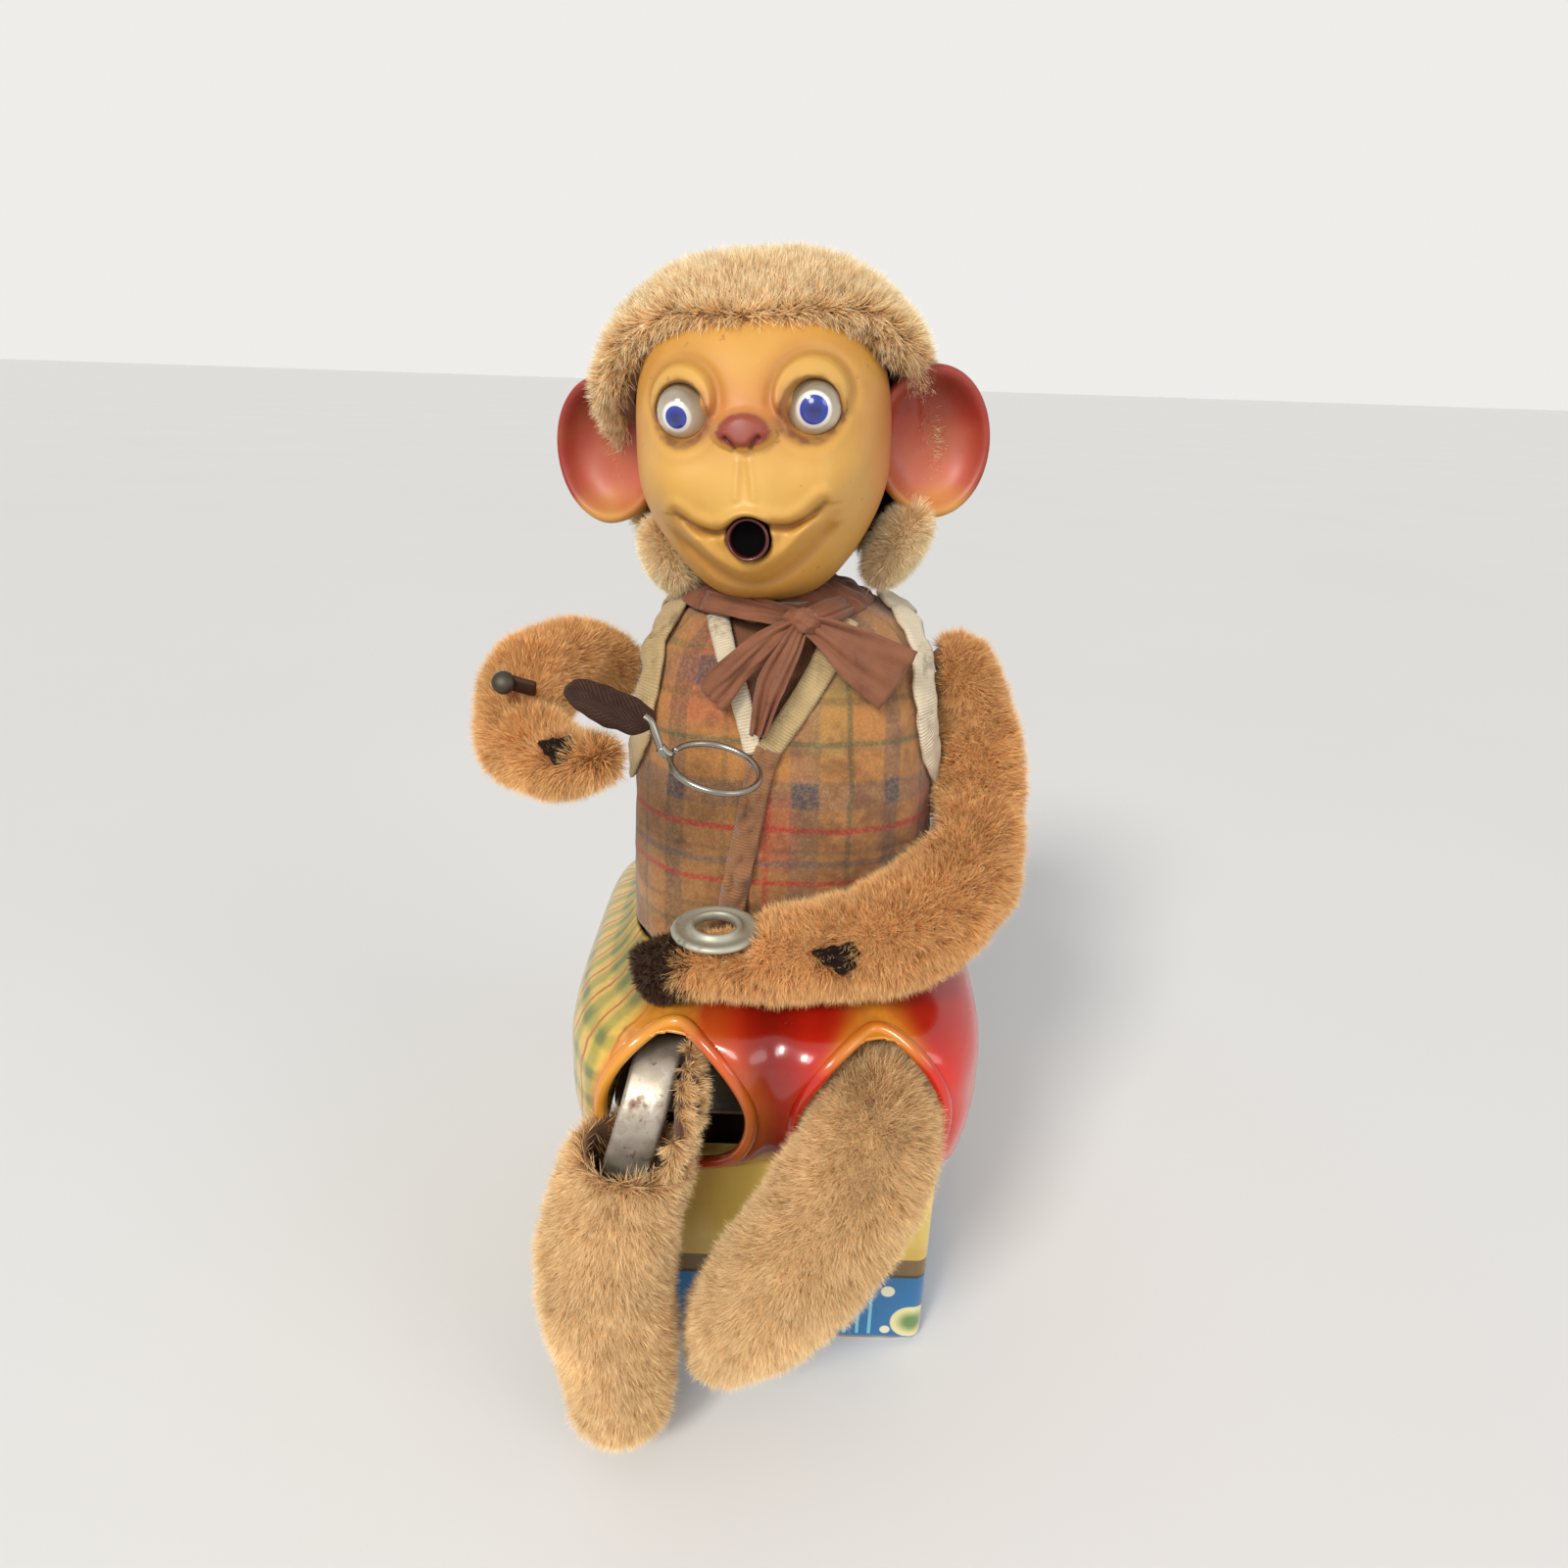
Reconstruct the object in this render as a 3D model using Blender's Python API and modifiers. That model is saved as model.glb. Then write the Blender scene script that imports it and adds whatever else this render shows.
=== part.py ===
"""Seated plush monkey that blows soap bubbles, on a printed tin box.

Metres, +Z up. The figure faces -Y, and +X is the monkey's own left.
The origin is the middle of the base, on the surface that the toy stands on.
"""
import math

import bmesh
import bpy
from mathutils import Matrix, Vector

MM = 0.001

# General clearances and walls
GAP = 0.3 * MM
RUNNING = 0.08 * MM
TIN = 0.8 * MM

# Tin box
BOX_WIDTH = 79 * MM
BOX_FRONT = 40 * MM
BOX_REAR = 41 * MM
BOX_HEIGHT = 59 * MM
BOX_CORNER_POWER = 18.0

# Two upright dry cells in the rear half of the box
CELL_RADIUS = 17.1 * MM
CELL_LENGTH = 61.5 * MM
CELL_CLEARANCE = 0.4 * MM
WELL_WALL = 1.0 * MM
DOOR_THICKNESS = 0.8 * MM
HINGE_PIN_RADIUS = 0.6 * MM
HINGE_BARREL_RADIUS = 1.25 * MM

# Pants pressing
PANTS_HEIGHT = 47.5 * MM
PANTS_TOP = BOX_HEIGHT + PANTS_HEIGHT
PANTS_HALF_WIDTH = 47 * MM
PANTS_FRONT = 60 * MM
PANTS_REAR = 44 * MM
LEG_HOLE_X = 20.5 * MM
LEG_HOLE_RISE = 24 * MM
LEG_HOLE_Z = BOX_HEIGHT + LEG_HOLE_RISE
LEG_HOLE_HALF_WIDTH = 16 * MM
LEG_HOLE_HALF_HEIGHT = 22 * MM

# Torso and vest
TORSO_TUCK = 2.5 * MM
TORSO_BOTTOM = PANTS_TOP - TORSO_TUCK
TORSO_HEIGHT = 80.5 * MM
TORSO_TOP = TORSO_BOTTOM + TORSO_HEIGHT
TORSO_HALF_WIDTH = 34 * MM
TORSO_FRONT = 31 * MM
TORSO_REAR = 29 * MM
TORSO_POWER = 2.8
VEST_THICKNESS = 0.9 * MM
VEST_RISE = 5 * MM
VEST_BOTTOM = TORSO_BOTTOM + VEST_RISE
ARMHOLE_RADIUS = 16.5 * MM
SHOULDER_DROP = 19.5 * MM
SHOULDER_Z = TORSO_TOP - SHOULDER_DROP

# Mechanism
FRAME_X = 14 * MM
FRAME_THICKNESS = 1.0 * MM
FRAME_HALF_DEPTH = 12.5 * MM
TRAIN_Y = 4 * MM
MOTOR_RADIUS = 12 * MM
MOTOR_LENGTH = 25 * MM
MOTOR_SHAFT_RADIUS = 1.0 * MM
GEAR_MODULE = 0.8 * MM
PINION_TEETH = 8
WHEEL_TEETH = 30
CRANK_TEETH = 36
GEAR_THICKNESS = 2.4 * MM
STUD_RADIUS = 1.2 * MM
CRANK_THROW = 5 * MM
LEVER_LENGTH = 9 * MM
LINK_PIN_RADIUS = 1.0 * MM
ARM_SHAFT_RADIUS = 1.5 * MM
FAN_RADIUS = 12 * MM
BLOWER_RADIUS = 14 * MM
BLOWER_WIDTH = 11 * MM
AIR_TUBE_RADIUS = 2.6 * MM
AIR_TUBE_WALL = 0.5 * MM

# Limbs
STRIP_THICKNESS = 1.0 * MM
ARM_STRIP_WIDTH = 7 * MM
LEG_STRIP_WIDTH = 9.5 * MM
ARM_SLEEVE_BORE = 4.3 * MM
LEG_SLEEVE_BORE = 5.6 * MM
SLEEVE_SIDES = 12

# Wand and cup holder
RING_RADIUS = 8.6 * MM
WIRE_RADIUS = 0.6 * MM
CUP_RADIUS = 9.2 * MM
CUP_HOLE_RADIUS = 4.4 * MM

# Head, in its own frame: -Y forward, origin in the middle of the skull
NECK_HOLE_X = 13.4 * MM
NECK_HOLE_FRONT = 13.4 * MM
NECK_HOLE_REAR = 10.4 * MM
HEAD_RISE = 34.5 * MM
HEAD_CENTRE = Vector((-6 * MM, -2 * MM, TORSO_TOP + HEAD_RISE))
HEAD_TURN = math.radians(-5.0)
HEAD_LEAN = math.radians(-3.5)
NECK_X = -3 * MM
NECK_Y = -2 * MM
NECK_RADIUS = 8 * MM
FACE_WIDTH = 26 * MM
FACE_DEPTH = 33 * MM
FACE_ABOVE = 27.5 * MM
FACE_BELOW = 33 * MM
MASK_THICKNESS = 1.6 * MM
HOOD_WIDTH = 36.5 * MM
HOOD_DEPTH = 37.5 * MM
HOOD_ABOVE = 35 * MM
HOOD_BELOW = 30.5 * MM
HOOD_THICKNESS = 4 * MM
EYE_X = 11.9 * MM
EYE_Y = -26.5 * MM
EYE_Z = 4.2 * MM
EYE_RADIUS = 7.2 * MM
MOUTH_Z = -18 * MM
MOUTH_RADIUS = 3.8 * MM
EAR_X = 34 * MM
EAR_Z = -4 * MM
EAR_HALF_WIDTH = 11.5 * MM
EAR_HALF_HEIGHT = 15.5 * MM
EAR_HALF_DEPTH = 4.2 * MM

# Finishes: colour, roughness, metallic
FINISHES = {
    "printed_tin": ((0.86, 0.66, 0.16), 0.30, 0.0),
    "red_tin": ((0.66, 0.05, 0.02), 0.25, 0.0),
    "plain_tin": ((0.62, 0.60, 0.56), 0.45, 0.9),
    "steel": ((0.60, 0.60, 0.60), 0.35, 1.0),
    "brass": ((0.72, 0.55, 0.25), 0.35, 1.0),
    "nylon": ((0.85, 0.82, 0.72), 0.5, 0.0),
    "cell": ((0.12, 0.14, 0.20), 0.4, 0.2),
    "fibre": ((0.35, 0.20, 0.12), 0.7, 0.0),
    "rust_plush": ((0.52, 0.24, 0.08), 0.9, 0.0),
    "tan_plush": ((0.62, 0.42, 0.20), 0.9, 0.0),
    "pale_plush": ((0.76, 0.58, 0.34), 0.9, 0.0),
    "brown_cloth": ((0.24, 0.12, 0.07), 0.9, 0.0),
    "plaid_flannel": ((0.58, 0.34, 0.12), 0.9, 0.0),
    "ribbon": ((0.42, 0.17, 0.09), 0.6, 0.0),
    "vinyl": ((0.80, 0.50, 0.13), 0.45, 0.0),
    "eye_plastic": ((0.82, 0.80, 0.74), 0.15, 0.0),
    "rubber_tube": ((0.10, 0.09, 0.08), 0.6, 0.0),
}


def clear_scene():
    for thing in list(bpy.data.objects):
        bpy.data.objects.remove(thing, do_unlink=True)


def make_collection(name):
    collection = bpy.data.collections.new(name)
    bpy.context.scene.collection.children.link(collection)
    return collection


clear_scene()
PARTS = make_collection("bubble_blowing_monkey")
CUTTERS = make_collection("cutters")


def make_material(name, finish):
    colour, roughness, metallic = FINISHES[finish]
    material = bpy.data.materials.new(name)
    material.use_nodes = True
    shader = material.node_tree.nodes["Principled BSDF"]
    shader.inputs["Base Color"].default_value = (*colour, 1.0)
    shader.inputs["Roughness"].default_value = roughness
    shader.inputs["Metallic"].default_value = metallic
    return material


def add_object(name, data, finish=None, matrix=None):
    """Link a mesh or curve as a sub-part, or as a hidden cutter when it has no finish."""
    thing = bpy.data.objects.new(name, data)
    if matrix is not None:
        thing.matrix_world = matrix
    if finish is None:
        CUTTERS.objects.link(thing)
        thing.hide_render = True
        thing.display_type = "WIRE"
    else:
        PARTS.objects.link(thing)
        data.materials.append(make_material(name, finish))
    return thing


def mesh_from_bmesh(name, work, smooth=True):
    mesh = bpy.data.meshes.new(name)
    work.to_mesh(mesh)
    work.free()
    if smooth:
        mesh.shade_smooth()
        mesh.set_sharp_from_angle(angle=math.radians(40))
    return mesh


def at(x, y, z):
    return Matrix.Translation((x, y, z))


def facing_x(x, y, z):
    """Frame whose own +Z lies along +X and whose own +Y lies along +Z."""
    return at(x, y, z) @ Matrix(((0, 0, 1, 0), (1, 0, 0, 0), (0, 1, 0, 0), (0, 0, 0, 1)))


def facing_y(x, y, z):
    """Frame whose own +Z lies along -Y."""
    return at(x, y, z) @ Matrix.Rotation(math.radians(90), 4, "X")


def block(name, low, high, finish=None):
    """A box between two corners, with its origin in its middle."""
    low = Vector(low)
    high = Vector(high)
    work = bmesh.new()
    bmesh.ops.create_cube(work, size=1.0)
    bmesh.ops.scale(work, vec=high - low, verts=work.verts)
    return add_object(name, mesh_from_bmesh(name, work, False), finish, at(*((low + high) / 2)))


def cylinder(name, radius, length, matrix, finish=None, sides=24):
    work = bmesh.new()
    bmesh.ops.create_cone(work, cap_ends=True, segments=sides, radius1=radius, radius2=radius, depth=length)
    return add_object(name, mesh_from_bmesh(name, work), finish, matrix)


def ellipsoid(name, half_sizes, matrix, finish=None, sides=24):
    work = bmesh.new()
    bmesh.ops.create_uvsphere(work, u_segments=sides, v_segments=sides // 2, radius=1.0)
    bmesh.ops.scale(work, vec=half_sizes, verts=work.verts)
    return add_object(name, mesh_from_bmesh(name, work), finish, matrix)


def turned(name, profile, matrix, finish=None, closed=True, steps=24):
    """Turn a profile of (radius, height) points, outer side from top to bottom."""
    mesh = bpy.data.meshes.new(name)
    count = len(profile)
    edges = [(i, i + 1) for i in range(count - 1)]
    if closed:
        edges.append((count - 1, 0))
    mesh.from_pydata([(radius, 0, height) for radius, height in profile], edges, [])
    thing = add_object(name, mesh, finish, matrix)
    screw = thing.modifiers.new("turn", "SCREW")
    screw.axis = "Z"
    screw.steps = steps
    screw.render_steps = steps
    screw.use_merge_vertices = True
    screw.merge_threshold = 0.00001
    screw.use_smooth_shade = False
    return thing


def tube_profile(outer, inner, low, high):
    return [(outer, high), (outer, low), (inner, low), (inner, high)]


def circle(radius, centre=(0, 0), sides=24):
    turn = 2 * math.pi / sides
    x, y = centre
    return [(x + radius * math.cos(i * turn), y + radius * math.sin(i * turn)) for i in range(sides)]


def plate(name, outlines, thickness, matrix, finish=None):
    """A flat plate from closed 2D outlines, the later ones being its holes."""
    curve = bpy.data.curves.new(name, "CURVE")
    curve.dimensions = "2D"
    curve.fill_mode = "BOTH"
    curve.extrude = thickness / 2
    for outline in outlines:
        spline = curve.splines.new("POLY")
        spline.points.add(len(outline) - 1)
        for point, (x, y) in zip(spline.points, outline):
            point.co = (x, y, 0, 1)
        spline.use_cyclic_u = True
    return add_object(name, curve, finish, matrix)


def wire(name, points, radius, finish=None, resolution=2):
    curve = bpy.data.curves.new(name, "CURVE")
    curve.dimensions = "3D"
    curve.bevel_depth = radius
    curve.bevel_resolution = resolution
    curve.use_fill_caps = True
    spline = curve.splines.new("POLY")
    spline.points.add(len(points) - 1)
    for point, place in zip(spline.points, points):
        point.co = (*place, 1)
    return add_object(name, curve, finish)


def as_mesh(thing):
    """Turn a curve or modified object into a plain welded mesh object of the same name and finish."""
    bpy.context.view_layer.update()
    view = bpy.context.evaluated_depsgraph_get()
    mesh = bpy.data.meshes.new_from_object(thing.evaluated_get(view))
    work = bmesh.new()
    work.from_mesh(mesh)
    bmesh.ops.remove_doubles(work, verts=work.verts, dist=0.00001)
    bmesh.ops.recalc_face_normals(work, faces=work.faces)
    if work.calc_volume(signed=True) < 0:
        bmesh.ops.reverse_faces(work, faces=work.faces)
    work.to_mesh(mesh)
    work.free()
    name = thing.name
    place = thing.matrix_world.copy()
    home = thing.users_collection[0]
    bpy.data.objects.remove(thing, do_unlink=True)
    solid = bpy.data.objects.new(name, mesh)
    solid.matrix_world = place
    home.objects.link(solid)
    if home == CUTTERS:
        solid.hide_render = True
        solid.display_type = "WIRE"
    return solid


def combine(thing, other, operation):
    step = thing.modifiers.new(operation.lower(), "BOOLEAN")
    step.operation = operation
    step.object = other
    step.solver = "EXACT"
    return thing


def cut(thing, other):
    return combine(thing, other, "DIFFERENCE")


def join(thing, other):
    return combine(thing, other, "UNION")


def smooth_path(points, steps):
    """Catmull-Rom curve through points of any length, with a number of steps to each span."""
    padded = [[2 * a - b for a, b in zip(points[0], points[1])]] + [list(p) for p in points]
    padded.append([2 * a - b for a, b in zip(points[-1], points[-2])])
    result = []
    for i in range(1, len(padded) - 2):
        before, start, end, after = padded[i - 1:i + 3]
        for step in range(steps):
            t = step / steps
            result.append([
                0.5 * (2 * b + (c - a) * t + (2 * a - 5 * b + 4 * c - d) * t ** 2
                       + (3 * b - a - 3 * c + d) * t ** 3)
                for a, b, c, d in zip(before, start, end, after)])
    result.append(list(points[-1]))
    return result


def carried_frames(centres, side):
    """Unturned frames along a path: each keeps the last one's side, laid square to the path."""
    frames = []
    side = Vector(side)
    for i, centre in enumerate(centres):
        ahead = centres[min(i + 1, len(centres) - 1)]
        behind = centres[max(i - 1, 0)]
        forward = (ahead - behind).normalized()
        side = (side - forward * side.dot(forward)).normalized()
        frames.append((centre, side, forward.cross(side), forward))
    return frames


def skin_rings(name, rings, closed_loop, finish, end_poles=(None, None)):
    """One closed body from rings of equal count: a closed loop of rings, or rings with poles or flat ends."""
    work = bmesh.new()
    layers = [[work.verts.new(place) for place in ring] for ring in rings]
    count = len(layers[0])
    pairs = list(zip(layers, layers[1:]))
    if closed_loop:
        pairs.append((layers[-1], layers[0]))
    for low, high in pairs:
        for i in range(count):
            j = (i + 1) % count
            work.faces.new((low[i], low[j], high[j], high[i]))
    if not closed_loop:
        for layer, pole in ((layers[0], end_poles[0]), (layers[-1], end_poles[1])):
            if pole is None:
                work.faces.new(layer)
            else:
                tip = work.verts.new(pole)
                for i in range(count):
                    work.faces.new((layer[i], layer[(i + 1) % count], tip))
    bmesh.ops.recalc_face_normals(work, faces=work.faces)
    return add_object(name, mesh_from_bmesh(name, work), finish)


def sleeve(name, stations, bore, finish, side=(0, 0, 1), bore_share=0.8, steps=2):
    """A plush limb: a tapering tube with a blind bore for its metal strip and a rounded far end.

    Each station is (x, y, z, radius).
    """
    samples = smooth_path(stations, steps)
    centres = [Vector(sample[:3]) for sample in samples]
    radii = [sample[3] for sample in samples]
    frames = carried_frames(centres, side)

    def ring(frame, radius, shift=0.0):
        centre, across, up, forward = frame
        turn = 2 * math.pi / SLEEVE_SIDES
        return [centre + forward * shift + (across * math.cos(i * turn) + up * math.sin(i * turn)) * radius
                for i in range(SLEEVE_SIDES)]

    outer = [ring(frame, radius) for frame, radius in zip(frames, radii)]
    end_radius = radii[-1]
    outer.append(ring(frames[-1], end_radius * 0.86, end_radius * 0.5))
    outer.append(ring(frames[-1], end_radius * 0.5, end_radius * 0.86))
    tip = frames[-1][0] + frames[-1][3] * end_radius
    deepest = max(2, int(len(frames) * bore_share))
    inner = [ring(frame, bore) for frame in frames[:deepest]]
    inner_tip = frames[deepest - 1][0] + frames[deepest - 1][3] * bore * 0.5
    return skin_rings(name, inner[::-1] + outer, False, finish, (inner_tip, tip))


def strip(name, points, width, finish, side, steps=4):
    """A bent flat metal strip along a path."""
    centres = [Vector(place) for place in smooth_path(points, steps)]
    rings = []
    for centre, across, up, _ in carried_frames(centres, side):
        half = across * width / 2
        rise = up * STRIP_THICKNESS / 2
        rings.append([centre + half + rise, centre - half + rise, centre - half - rise, centre + half - rise])
    return skin_rings(name, rings, False, finish)


def section(half_width, front, rear, power, z, start, end, count, inset=0.0):
    """Points of a rounded outline at one height, from one angle to another: 90 is the front, 270 the rear."""
    ring = []
    for i in range(count):
        angle = math.radians(start + (end - start) * i / (count - 1))
        c = math.cos(angle)
        s = math.sin(angle)
        reach = (front if s > 0 else rear) - inset
        ring.append(Vector(((half_width - inset) * math.copysign(abs(c) ** (2 / power), c),
                            -reach * math.copysign(abs(s) ** (2 / power), s), z)))
    return ring


def half_shell(name, levels, front_half, thickness, finish, count=17):
    """One pressing of a split shell: an open half of stacked outlines, made solid inwards.

    Each level is (z, half width, front reach, rear reach, corner power).
    """
    start, end = (0, 180) if front_half else (180, 360)
    seam = Vector((0, -GAP / 2 if front_half else GAP / 2, 0))
    work = bmesh.new()
    layers = []
    for z, half_width, front, rear, power in levels:
        ring = section(half_width, front, rear, power, z, start, end, count)
        layers.append([work.verts.new(place + seam) for place in ring])
    for low, high in zip(layers, layers[1:]):
        for i in range(count - 1):
            work.faces.new((low[i + 1], low[i], high[i], high[i + 1]))
    thing = add_object(name, mesh_from_bmesh(name, work), finish)
    wall = thing.modifiers.new("wall", "SOLIDIFY")
    wall.thickness = thickness
    wall.offset = -1
    return thing


def closed_outline(half_width, front, rear, power, count=40, inset=0.0):
    ring = section(half_width, front, rear, power, 0, 0, 360, count + 1, inset)[:-1]
    return [(p.x, p.y) for p in ring]


def rectangle(low, high):
    return [(low[0], low[1]), (high[0], low[1]), (high[0], high[1]), (low[0], high[1])]


def gear_outline(teeth, phase):
    """Slender straight-flanked teeth, with a tooth on the own X axis at phase 0."""
    pitch_radius = GEAR_MODULE * teeth / 2
    tip = pitch_radius + 0.7 * GEAR_MODULE
    root = pitch_radius - 1.05 * GEAR_MODULE
    pitch = 2 * math.pi / teeth
    points = []
    for i in range(teeth):
        middle = (i + phase) * pitch
        for radius, share in ((root, -0.24), (tip, -0.11), (tip, 0.11), (root, 0.24)):
            angle = middle + share * pitch
            points.append((radius * math.cos(angle), radius * math.sin(angle)))
    return points


def pivot(name, place):
    """An empty on a joint's axis, which carries the pieces of one moving body."""
    empty = bpy.data.objects.new(name, None)
    empty.empty_display_size = 0.005
    empty.location = place
    PARTS.objects.link(empty)
    return empty


def carry(empty, *things):
    offset = Matrix.Translation(-Vector(empty.location))
    for thing in things:
        place = thing.matrix_world.copy()
        thing.parent = empty
        thing.matrix_parent_inverse = Matrix.Identity(4)
        thing.matrix_basis = offset @ place


# The tin box

def box_levels():
    half = BOX_WIDTH / 2
    return [(z, half, BOX_FRONT, BOX_REAR, BOX_CORNER_POWER) for z in (0, BOX_HEIGHT)]


box_front = half_shell("box_front", box_levels(), True, TIN, "printed_tin", 25)
box_rear = half_shell("box_rear", box_levels(), False, TIN, "printed_tin", 25)

FIT_INSET = TIN + GAP
CELL_SPACE = CELL_RADIUS + CELL_CLEARANCE
CELL_X = WELL_WALL / 2 + CELL_SPACE
CELL_Y = BOX_REAR - TIN - 2 * GAP - WELL_WALL - CELL_SPACE
WELL_HALF_X = CELL_X + CELL_SPACE + WELL_WALL
WELL_FRONT = CELL_Y - CELL_SPACE - WELL_WALL
WELL_REAR = CELL_Y + CELL_SPACE + WELL_WALL
DOOR_BOTTOM = 0.1 * MM
DOOR_HALF_X = CELL_X + CELL_SPACE
DOOR_FRONT = CELL_Y - CELL_SPACE
DOOR_REAR = CELL_Y + CELL_SPACE
HINGE_Y = DOOR_FRONT + HINGE_BARREL_RADIUS
HINGE_Z = DOOR_BOTTOM + DOOR_THICKNESS + HINGE_BARREL_RADIUS - 0.5 * MM
CELL_BOTTOM = HINGE_Z + HINGE_BARREL_RADIUS + GAP
WELL_BOTTOM = CELL_BOTTOM
WELL_TOP = CELL_BOTTOM + CELL_LENGTH + GAP
BOARD_THICKNESS = 1.2 * MM
DECK_TOP = WELL_TOP + GAP + BOARD_THICKNESS + GAP + TIN

base_hole = rectangle((-DOOR_HALF_X - GAP, DOOR_FRONT - 2 * GAP), (DOOR_HALF_X + GAP, DOOR_REAR + GAP))
base_outline = closed_outline(BOX_WIDTH / 2, BOX_FRONT, BOX_REAR, BOX_CORNER_POWER, 40, FIT_INSET)
base_plate = as_mesh(plate("base_plate", [base_outline, base_hole], TIN, at(0, 0, TIN / 2), "plain_tin"))

hinge_line = facing_x(0, HINGE_Y, HINGE_Z)
barrel_length = 2 * DOOR_HALF_X - 6 * MM
battery_door = block("battery_door", (-DOOR_HALF_X, DOOR_FRONT, DOOR_BOTTOM),
                     (DOOR_HALF_X, DOOR_REAR, DOOR_BOTTOM + DOOR_THICKNESS), "plain_tin")
join(battery_door, cylinder("door_barrel", HINGE_BARREL_RADIUS, barrel_length, hinge_line, None, 12))
barrel_bore = cylinder("barrel_bore", HINGE_PIN_RADIUS + RUNNING, barrel_length + 2 * MM, hinge_line, None, 16)
cut(battery_door, barrel_bore)
hinge_pin = cylinder("hinge_pin", HINGE_PIN_RADIUS, 2 * DOOR_HALF_X, hinge_line, "steel", 16)
BRIDGE_HALF_WIDTH = 4 * MM
BRIDGE_REACH = 6 * MM
bridge_low = (-CELL_X - BRIDGE_REACH, CELL_Y - BRIDGE_HALF_WIDTH, DOOR_BOTTOM + DOOR_THICKNESS + GAP)
bridge_high = (CELL_X + BRIDGE_REACH, CELL_Y + BRIDGE_HALF_WIDTH, CELL_BOTTOM - GAP)
bridge_contact = block("bridge_contact", bridge_low, bridge_high, "brass")

well_corner = 3 * MM
well_outline = [(-WELL_HALF_X, WELL_FRONT), (WELL_HALF_X, WELL_FRONT), (WELL_HALF_X, WELL_REAR - well_corner),
                (WELL_HALF_X - well_corner, WELL_REAR), (well_corner - WELL_HALF_X, WELL_REAR),
                (-WELL_HALF_X, WELL_REAR - well_corner)]
well_holes = [circle(CELL_SPACE, (side * CELL_X, CELL_Y), 28) for side in (-1, 1)]
battery_well = plate("battery_well", [well_outline, *well_holes], WELL_TOP - WELL_BOTTOM,
                     at(0, 0, (WELL_TOP + WELL_BOTTOM) / 2), "fibre")
NUB_RADIUS = 4.6 * MM
NUB_HEIGHT = 1.2 * MM
cell_profile = [(0, CELL_LENGTH), (NUB_RADIUS, CELL_LENGTH), (NUB_RADIUS, CELL_LENGTH - NUB_HEIGHT),
                (CELL_RADIUS, CELL_LENGTH - NUB_HEIGHT), (CELL_RADIUS, 0), (0, 0)]
for side, tag in ((-1, "right"), (1, "left")):
    turned("cell_" + tag, cell_profile, at(side * CELL_X, CELL_Y, CELL_BOTTOM), "cell", False, 28)
contact_board = plate("contact_board", [well_outline], BOARD_THICKNESS,
                      at(0, 0, WELL_TOP + GAP + BOARD_THICKNESS / 2), "fibre")
deck_outline = closed_outline(BOX_WIDTH / 2, BOX_FRONT - 4 * MM, BOX_REAR, BOX_CORNER_POWER, 40, FIT_INSET)
deck_plate = plate("deck_plate", [deck_outline], TIN, at(0, 0, DECK_TOP - TIN / 2), "plain_tin")

# The pants pressing, in a front and a rear half, over the box's upper edge
pants_levels = [
    (BOX_HEIGHT + GAP, BOX_WIDTH / 2 + 1.2 * MM, BOX_FRONT + 1.5 * MM, BOX_REAR + 1 * MM, 16),
    (BOX_HEIGHT + 2 * MM, BOX_WIDTH / 2 + 2.2 * MM, BOX_FRONT + 4 * MM, BOX_REAR + 1.5 * MM, 14),
    (BOX_HEIGHT + 11 * MM, PANTS_HALF_WIDTH - 2.5 * MM, PANTS_FRONT - 9 * MM, PANTS_REAR - 1 * MM, 8),
    (BOX_HEIGHT + 25 * MM, PANTS_HALF_WIDTH, PANTS_FRONT - 2.5 * MM, PANTS_REAR, 5),
    (PANTS_TOP - 11.5 * MM, PANTS_HALF_WIDTH - 0.5 * MM, PANTS_FRONT, PANTS_REAR - 1 * MM, 4.5),
    (PANTS_TOP - 4.5 * MM, PANTS_HALF_WIDTH - 3.5 * MM, PANTS_FRONT - 1.5 * MM, PANTS_REAR - 4 * MM, 4),
    (PANTS_TOP - 1 * MM, PANTS_HALF_WIDTH - 9 * MM, PANTS_FRONT - 8 * MM, PANTS_REAR - 9 * MM, 3.4),
    (PANTS_TOP, TORSO_HALF_WIDTH + 1.3 * MM, TORSO_FRONT + 1.6 * MM, TORSO_REAR + 1.4 * MM, TORSO_POWER),
]
pants_front = half_shell("pants_front", pants_levels, True, TIN, "red_tin", 21)
pants_rear = half_shell("pants_rear", pants_levels, False, TIN, "red_tin", 17)
PANTS_CLEARANCE = 2 * GAP


def leg_hole(name, side, extra=0.0):
    hole = cylinder(name, 1.0, 50 * MM, facing_y(side * LEG_HOLE_X, -PANTS_FRONT, LEG_HOLE_Z), None, 24)
    for vertex in hole.data.vertices:
        vertex.co.x *= LEG_HOLE_HALF_WIDTH + extra
        vertex.co.y *= LEG_HOLE_HALF_HEIGHT + extra
    return hole


# The space that the pants fill, less their leg holes, is kept clear of the legs' plush
pants_rings = [section(half_width, front, rear, power, z, 0, 360, 45, -PANTS_CLEARANCE)[:-1]
               for z, half_width, front, rear, power in pants_levels]
pants_body = skin_rings("pants_body", pants_rings, False, None)
for side, tag in ((-1, "right"), (1, "left")):
    cut(pants_front, leg_hole("leg_hole_" + tag, side))
    cut(pants_body, leg_hole("leg_room_" + tag, side, -PANTS_CLEARANCE))

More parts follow.
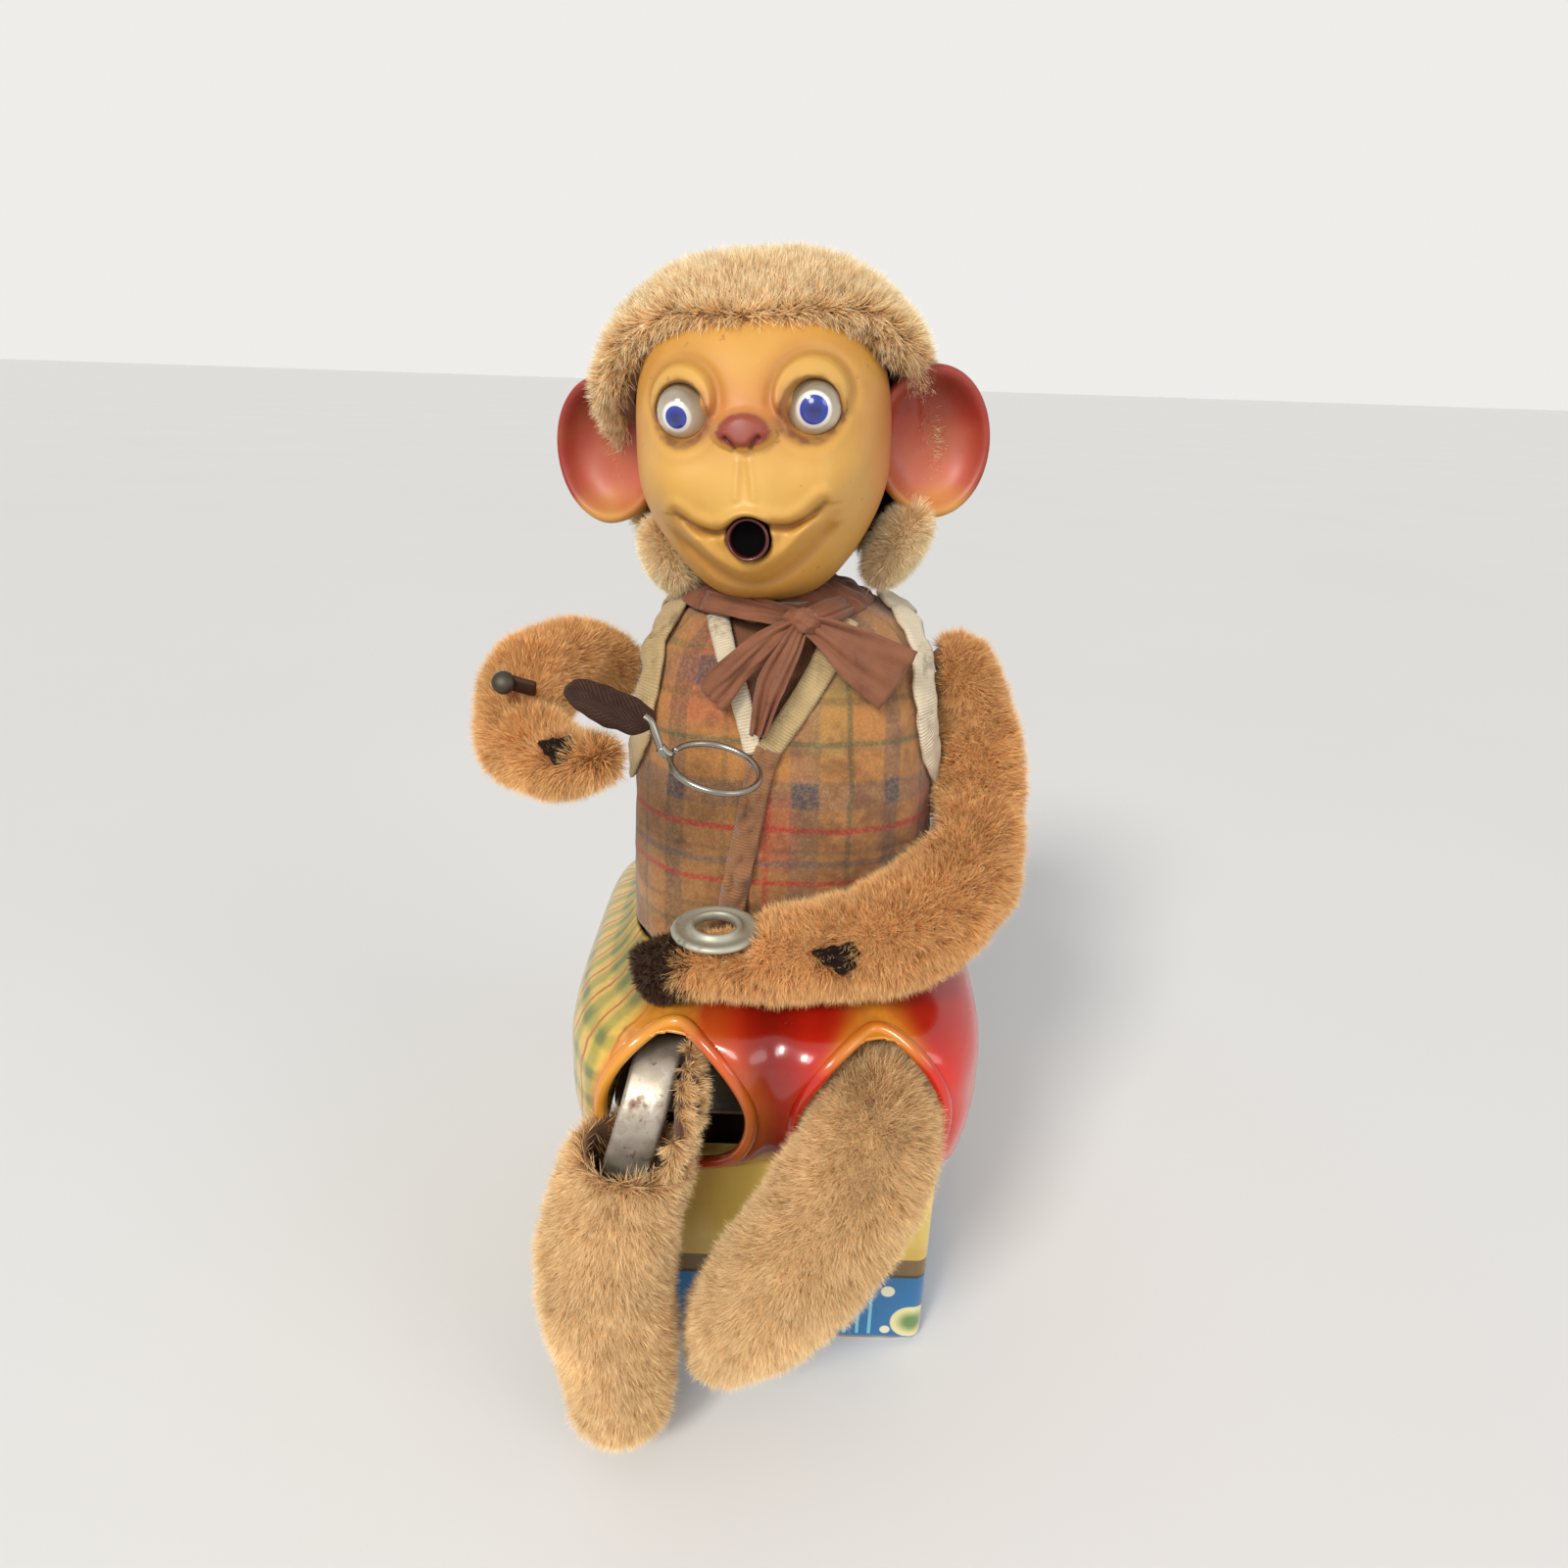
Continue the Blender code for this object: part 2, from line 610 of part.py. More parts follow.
# The torso pressing, in a front and a rear half, which carries the vest
torso_reaches = [
    (TORSO_BOTTOM, 0, 0, 0), (TORSO_BOTTOM + 16 * MM, 0, 0, 0),
    (TORSO_BOTTOM + 41 * MM, 0.8 * MM, 0.5 * MM, MM),
    (SHOULDER_Z, 1.5 * MM, 3 * MM, 4 * MM), (TORSO_TOP - 9.5 * MM, 4 * MM, 7 * MM, 8 * MM),
    (TORSO_TOP - 3.5 * MM, 10 * MM, 13 * MM, 13 * MM)]
torso_levels = [(z, TORSO_HALF_WIDTH - side, TORSO_FRONT - front, TORSO_REAR - rear, TORSO_POWER)
                for z, side, front, rear in torso_reaches]
torso_levels.append((TORSO_TOP, NECK_HOLE_X, NECK_HOLE_FRONT, NECK_HOLE_REAR, 2))
torso_front = half_shell("torso_front", torso_levels, True, TIN, "plain_tin", 17)
torso_rear = half_shell("torso_rear", torso_levels, False, TIN, "plain_tin", 17)
shoulder_hole = cylinder("shoulder_hole", ARM_SHAFT_RADIUS + 1.5 * MM, 30 * MM,
                         facing_x(-TORSO_HALF_WIDTH, 0, SHOULDER_Z), None, 16)
cut(torso_front, shoulder_hole)
cut(torso_rear, shoulder_hole)
vest_gap = GAP + VEST_THICKNESS + 0.2 * MM
vest_levels = [(VEST_BOTTOM, *torso_levels[0][1:4])] + [level[:4] for level in torso_levels[1:5]]
VEST_RING = 28
rings = [section(*[reach + vest_gap for reach in reaches], TORSO_POWER, z, 0, 360, VEST_RING + 1)[:-1]
         for z, *reaches in vest_levels]
work = bmesh.new()
layers = [[work.verts.new(place) for place in ring] for ring in rings]
for low, high in zip(layers, layers[1:]):
    for i in range(VEST_RING):
        j = (i + 1) % VEST_RING
        work.faces.new((low[j], low[i], high[i], high[j]))
vest = add_object("vest", mesh_from_bmesh("vest", work), "plaid_flannel")
wall = vest.modifiers.new("cloth", "SOLIDIFY")
wall.thickness = VEST_THICKNESS
wall.offset = -1
for side, tag in ((-1, "right"), (1, "left")):
    cut(vest, cylinder("armhole_" + tag, ARMHOLE_RADIUS, 24 * MM,
                       facing_x(side * TORSO_HALF_WIDTH, -1 * MM, SHOULDER_Z - 2 * MM), None, 24))
V_HALF_WIDTH = 13 * MM
V_DEPTH = 22 * MM
v_outline = [(-5 * MM, -V_DEPTH), (V_HALF_WIDTH, 10 * MM), (-V_HALF_WIDTH - 4 * MM, 10 * MM)]
v_cutter = as_mesh(plate("vest_v", [v_outline], 30 * MM, facing_y(0, -TORSO_FRONT, TORSO_TOP - 6.5 * MM)))
cut(vest, v_cutter)

# The mechanism frame stands on the deck
SHAFT_Y = 0.0
FRAME_TOP = SHOULDER_Z + 3.5 * MM
MOTOR_Z = DECK_TOP + BLOWER_RADIUS + GAP
WHEEL_RADIUS = GEAR_MODULE * WHEEL_TEETH / 2
PINION_RADIUS = GEAR_MODULE * PINION_TEETH / 2
CRANK_RADIUS = GEAR_MODULE * CRANK_TEETH / 2
FIRST_Z = MOTOR_Z + PINION_RADIUS + WHEEL_RADIUS
SECOND_Z = FIRST_Z + PINION_RADIUS + WHEEL_RADIUS
CRANK_Z = SECOND_Z + PINION_RADIUS + CRANK_RADIUS
shaft_hole = ARM_SHAFT_RADIUS + RUNNING
motor_hole = MOTOR_SHAFT_RADIUS + 1.5 * MM
stud_hole = STUD_RADIUS + GAP
post_hole = 1.2 * MM + GAP
POST_RADIUS = 1.2 * MM
POSTS = ((-9 * MM, DECK_TOP + 22 * MM), (-9 * MM, SHOULDER_Z - 12 * MM))


def frame_plate(name, x, holes):
    low = (-FRAME_HALF_DEPTH, DECK_TOP + GAP)
    high = (FRAME_HALF_DEPTH, FRAME_TOP)
    outlines = [rectangle(low, high)]
    outlines += [circle(radius, place, 14) for radius, place in holes]
    return plate(name, outlines, FRAME_THICKNESS, facing_x(x, 0, 0), "plain_tin")


common_holes = [(motor_hole, (TRAIN_Y, MOTOR_Z)), (shaft_hole, (SHAFT_Y, SHOULDER_Z))]
stud_holes = [(stud_hole, (TRAIN_Y, z)) for z in (FIRST_Z, SECOND_Z, CRANK_Z)]
frame_plate("frame_right", -FRAME_X, common_holes)
frame_plate("frame_left", FRAME_X, common_holes + stud_holes)
post_length = 2 * FRAME_X - FRAME_THICKNESS - 2 * GAP
for tag, (y, z) in zip(("lower", "upper"), POSTS):
    cylinder("spacer_" + tag, POST_RADIUS, post_length, facing_x(0, y, z), "steel", 12)

motor_profile = [
    (6 * MM, MOTOR_LENGTH / 2), (MOTOR_RADIUS, MOTOR_LENGTH / 2 - MM), (MOTOR_RADIUS, MM - MOTOR_LENGTH / 2),
    (6 * MM, -MOTOR_LENGTH / 2), (MOTOR_SHAFT_RADIUS + RUNNING, -MOTOR_LENGTH / 2),
    (MOTOR_SHAFT_RADIUS + RUNNING, MOTOR_LENGTH / 2)]
turned("motor_can", motor_profile, facing_x(0, TRAIN_Y, MOTOR_Z), "plain_tin")

BLOWER_X = -FRAME_X - FRAME_THICKNESS / 2 - GAP - BLOWER_WIDTH / 2
GEAR_X = [FRAME_X + FRAME_THICKNESS / 2 + (i + 0.5) * (GEAR_THICKNESS + GAP) + GAP for i in range(3)]
INTAKE_RADIUS = 5 * MM
blower_side = BLOWER_WIDTH / 2
blower_profile = [
    (BLOWER_RADIUS, blower_side), (BLOWER_RADIUS, -blower_side), (motor_hole, -blower_side),
    (motor_hole, TIN - blower_side), (BLOWER_RADIUS - TIN, TIN - blower_side),
    (BLOWER_RADIUS - TIN, blower_side - TIN), (INTAKE_RADIUS, blower_side - TIN), (INTAKE_RADIUS, blower_side)]
blower_place = facing_x(BLOWER_X, TRAIN_Y, MOTOR_Z) @ Matrix.Rotation(math.pi, 4, "X")
blower_housing = turned("blower_housing", blower_profile, blower_place, "nylon")
outlet = cylinder("blower_outlet", AIR_TUBE_RADIUS, 2 * BLOWER_RADIUS,
                  at(BLOWER_X, TRAIN_Y, MOTOR_Z + BLOWER_RADIUS), None, 16)
cut(blower_housing, outlet)

SHAFT_LEFT = GEAR_X[0] + GEAR_THICKNESS / 2 + GAP
SHAFT_RIGHT = BLOWER_X - blower_side + TIN + GAP
shaft_middle = (SHAFT_LEFT + SHAFT_RIGHT) / 2
motor_shaft = cylinder("motor_shaft", MOTOR_SHAFT_RADIUS, SHAFT_LEFT - SHAFT_RIGHT,
                       facing_x(shaft_middle, TRAIN_Y, MOTOR_Z), "steel", 16)
bore = MOTOR_SHAFT_RADIUS + RUNNING


def gear(name, teeth, phase, bore_radius, x, z, finish):
    outlines = [gear_outline(teeth, phase), circle(bore_radius, (0, 0), 14)]
    return plate(name, outlines, GEAR_THICKNESS, facing_x(x, TRAIN_Y, z), finish)


# A wheel and the pinion beside it are one moulding
def wheel_and_pinion(name, x, z, wheel_teeth, wheel_phase, pinion_phase):
    wheel = as_mesh(gear(name, wheel_teeth, wheel_phase, STUD_RADIUS + RUNNING, x, z, "nylon"))
    if pinion_phase is not None:
        outline = [gear_outline(PINION_TEETH, pinion_phase), circle(STUD_RADIUS + RUNNING, (0, 0), 14)]
        reach = GEAR_THICKNESS + GAP + 0.2 * MM
        place = facing_x(x + GEAR_THICKNESS / 2 - 0.2 * MM + reach / 2, TRAIN_Y, z)
        join(wheel, as_mesh(plate(name + "_pinion", outline, reach, place)))
    return wheel


# A pinion tooth points up at rest, into a gap at the foot of the wheel above it
TOOTH_UP = 0.25 * PINION_TEETH
GAP_DOWN = 0.75 * WHEEL_TEETH + 0.5
motor_pinion = gear("motor_pinion", PINION_TEETH, TOOTH_UP, bore, GEAR_X[0], MOTOR_Z, "brass")
first_gear = wheel_and_pinion("first_gear", GEAR_X[0], FIRST_Z, WHEEL_TEETH, GAP_DOWN, TOOTH_UP)
second_gear = wheel_and_pinion("second_gear", GEAR_X[1], SECOND_Z, WHEEL_TEETH, GAP_DOWN, TOOTH_UP)
crank_wheel = wheel_and_pinion("crank_wheel", GEAR_X[2], CRANK_Z, CRANK_TEETH, 0.75 * CRANK_TEETH + 0.5, None)
crank_pin_end = GEAR_X[2] + GEAR_THICKNESS / 2 + 1.6 * MM
crank_pin = cylinder("crank_pin", LINK_PIN_RADIUS, 2.4 * MM,
                     facing_x(crank_pin_end - 1.2 * MM, TRAIN_Y + CRANK_THROW, CRANK_Z), None, 12)
join(crank_wheel, crank_pin)
STUD_FOOT = FRAME_X - FRAME_THICKNESS / 2 - 1 * MM
studs = (("first", GEAR_X[1], FIRST_Z), ("second", GEAR_X[2], SECOND_Z), ("crank", GEAR_X[2], CRANK_Z))
for tag, x, z in studs:
    end = x + GEAR_THICKNESS / 2 + 0.4 * MM
    stud_place = facing_x((end + STUD_FOOT) / 2, TRAIN_Y, z)
    cylinder("stud_" + tag, STUD_RADIUS, end - STUD_FOOT, stud_place, "steel", 16)

fan_hub = 3 * MM
fan_width = BLOWER_WIDTH - 2 * TIN - 2.4 * MM
impeller_profile = [(fan_hub, fan_width / 2), (fan_hub, GAP), (FAN_RADIUS, GAP), (FAN_RADIUS, -MM),
                    (bore, -MM), (bore, fan_width / 2)]
impeller = turned("impeller", impeller_profile, facing_x(BLOWER_X, TRAIN_Y, MOTOR_Z), "nylon", True, 16)
BLADES = 6
for i in range(BLADES):
    turn = Matrix.Rotation(2 * math.pi * i / BLADES, 4, "X")
    blade = block("blade_%d" % i, (-MM / 2, 2 * MM, -0.4 * MM), (fan_width / 2, FAN_RADIUS, 0.4 * MM))
    blade.matrix_world = at(BLOWER_X, TRAIN_Y, MOTOR_Z) @ turn @ blade.matrix_world
    join(impeller, blade)

# The arm shaft, its lever and the link down to the crank
LEVER_X = crank_pin_end + GAP + 0.6 * MM - 2.0 * MM
LINK_X = crank_pin_end + GAP + 0.6 * MM
LINK_THICKNESS = 1.0 * MM
shaft_inner_end = LINK_X - LINK_THICKNESS
shaft_outer_end = -TORSO_HALF_WIDTH - 2 * MM
arm_shaft = cylinder("arm_shaft", ARM_SHAFT_RADIUS, shaft_inner_end - shaft_outer_end,
                     facing_x((shaft_inner_end + shaft_outer_end) / 2, SHAFT_Y, SHOULDER_Z), "steel", 20)
LINK_WIDTH = 4.4 * MM


def link_outline(length):
    half = LINK_WIDTH / 2
    points = []
    for i in range(9):
        angle = math.radians(-90 + 180 * i / 8)
        points.append((length + half * math.cos(angle), half * math.sin(angle)))
    for i in range(9):
        angle = math.radians(90 + 180 * i / 8)
        points.append((half * math.cos(angle), half * math.sin(angle)))
    return points


lever_outlines = [link_outline(LEVER_LENGTH), circle(ARM_SHAFT_RADIUS + RUNNING, (0, 0), 16)]
arm_lever = as_mesh(plate("arm_lever", lever_outlines, LINK_THICKNESS,
                          facing_x(LEVER_X, SHAFT_Y, SHOULDER_Z), "plain_tin"))
join(arm_lever, cylinder("lever_pin", LINK_PIN_RADIUS, 3.6 * MM,
                         facing_x(LEVER_X + 1.4 * MM, SHAFT_Y + LEVER_LENGTH, SHOULDER_Z), None, 16))
link_length = SHOULDER_Z - CRANK_Z
link_holes = [circle(LINK_PIN_RADIUS + RUNNING, (x, 0), 16) for x in (0, link_length)]
link_place = facing_x(LINK_X, SHAFT_Y + LEVER_LENGTH, SHOULDER_Z) @ Matrix.Rotation(math.radians(-90), 4, "Z")
link_outlines = [link_outline(link_length), *link_holes]
crank_link = plate("crank_link", link_outlines, LINK_THICKNESS, link_place, "plain_tin")

# The air tube, from the blower to the neck
TUBE_END_Z = TORSO_TOP - 0.8 * MM
tube_route = [(BLOWER_X, TRAIN_Y, MOTOR_Z + BLOWER_RADIUS + GAP),
              (BLOWER_X, TRAIN_Y + 2 * MM, MOTOR_Z + 30 * MM),
              (BLOWER_X, 9 * MM, SHOULDER_Z - 8 * MM),
              (BLOWER_X + 2 * MM, 8 * MM, SHOULDER_Z + 4 * MM),
              (-13 * MM, 4 * MM, SHOULDER_Z + 9.5 * MM),
              (NECK_X - 3 * MM, NECK_Y, SHOULDER_Z + 12 * MM),
              (NECK_X, NECK_Y, TUBE_END_Z - 3 * MM),
              (NECK_X, NECK_Y, TUBE_END_Z - 1.5 * MM),
              (NECK_X, NECK_Y, TUBE_END_Z)]


def hose(name, route, radius, wall, finish, side, steps=2, sides=7):
    """A round tube with its bore, along a path."""
    centres = [Vector(place) for place in smooth_path(route, steps)]
    frames = carried_frames(centres, side)
    turn = 2 * math.pi / sides

    def ring(frame, r):
        centre, across, up, _ = frame
        return [centre + (across * math.cos(i * turn) + up * math.sin(i * turn)) * r for i in range(sides)]

    outer = [ring(frame, radius) for frame in frames]
    inner = [ring(frame, radius - wall) for frame in frames]
    return skin_rings(name, outer + inner[::-1], True, finish)


air_tube = hose("air_tube", tube_route, AIR_TUBE_RADIUS, AIR_TUBE_WALL, "rubber_tube", (0, 1, 0))

# The switch on the box's right side
SWITCH_Y = -16 * MM
SWITCH_Z = 26 * MM
SWITCH_TRAVEL = 6 * MM
switch_inner = -BOX_WIDTH / 2 + TIN
switch_slot = block("switch_slot", (-BOX_WIDTH, SWITCH_Y - 2 * MM, SWITCH_Z - 2 * MM),
                    (switch_inner + 2 * MM, SWITCH_Y + 2 * MM, SWITCH_Z + SWITCH_TRAVEL + 2 * MM))
cut(box_front, switch_slot)
lever_outline = [(-3.4 * MM, -1.6 * MM), (1.5 * MM, -1.6 * MM), (1.5 * MM, -4 * MM), (2.5 * MM, -4 * MM),
                 (2.5 * MM, 4 * MM), (1.5 * MM, 4 * MM), (1.5 * MM, 1.6 * MM), (-3.4 * MM, 1.6 * MM)]
lever_shift = switch_inner - 1.5 * MM + GAP
switch_lever = plate("switch_lever", [lever_outline], 3 * MM, at(lever_shift, SWITCH_Y, SWITCH_Z), "plain_tin")
plate_face = lever_shift + 2.5 * MM + GAP
switch_plate = block("switch_plate", (plate_face, SWITCH_Y - 7 * MM, SWITCH_Z - 6 * MM),
                     (plate_face + 1.5 * MM, SWITCH_Y + 7 * MM, SWITCH_Z + 12 * MM), "fibre")

# Right leg: a bare strip at the knee, with the shin's plush below it and the thigh's torn cloth beside it
RIGHT_LEG_X = -LEG_HOLE_X - 3.5 * MM
strip_route = [(RIGHT_LEG_X, -16 * MM, DECK_TOP + 1.2 * MM), (RIGHT_LEG_X, -30 * MM, DECK_TOP + 9 * MM),
               (RIGHT_LEG_X, -43 * MM, LEG_HOLE_Z + 10.5 * MM),
               (RIGHT_LEG_X - 0.5 * MM, -53 * MM, LEG_HOLE_Z + 13.5 * MM),
               (RIGHT_LEG_X - 2 * MM, -60.5 * MM, LEG_HOLE_Z + 8 * MM),
               (RIGHT_LEG_X - 4.5 * MM, -63.5 * MM, LEG_HOLE_Z - 1 * MM),
               (-32 * MM, -64.5 * MM, LEG_HOLE_Z - 13 * MM), (-34 * MM, -64.5 * MM, 56 * MM)]
strip("right_leg_strip", strip_route, LEG_STRIP_WIDTH, "plain_tin", (1, 0, 0))
right_leg_stations = [(-28.9 * MM, -63.5 * MM, LEG_HOLE_Z - 2.5 * MM, 13.5 * MM),
                      (-32.6 * MM, -64.5 * MM, LEG_HOLE_Z - 17 * MM, 14.5 * MM),
                      (-35 * MM, -64.5 * MM, 48 * MM, 15 * MM),
                      (-33.5 * MM, -65.5 * MM, 31 * MM, 13.5 * MM),
                      (-32 * MM, -67.5 * MM, 15.5 * MM, 11.5 * MM)]
right_leg_plush = sleeve("right_leg_plush", right_leg_stations, LEG_SLEEVE_BORE, "tan_plush", (1, 0, 0), 0.7)
cut(right_leg_plush, pants_body)


def part_sleeve(name, points, radius, start, end, thickness, finish, side, count=6):
    """A torn piece of a sleeve: an arc of cloth along a path, between two angles round it."""
    centres = [Vector(place) for place in smooth_path(points, 2)]
    rings = []
    for centre, across, up, _ in carried_frames(centres, side):
        arc = [math.radians(start + (end - start) * i / (count - 1)) for i in range(count)]
        spokes = [across * math.cos(angle) + up * math.sin(angle) for angle in arc]
        rings.append([centre + spoke * (radius + thickness) for spoke in spokes]
                     + [centre + spoke * radius for spoke in spokes[::-1]])
    return skin_rings(name, rings, False, finish)


cloth_route = [strip_route[2], strip_route[3],
               (RIGHT_LEG_X - 1.4 * MM, -59 * MM, LEG_HOLE_Z + 10 * MM),
               (RIGHT_LEG_X - 2.6 * MM, -61.7 * MM, LEG_HOLE_Z + 5 * MM)]
CLOTH_THICKNESS = 0.8 * MM
cloth_radius = LEG_STRIP_WIDTH / 2 + 3 * GAP
part_sleeve("right_thigh_cloth", cloth_route, cloth_radius, -75, 60, CLOTH_THICKNESS, "brown_cloth", (1, 0, 0))

# Left leg: a whole plush sleeve over its strip
LEFT_LEG_X = LEG_HOLE_X - MM
left_strip_route = [(LEFT_LEG_X, -16 * MM, DECK_TOP + 1.2 * MM), (LEFT_LEG_X, -30 * MM, DECK_TOP + 9 * MM),
                    (LEFT_LEG_X, -41 * MM, LEG_HOLE_Z + 5 * MM), (LEFT_LEG_X, -50 * MM, LEG_HOLE_Z + 4.5 * MM),
                    (18 * MM, -58.5 * MM, LEG_HOLE_Z + 1.5 * MM), (14 * MM, -65 * MM, LEG_HOLE_Z - 7 * MM),
                    (8 * MM, -67 * MM, 62 * MM)]
strip("left_leg_strip", left_strip_route, LEG_STRIP_WIDTH, "plain_tin", (1, 0, 0))
left_leg_stations = [(LEFT_LEG_X, -41 * MM, LEG_HOLE_Z + 5 * MM, 11.5 * MM),
                     (LEFT_LEG_X, -50 * MM, LEG_HOLE_Z + 4.5 * MM, 12 * MM),
                     (18 * MM, -58.5 * MM, LEG_HOLE_Z + 1.5 * MM, 12.5 * MM),
                     (14 * MM, -65 * MM, LEG_HOLE_Z - 7 * MM, 14.5 * MM),
                     (7 * MM, -67.5 * MM, 60 * MM, 15.5 * MM), (-1 * MM, -66 * MM, 45 * MM, 14.5 * MM),
                     (-7 * MM, -62.5 * MM, 33 * MM, 12 * MM), (-9.5 * MM, -61 * MM, 25 * MM, 9.5 * MM)]
left_leg_plush = sleeve("left_leg_plush", left_leg_stations, LEG_SLEEVE_BORE, "tan_plush", (1, 0, 0), 0.6)
cut(left_leg_plush, pants_body)

# Left arm, lying across the lap, which holds the cup ring
arm_root = TORSO_HALF_WIDTH + vest_gap + GAP
left_arm_stations = [(arm_root, 0, SHOULDER_Z, 9 * MM), (arm_root + 3 * MM, 0, SHOULDER_Z - 0.4 * MM, 10 * MM),
                     (arm_root + 11.8 * MM, -4 * MM, SHOULDER_Z - 13 * MM, 10.3 * MM),
                     (arm_root + 11.3 * MM, -15 * MM, PANTS_TOP + 27.5 * MM, 10.3 * MM),
                     (arm_root + 5.8 * MM, -31 * MM, PANTS_TOP + 14 * MM, 10.8 * MM),
                     (23 * MM, -44.5 * MM, PANTS_TOP + 11.8 * MM, 11 * MM),
                     (3 * MM, -46.5 * MM, PANTS_TOP + 11.5 * MM, 10.6 * MM),
                     (-14 * MM, -47 * MM, PANTS_TOP + 8.5 * MM, 8.5 * MM),
                     (-24 * MM, -46.5 * MM, PANTS_TOP + 7 * MM, 7 * MM)]
left_arm_plush = sleeve("left_arm_plush", left_arm_stations, ARM_SLEEVE_BORE, "rust_plush", (0, 1, 0), 0.68)
ROOT_CUT_DEPTH = 20 * MM
ROOT_CUT_HEIGHT = 25 * MM
left_root_high = (arm_root, ROOT_CUT_DEPTH, SHOULDER_Z + ROOT_CUT_HEIGHT)
left_arm_room = block("left_arm_room", (0, -ROOT_CUT_DEPTH, SHOULDER_Z - ROOT_CUT_HEIGHT), left_root_high)
cut(left_arm_plush, left_arm_room)
left_strip_points = [(TORSO_HALF_WIDTH + GAP, 0, SHOULDER_Z)]
left_strip_points += [station[:3] for station in left_arm_stations[:6]]
left_arm_strip = strip("left_arm_strip", left_strip_points, ARM_STRIP_WIDTH, "plain_tin", (0, 1, 0), 2)
CUP_X = -13 * MM
CUP_Y = -46.5 * MM
CUP_Z = PANTS_TOP + 16.5 * MM
cup_profile = [(CUP_RADIUS, 1.0 * MM), (CUP_RADIUS, 0), (CUP_HOLE_RADIUS, 0), (CUP_HOLE_RADIUS, 1.8 * MM),
               (CUP_HOLE_RADIUS + MM, 1.8 * MM), (CUP_HOLE_RADIUS + MM, 1.0 * MM)]
cup_holder = turned("cup_holder", cup_profile, at(CUP_X, CUP_Y, CUP_Z), "steel", True, 24)
cup_room = cylinder("cup_room", CUP_RADIUS + GAP, 20 * MM, at(CUP_X, CUP_Y, CUP_Z - GAP + 10 * MM), None, 24)
cut(left_arm_plush, cup_room)

# Right arm, on the shaft, with the wand in its hand
right_arm_stations = [(-arm_root - 1.5 * MM, 0, SHOULDER_Z, 9 * MM),
                      (-arm_root - 4 * MM, -0.5 * MM, SHOULDER_Z + 0.5 * MM, 10.5 * MM),
                      (-arm_root - 10.8 * MM, -8 * MM, SHOULDER_Z + 4 * MM, 12 * MM),
                      (-arm_root - 17.3 * MM, -22 * MM, SHOULDER_Z + 3 * MM, 13.5 * MM),
                      (-arm_root - 17.8 * MM, -38 * MM, SHOULDER_Z - 4.5 * MM, 13 * MM),
                      (-45 * MM, -51 * MM, SHOULDER_Z - 7 * MM, 11.5 * MM),
                      (-36 * MM, -58 * MM, SHOULDER_Z - 2.5 * MM, 9 * MM),
                      (-31 * MM, -61 * MM, SHOULDER_Z + 0.5 * MM, 6.5 * MM)]
right_arm_plush = sleeve("right_arm_plush", right_arm_stations, ARM_SLEEVE_BORE, "rust_plush", (0, 0, 1), 0.8)
right_root_high = (0, ROOT_CUT_DEPTH, SHOULDER_Z + ROOT_CUT_HEIGHT)
right_root_low = (-arm_root - MM, -ROOT_CUT_DEPTH, SHOULDER_Z - ROOT_CUT_HEIGHT)
cut(right_arm_plush, block("right_arm_room", right_root_low, right_root_high))
right_strip_points = [(shaft_outer_end - GAP, 0, SHOULDER_Z)]
right_strip_points += [station[:3] for station in right_arm_stations[:6]]
right_arm_strip = strip("right_arm_strip", right_strip_points, ARM_STRIP_WIDTH, "plain_tin", (0, 0, 1), 2)
pad_place = at(-31.5 * MM, -58.5 * MM, SHOULDER_Z + 9.6 * MM) @ Matrix.Rotation(math.radians(-18), 4, "Z") \
    @ Matrix.Rotation(math.radians(18), 4, "Y")
right_hand_pad = ellipsoid("right_hand_pad", (8.5 * MM, 5.5 * MM, 2.2 * MM), pad_place, "brown_cloth", 16)
RING_X = -12.1 * MM
RING_Y = -62 * MM
RING_Z = SHOULDER_Z
RING_TILT = math.radians(10)
ring_start = math.radians(172)
ring_sweep = math.radians(348)
RING_STEPS = 24
wand_points = [(-22.9 * MM, -61.4 * MM, RING_Z + 7.2 * MM), (-21.8 * MM, -62 * MM, RING_Z + 4.5 * MM)]
for i in range(RING_STEPS + 1):
    angle = ring_start + ring_sweep * i / RING_STEPS
    wand_points.append((RING_X + RING_RADIUS * math.cos(angle),
                        RING_Y + RING_RADIUS * math.sin(angle) * math.cos(RING_TILT),
                        RING_Z + RING_RADIUS * math.sin(angle) * math.sin(RING_TILT)))
wand = wire("wand", wand_points, WIRE_RADIUS, "steel", 1)

# Head pieces are made in the head's own frame and then set in place
HEAD = at(*HEAD_CENTRE) @ Matrix.Rotation(HEAD_TURN, 4, "Z") @ Matrix.Rotation(HEAD_LEAN, 4, "Y")


def rounded_radius(direction, width, depth, above, below, power):
    height = above if direction.z > 0 else below
    shares = (direction.x / width, direction.y / depth, direction.z / height)
    return sum(abs(share) ** power for share in shares) ** (-1 / power)


def bump(x, z, middle_x, middle_z, spread_x, spread_z, height):
    return height * math.exp(-((x - middle_x) / spread_x) ** 2 / 2 - ((z - middle_z) / spread_z) ** 2 / 2)


def face_relief(x, z):
    """How far the face stands out from its plain egg, at a place seen from the front."""
    x = abs(x)
    relief = bump(x, z, 0, -14 * MM, 12 * MM, 9.5 * MM, 7 * MM)
    relief += bump(x, z, 0, 1 * MM, 4 * MM, 3 * MM, 4 * MM)
    relief += bump(x, z, 0, -27 * MM, 8 * MM, 4 * MM, 1.5 * MM)
    relief += bump(x, z, 16 * MM, -9 * MM, 6 * MM, 6 * MM, 2.5 * MM)
    relief += bump(x, z, EYE_X, EYE_Z + 8 * MM, 7 * MM, 3 * MM, 2.5 * MM)
    return relief


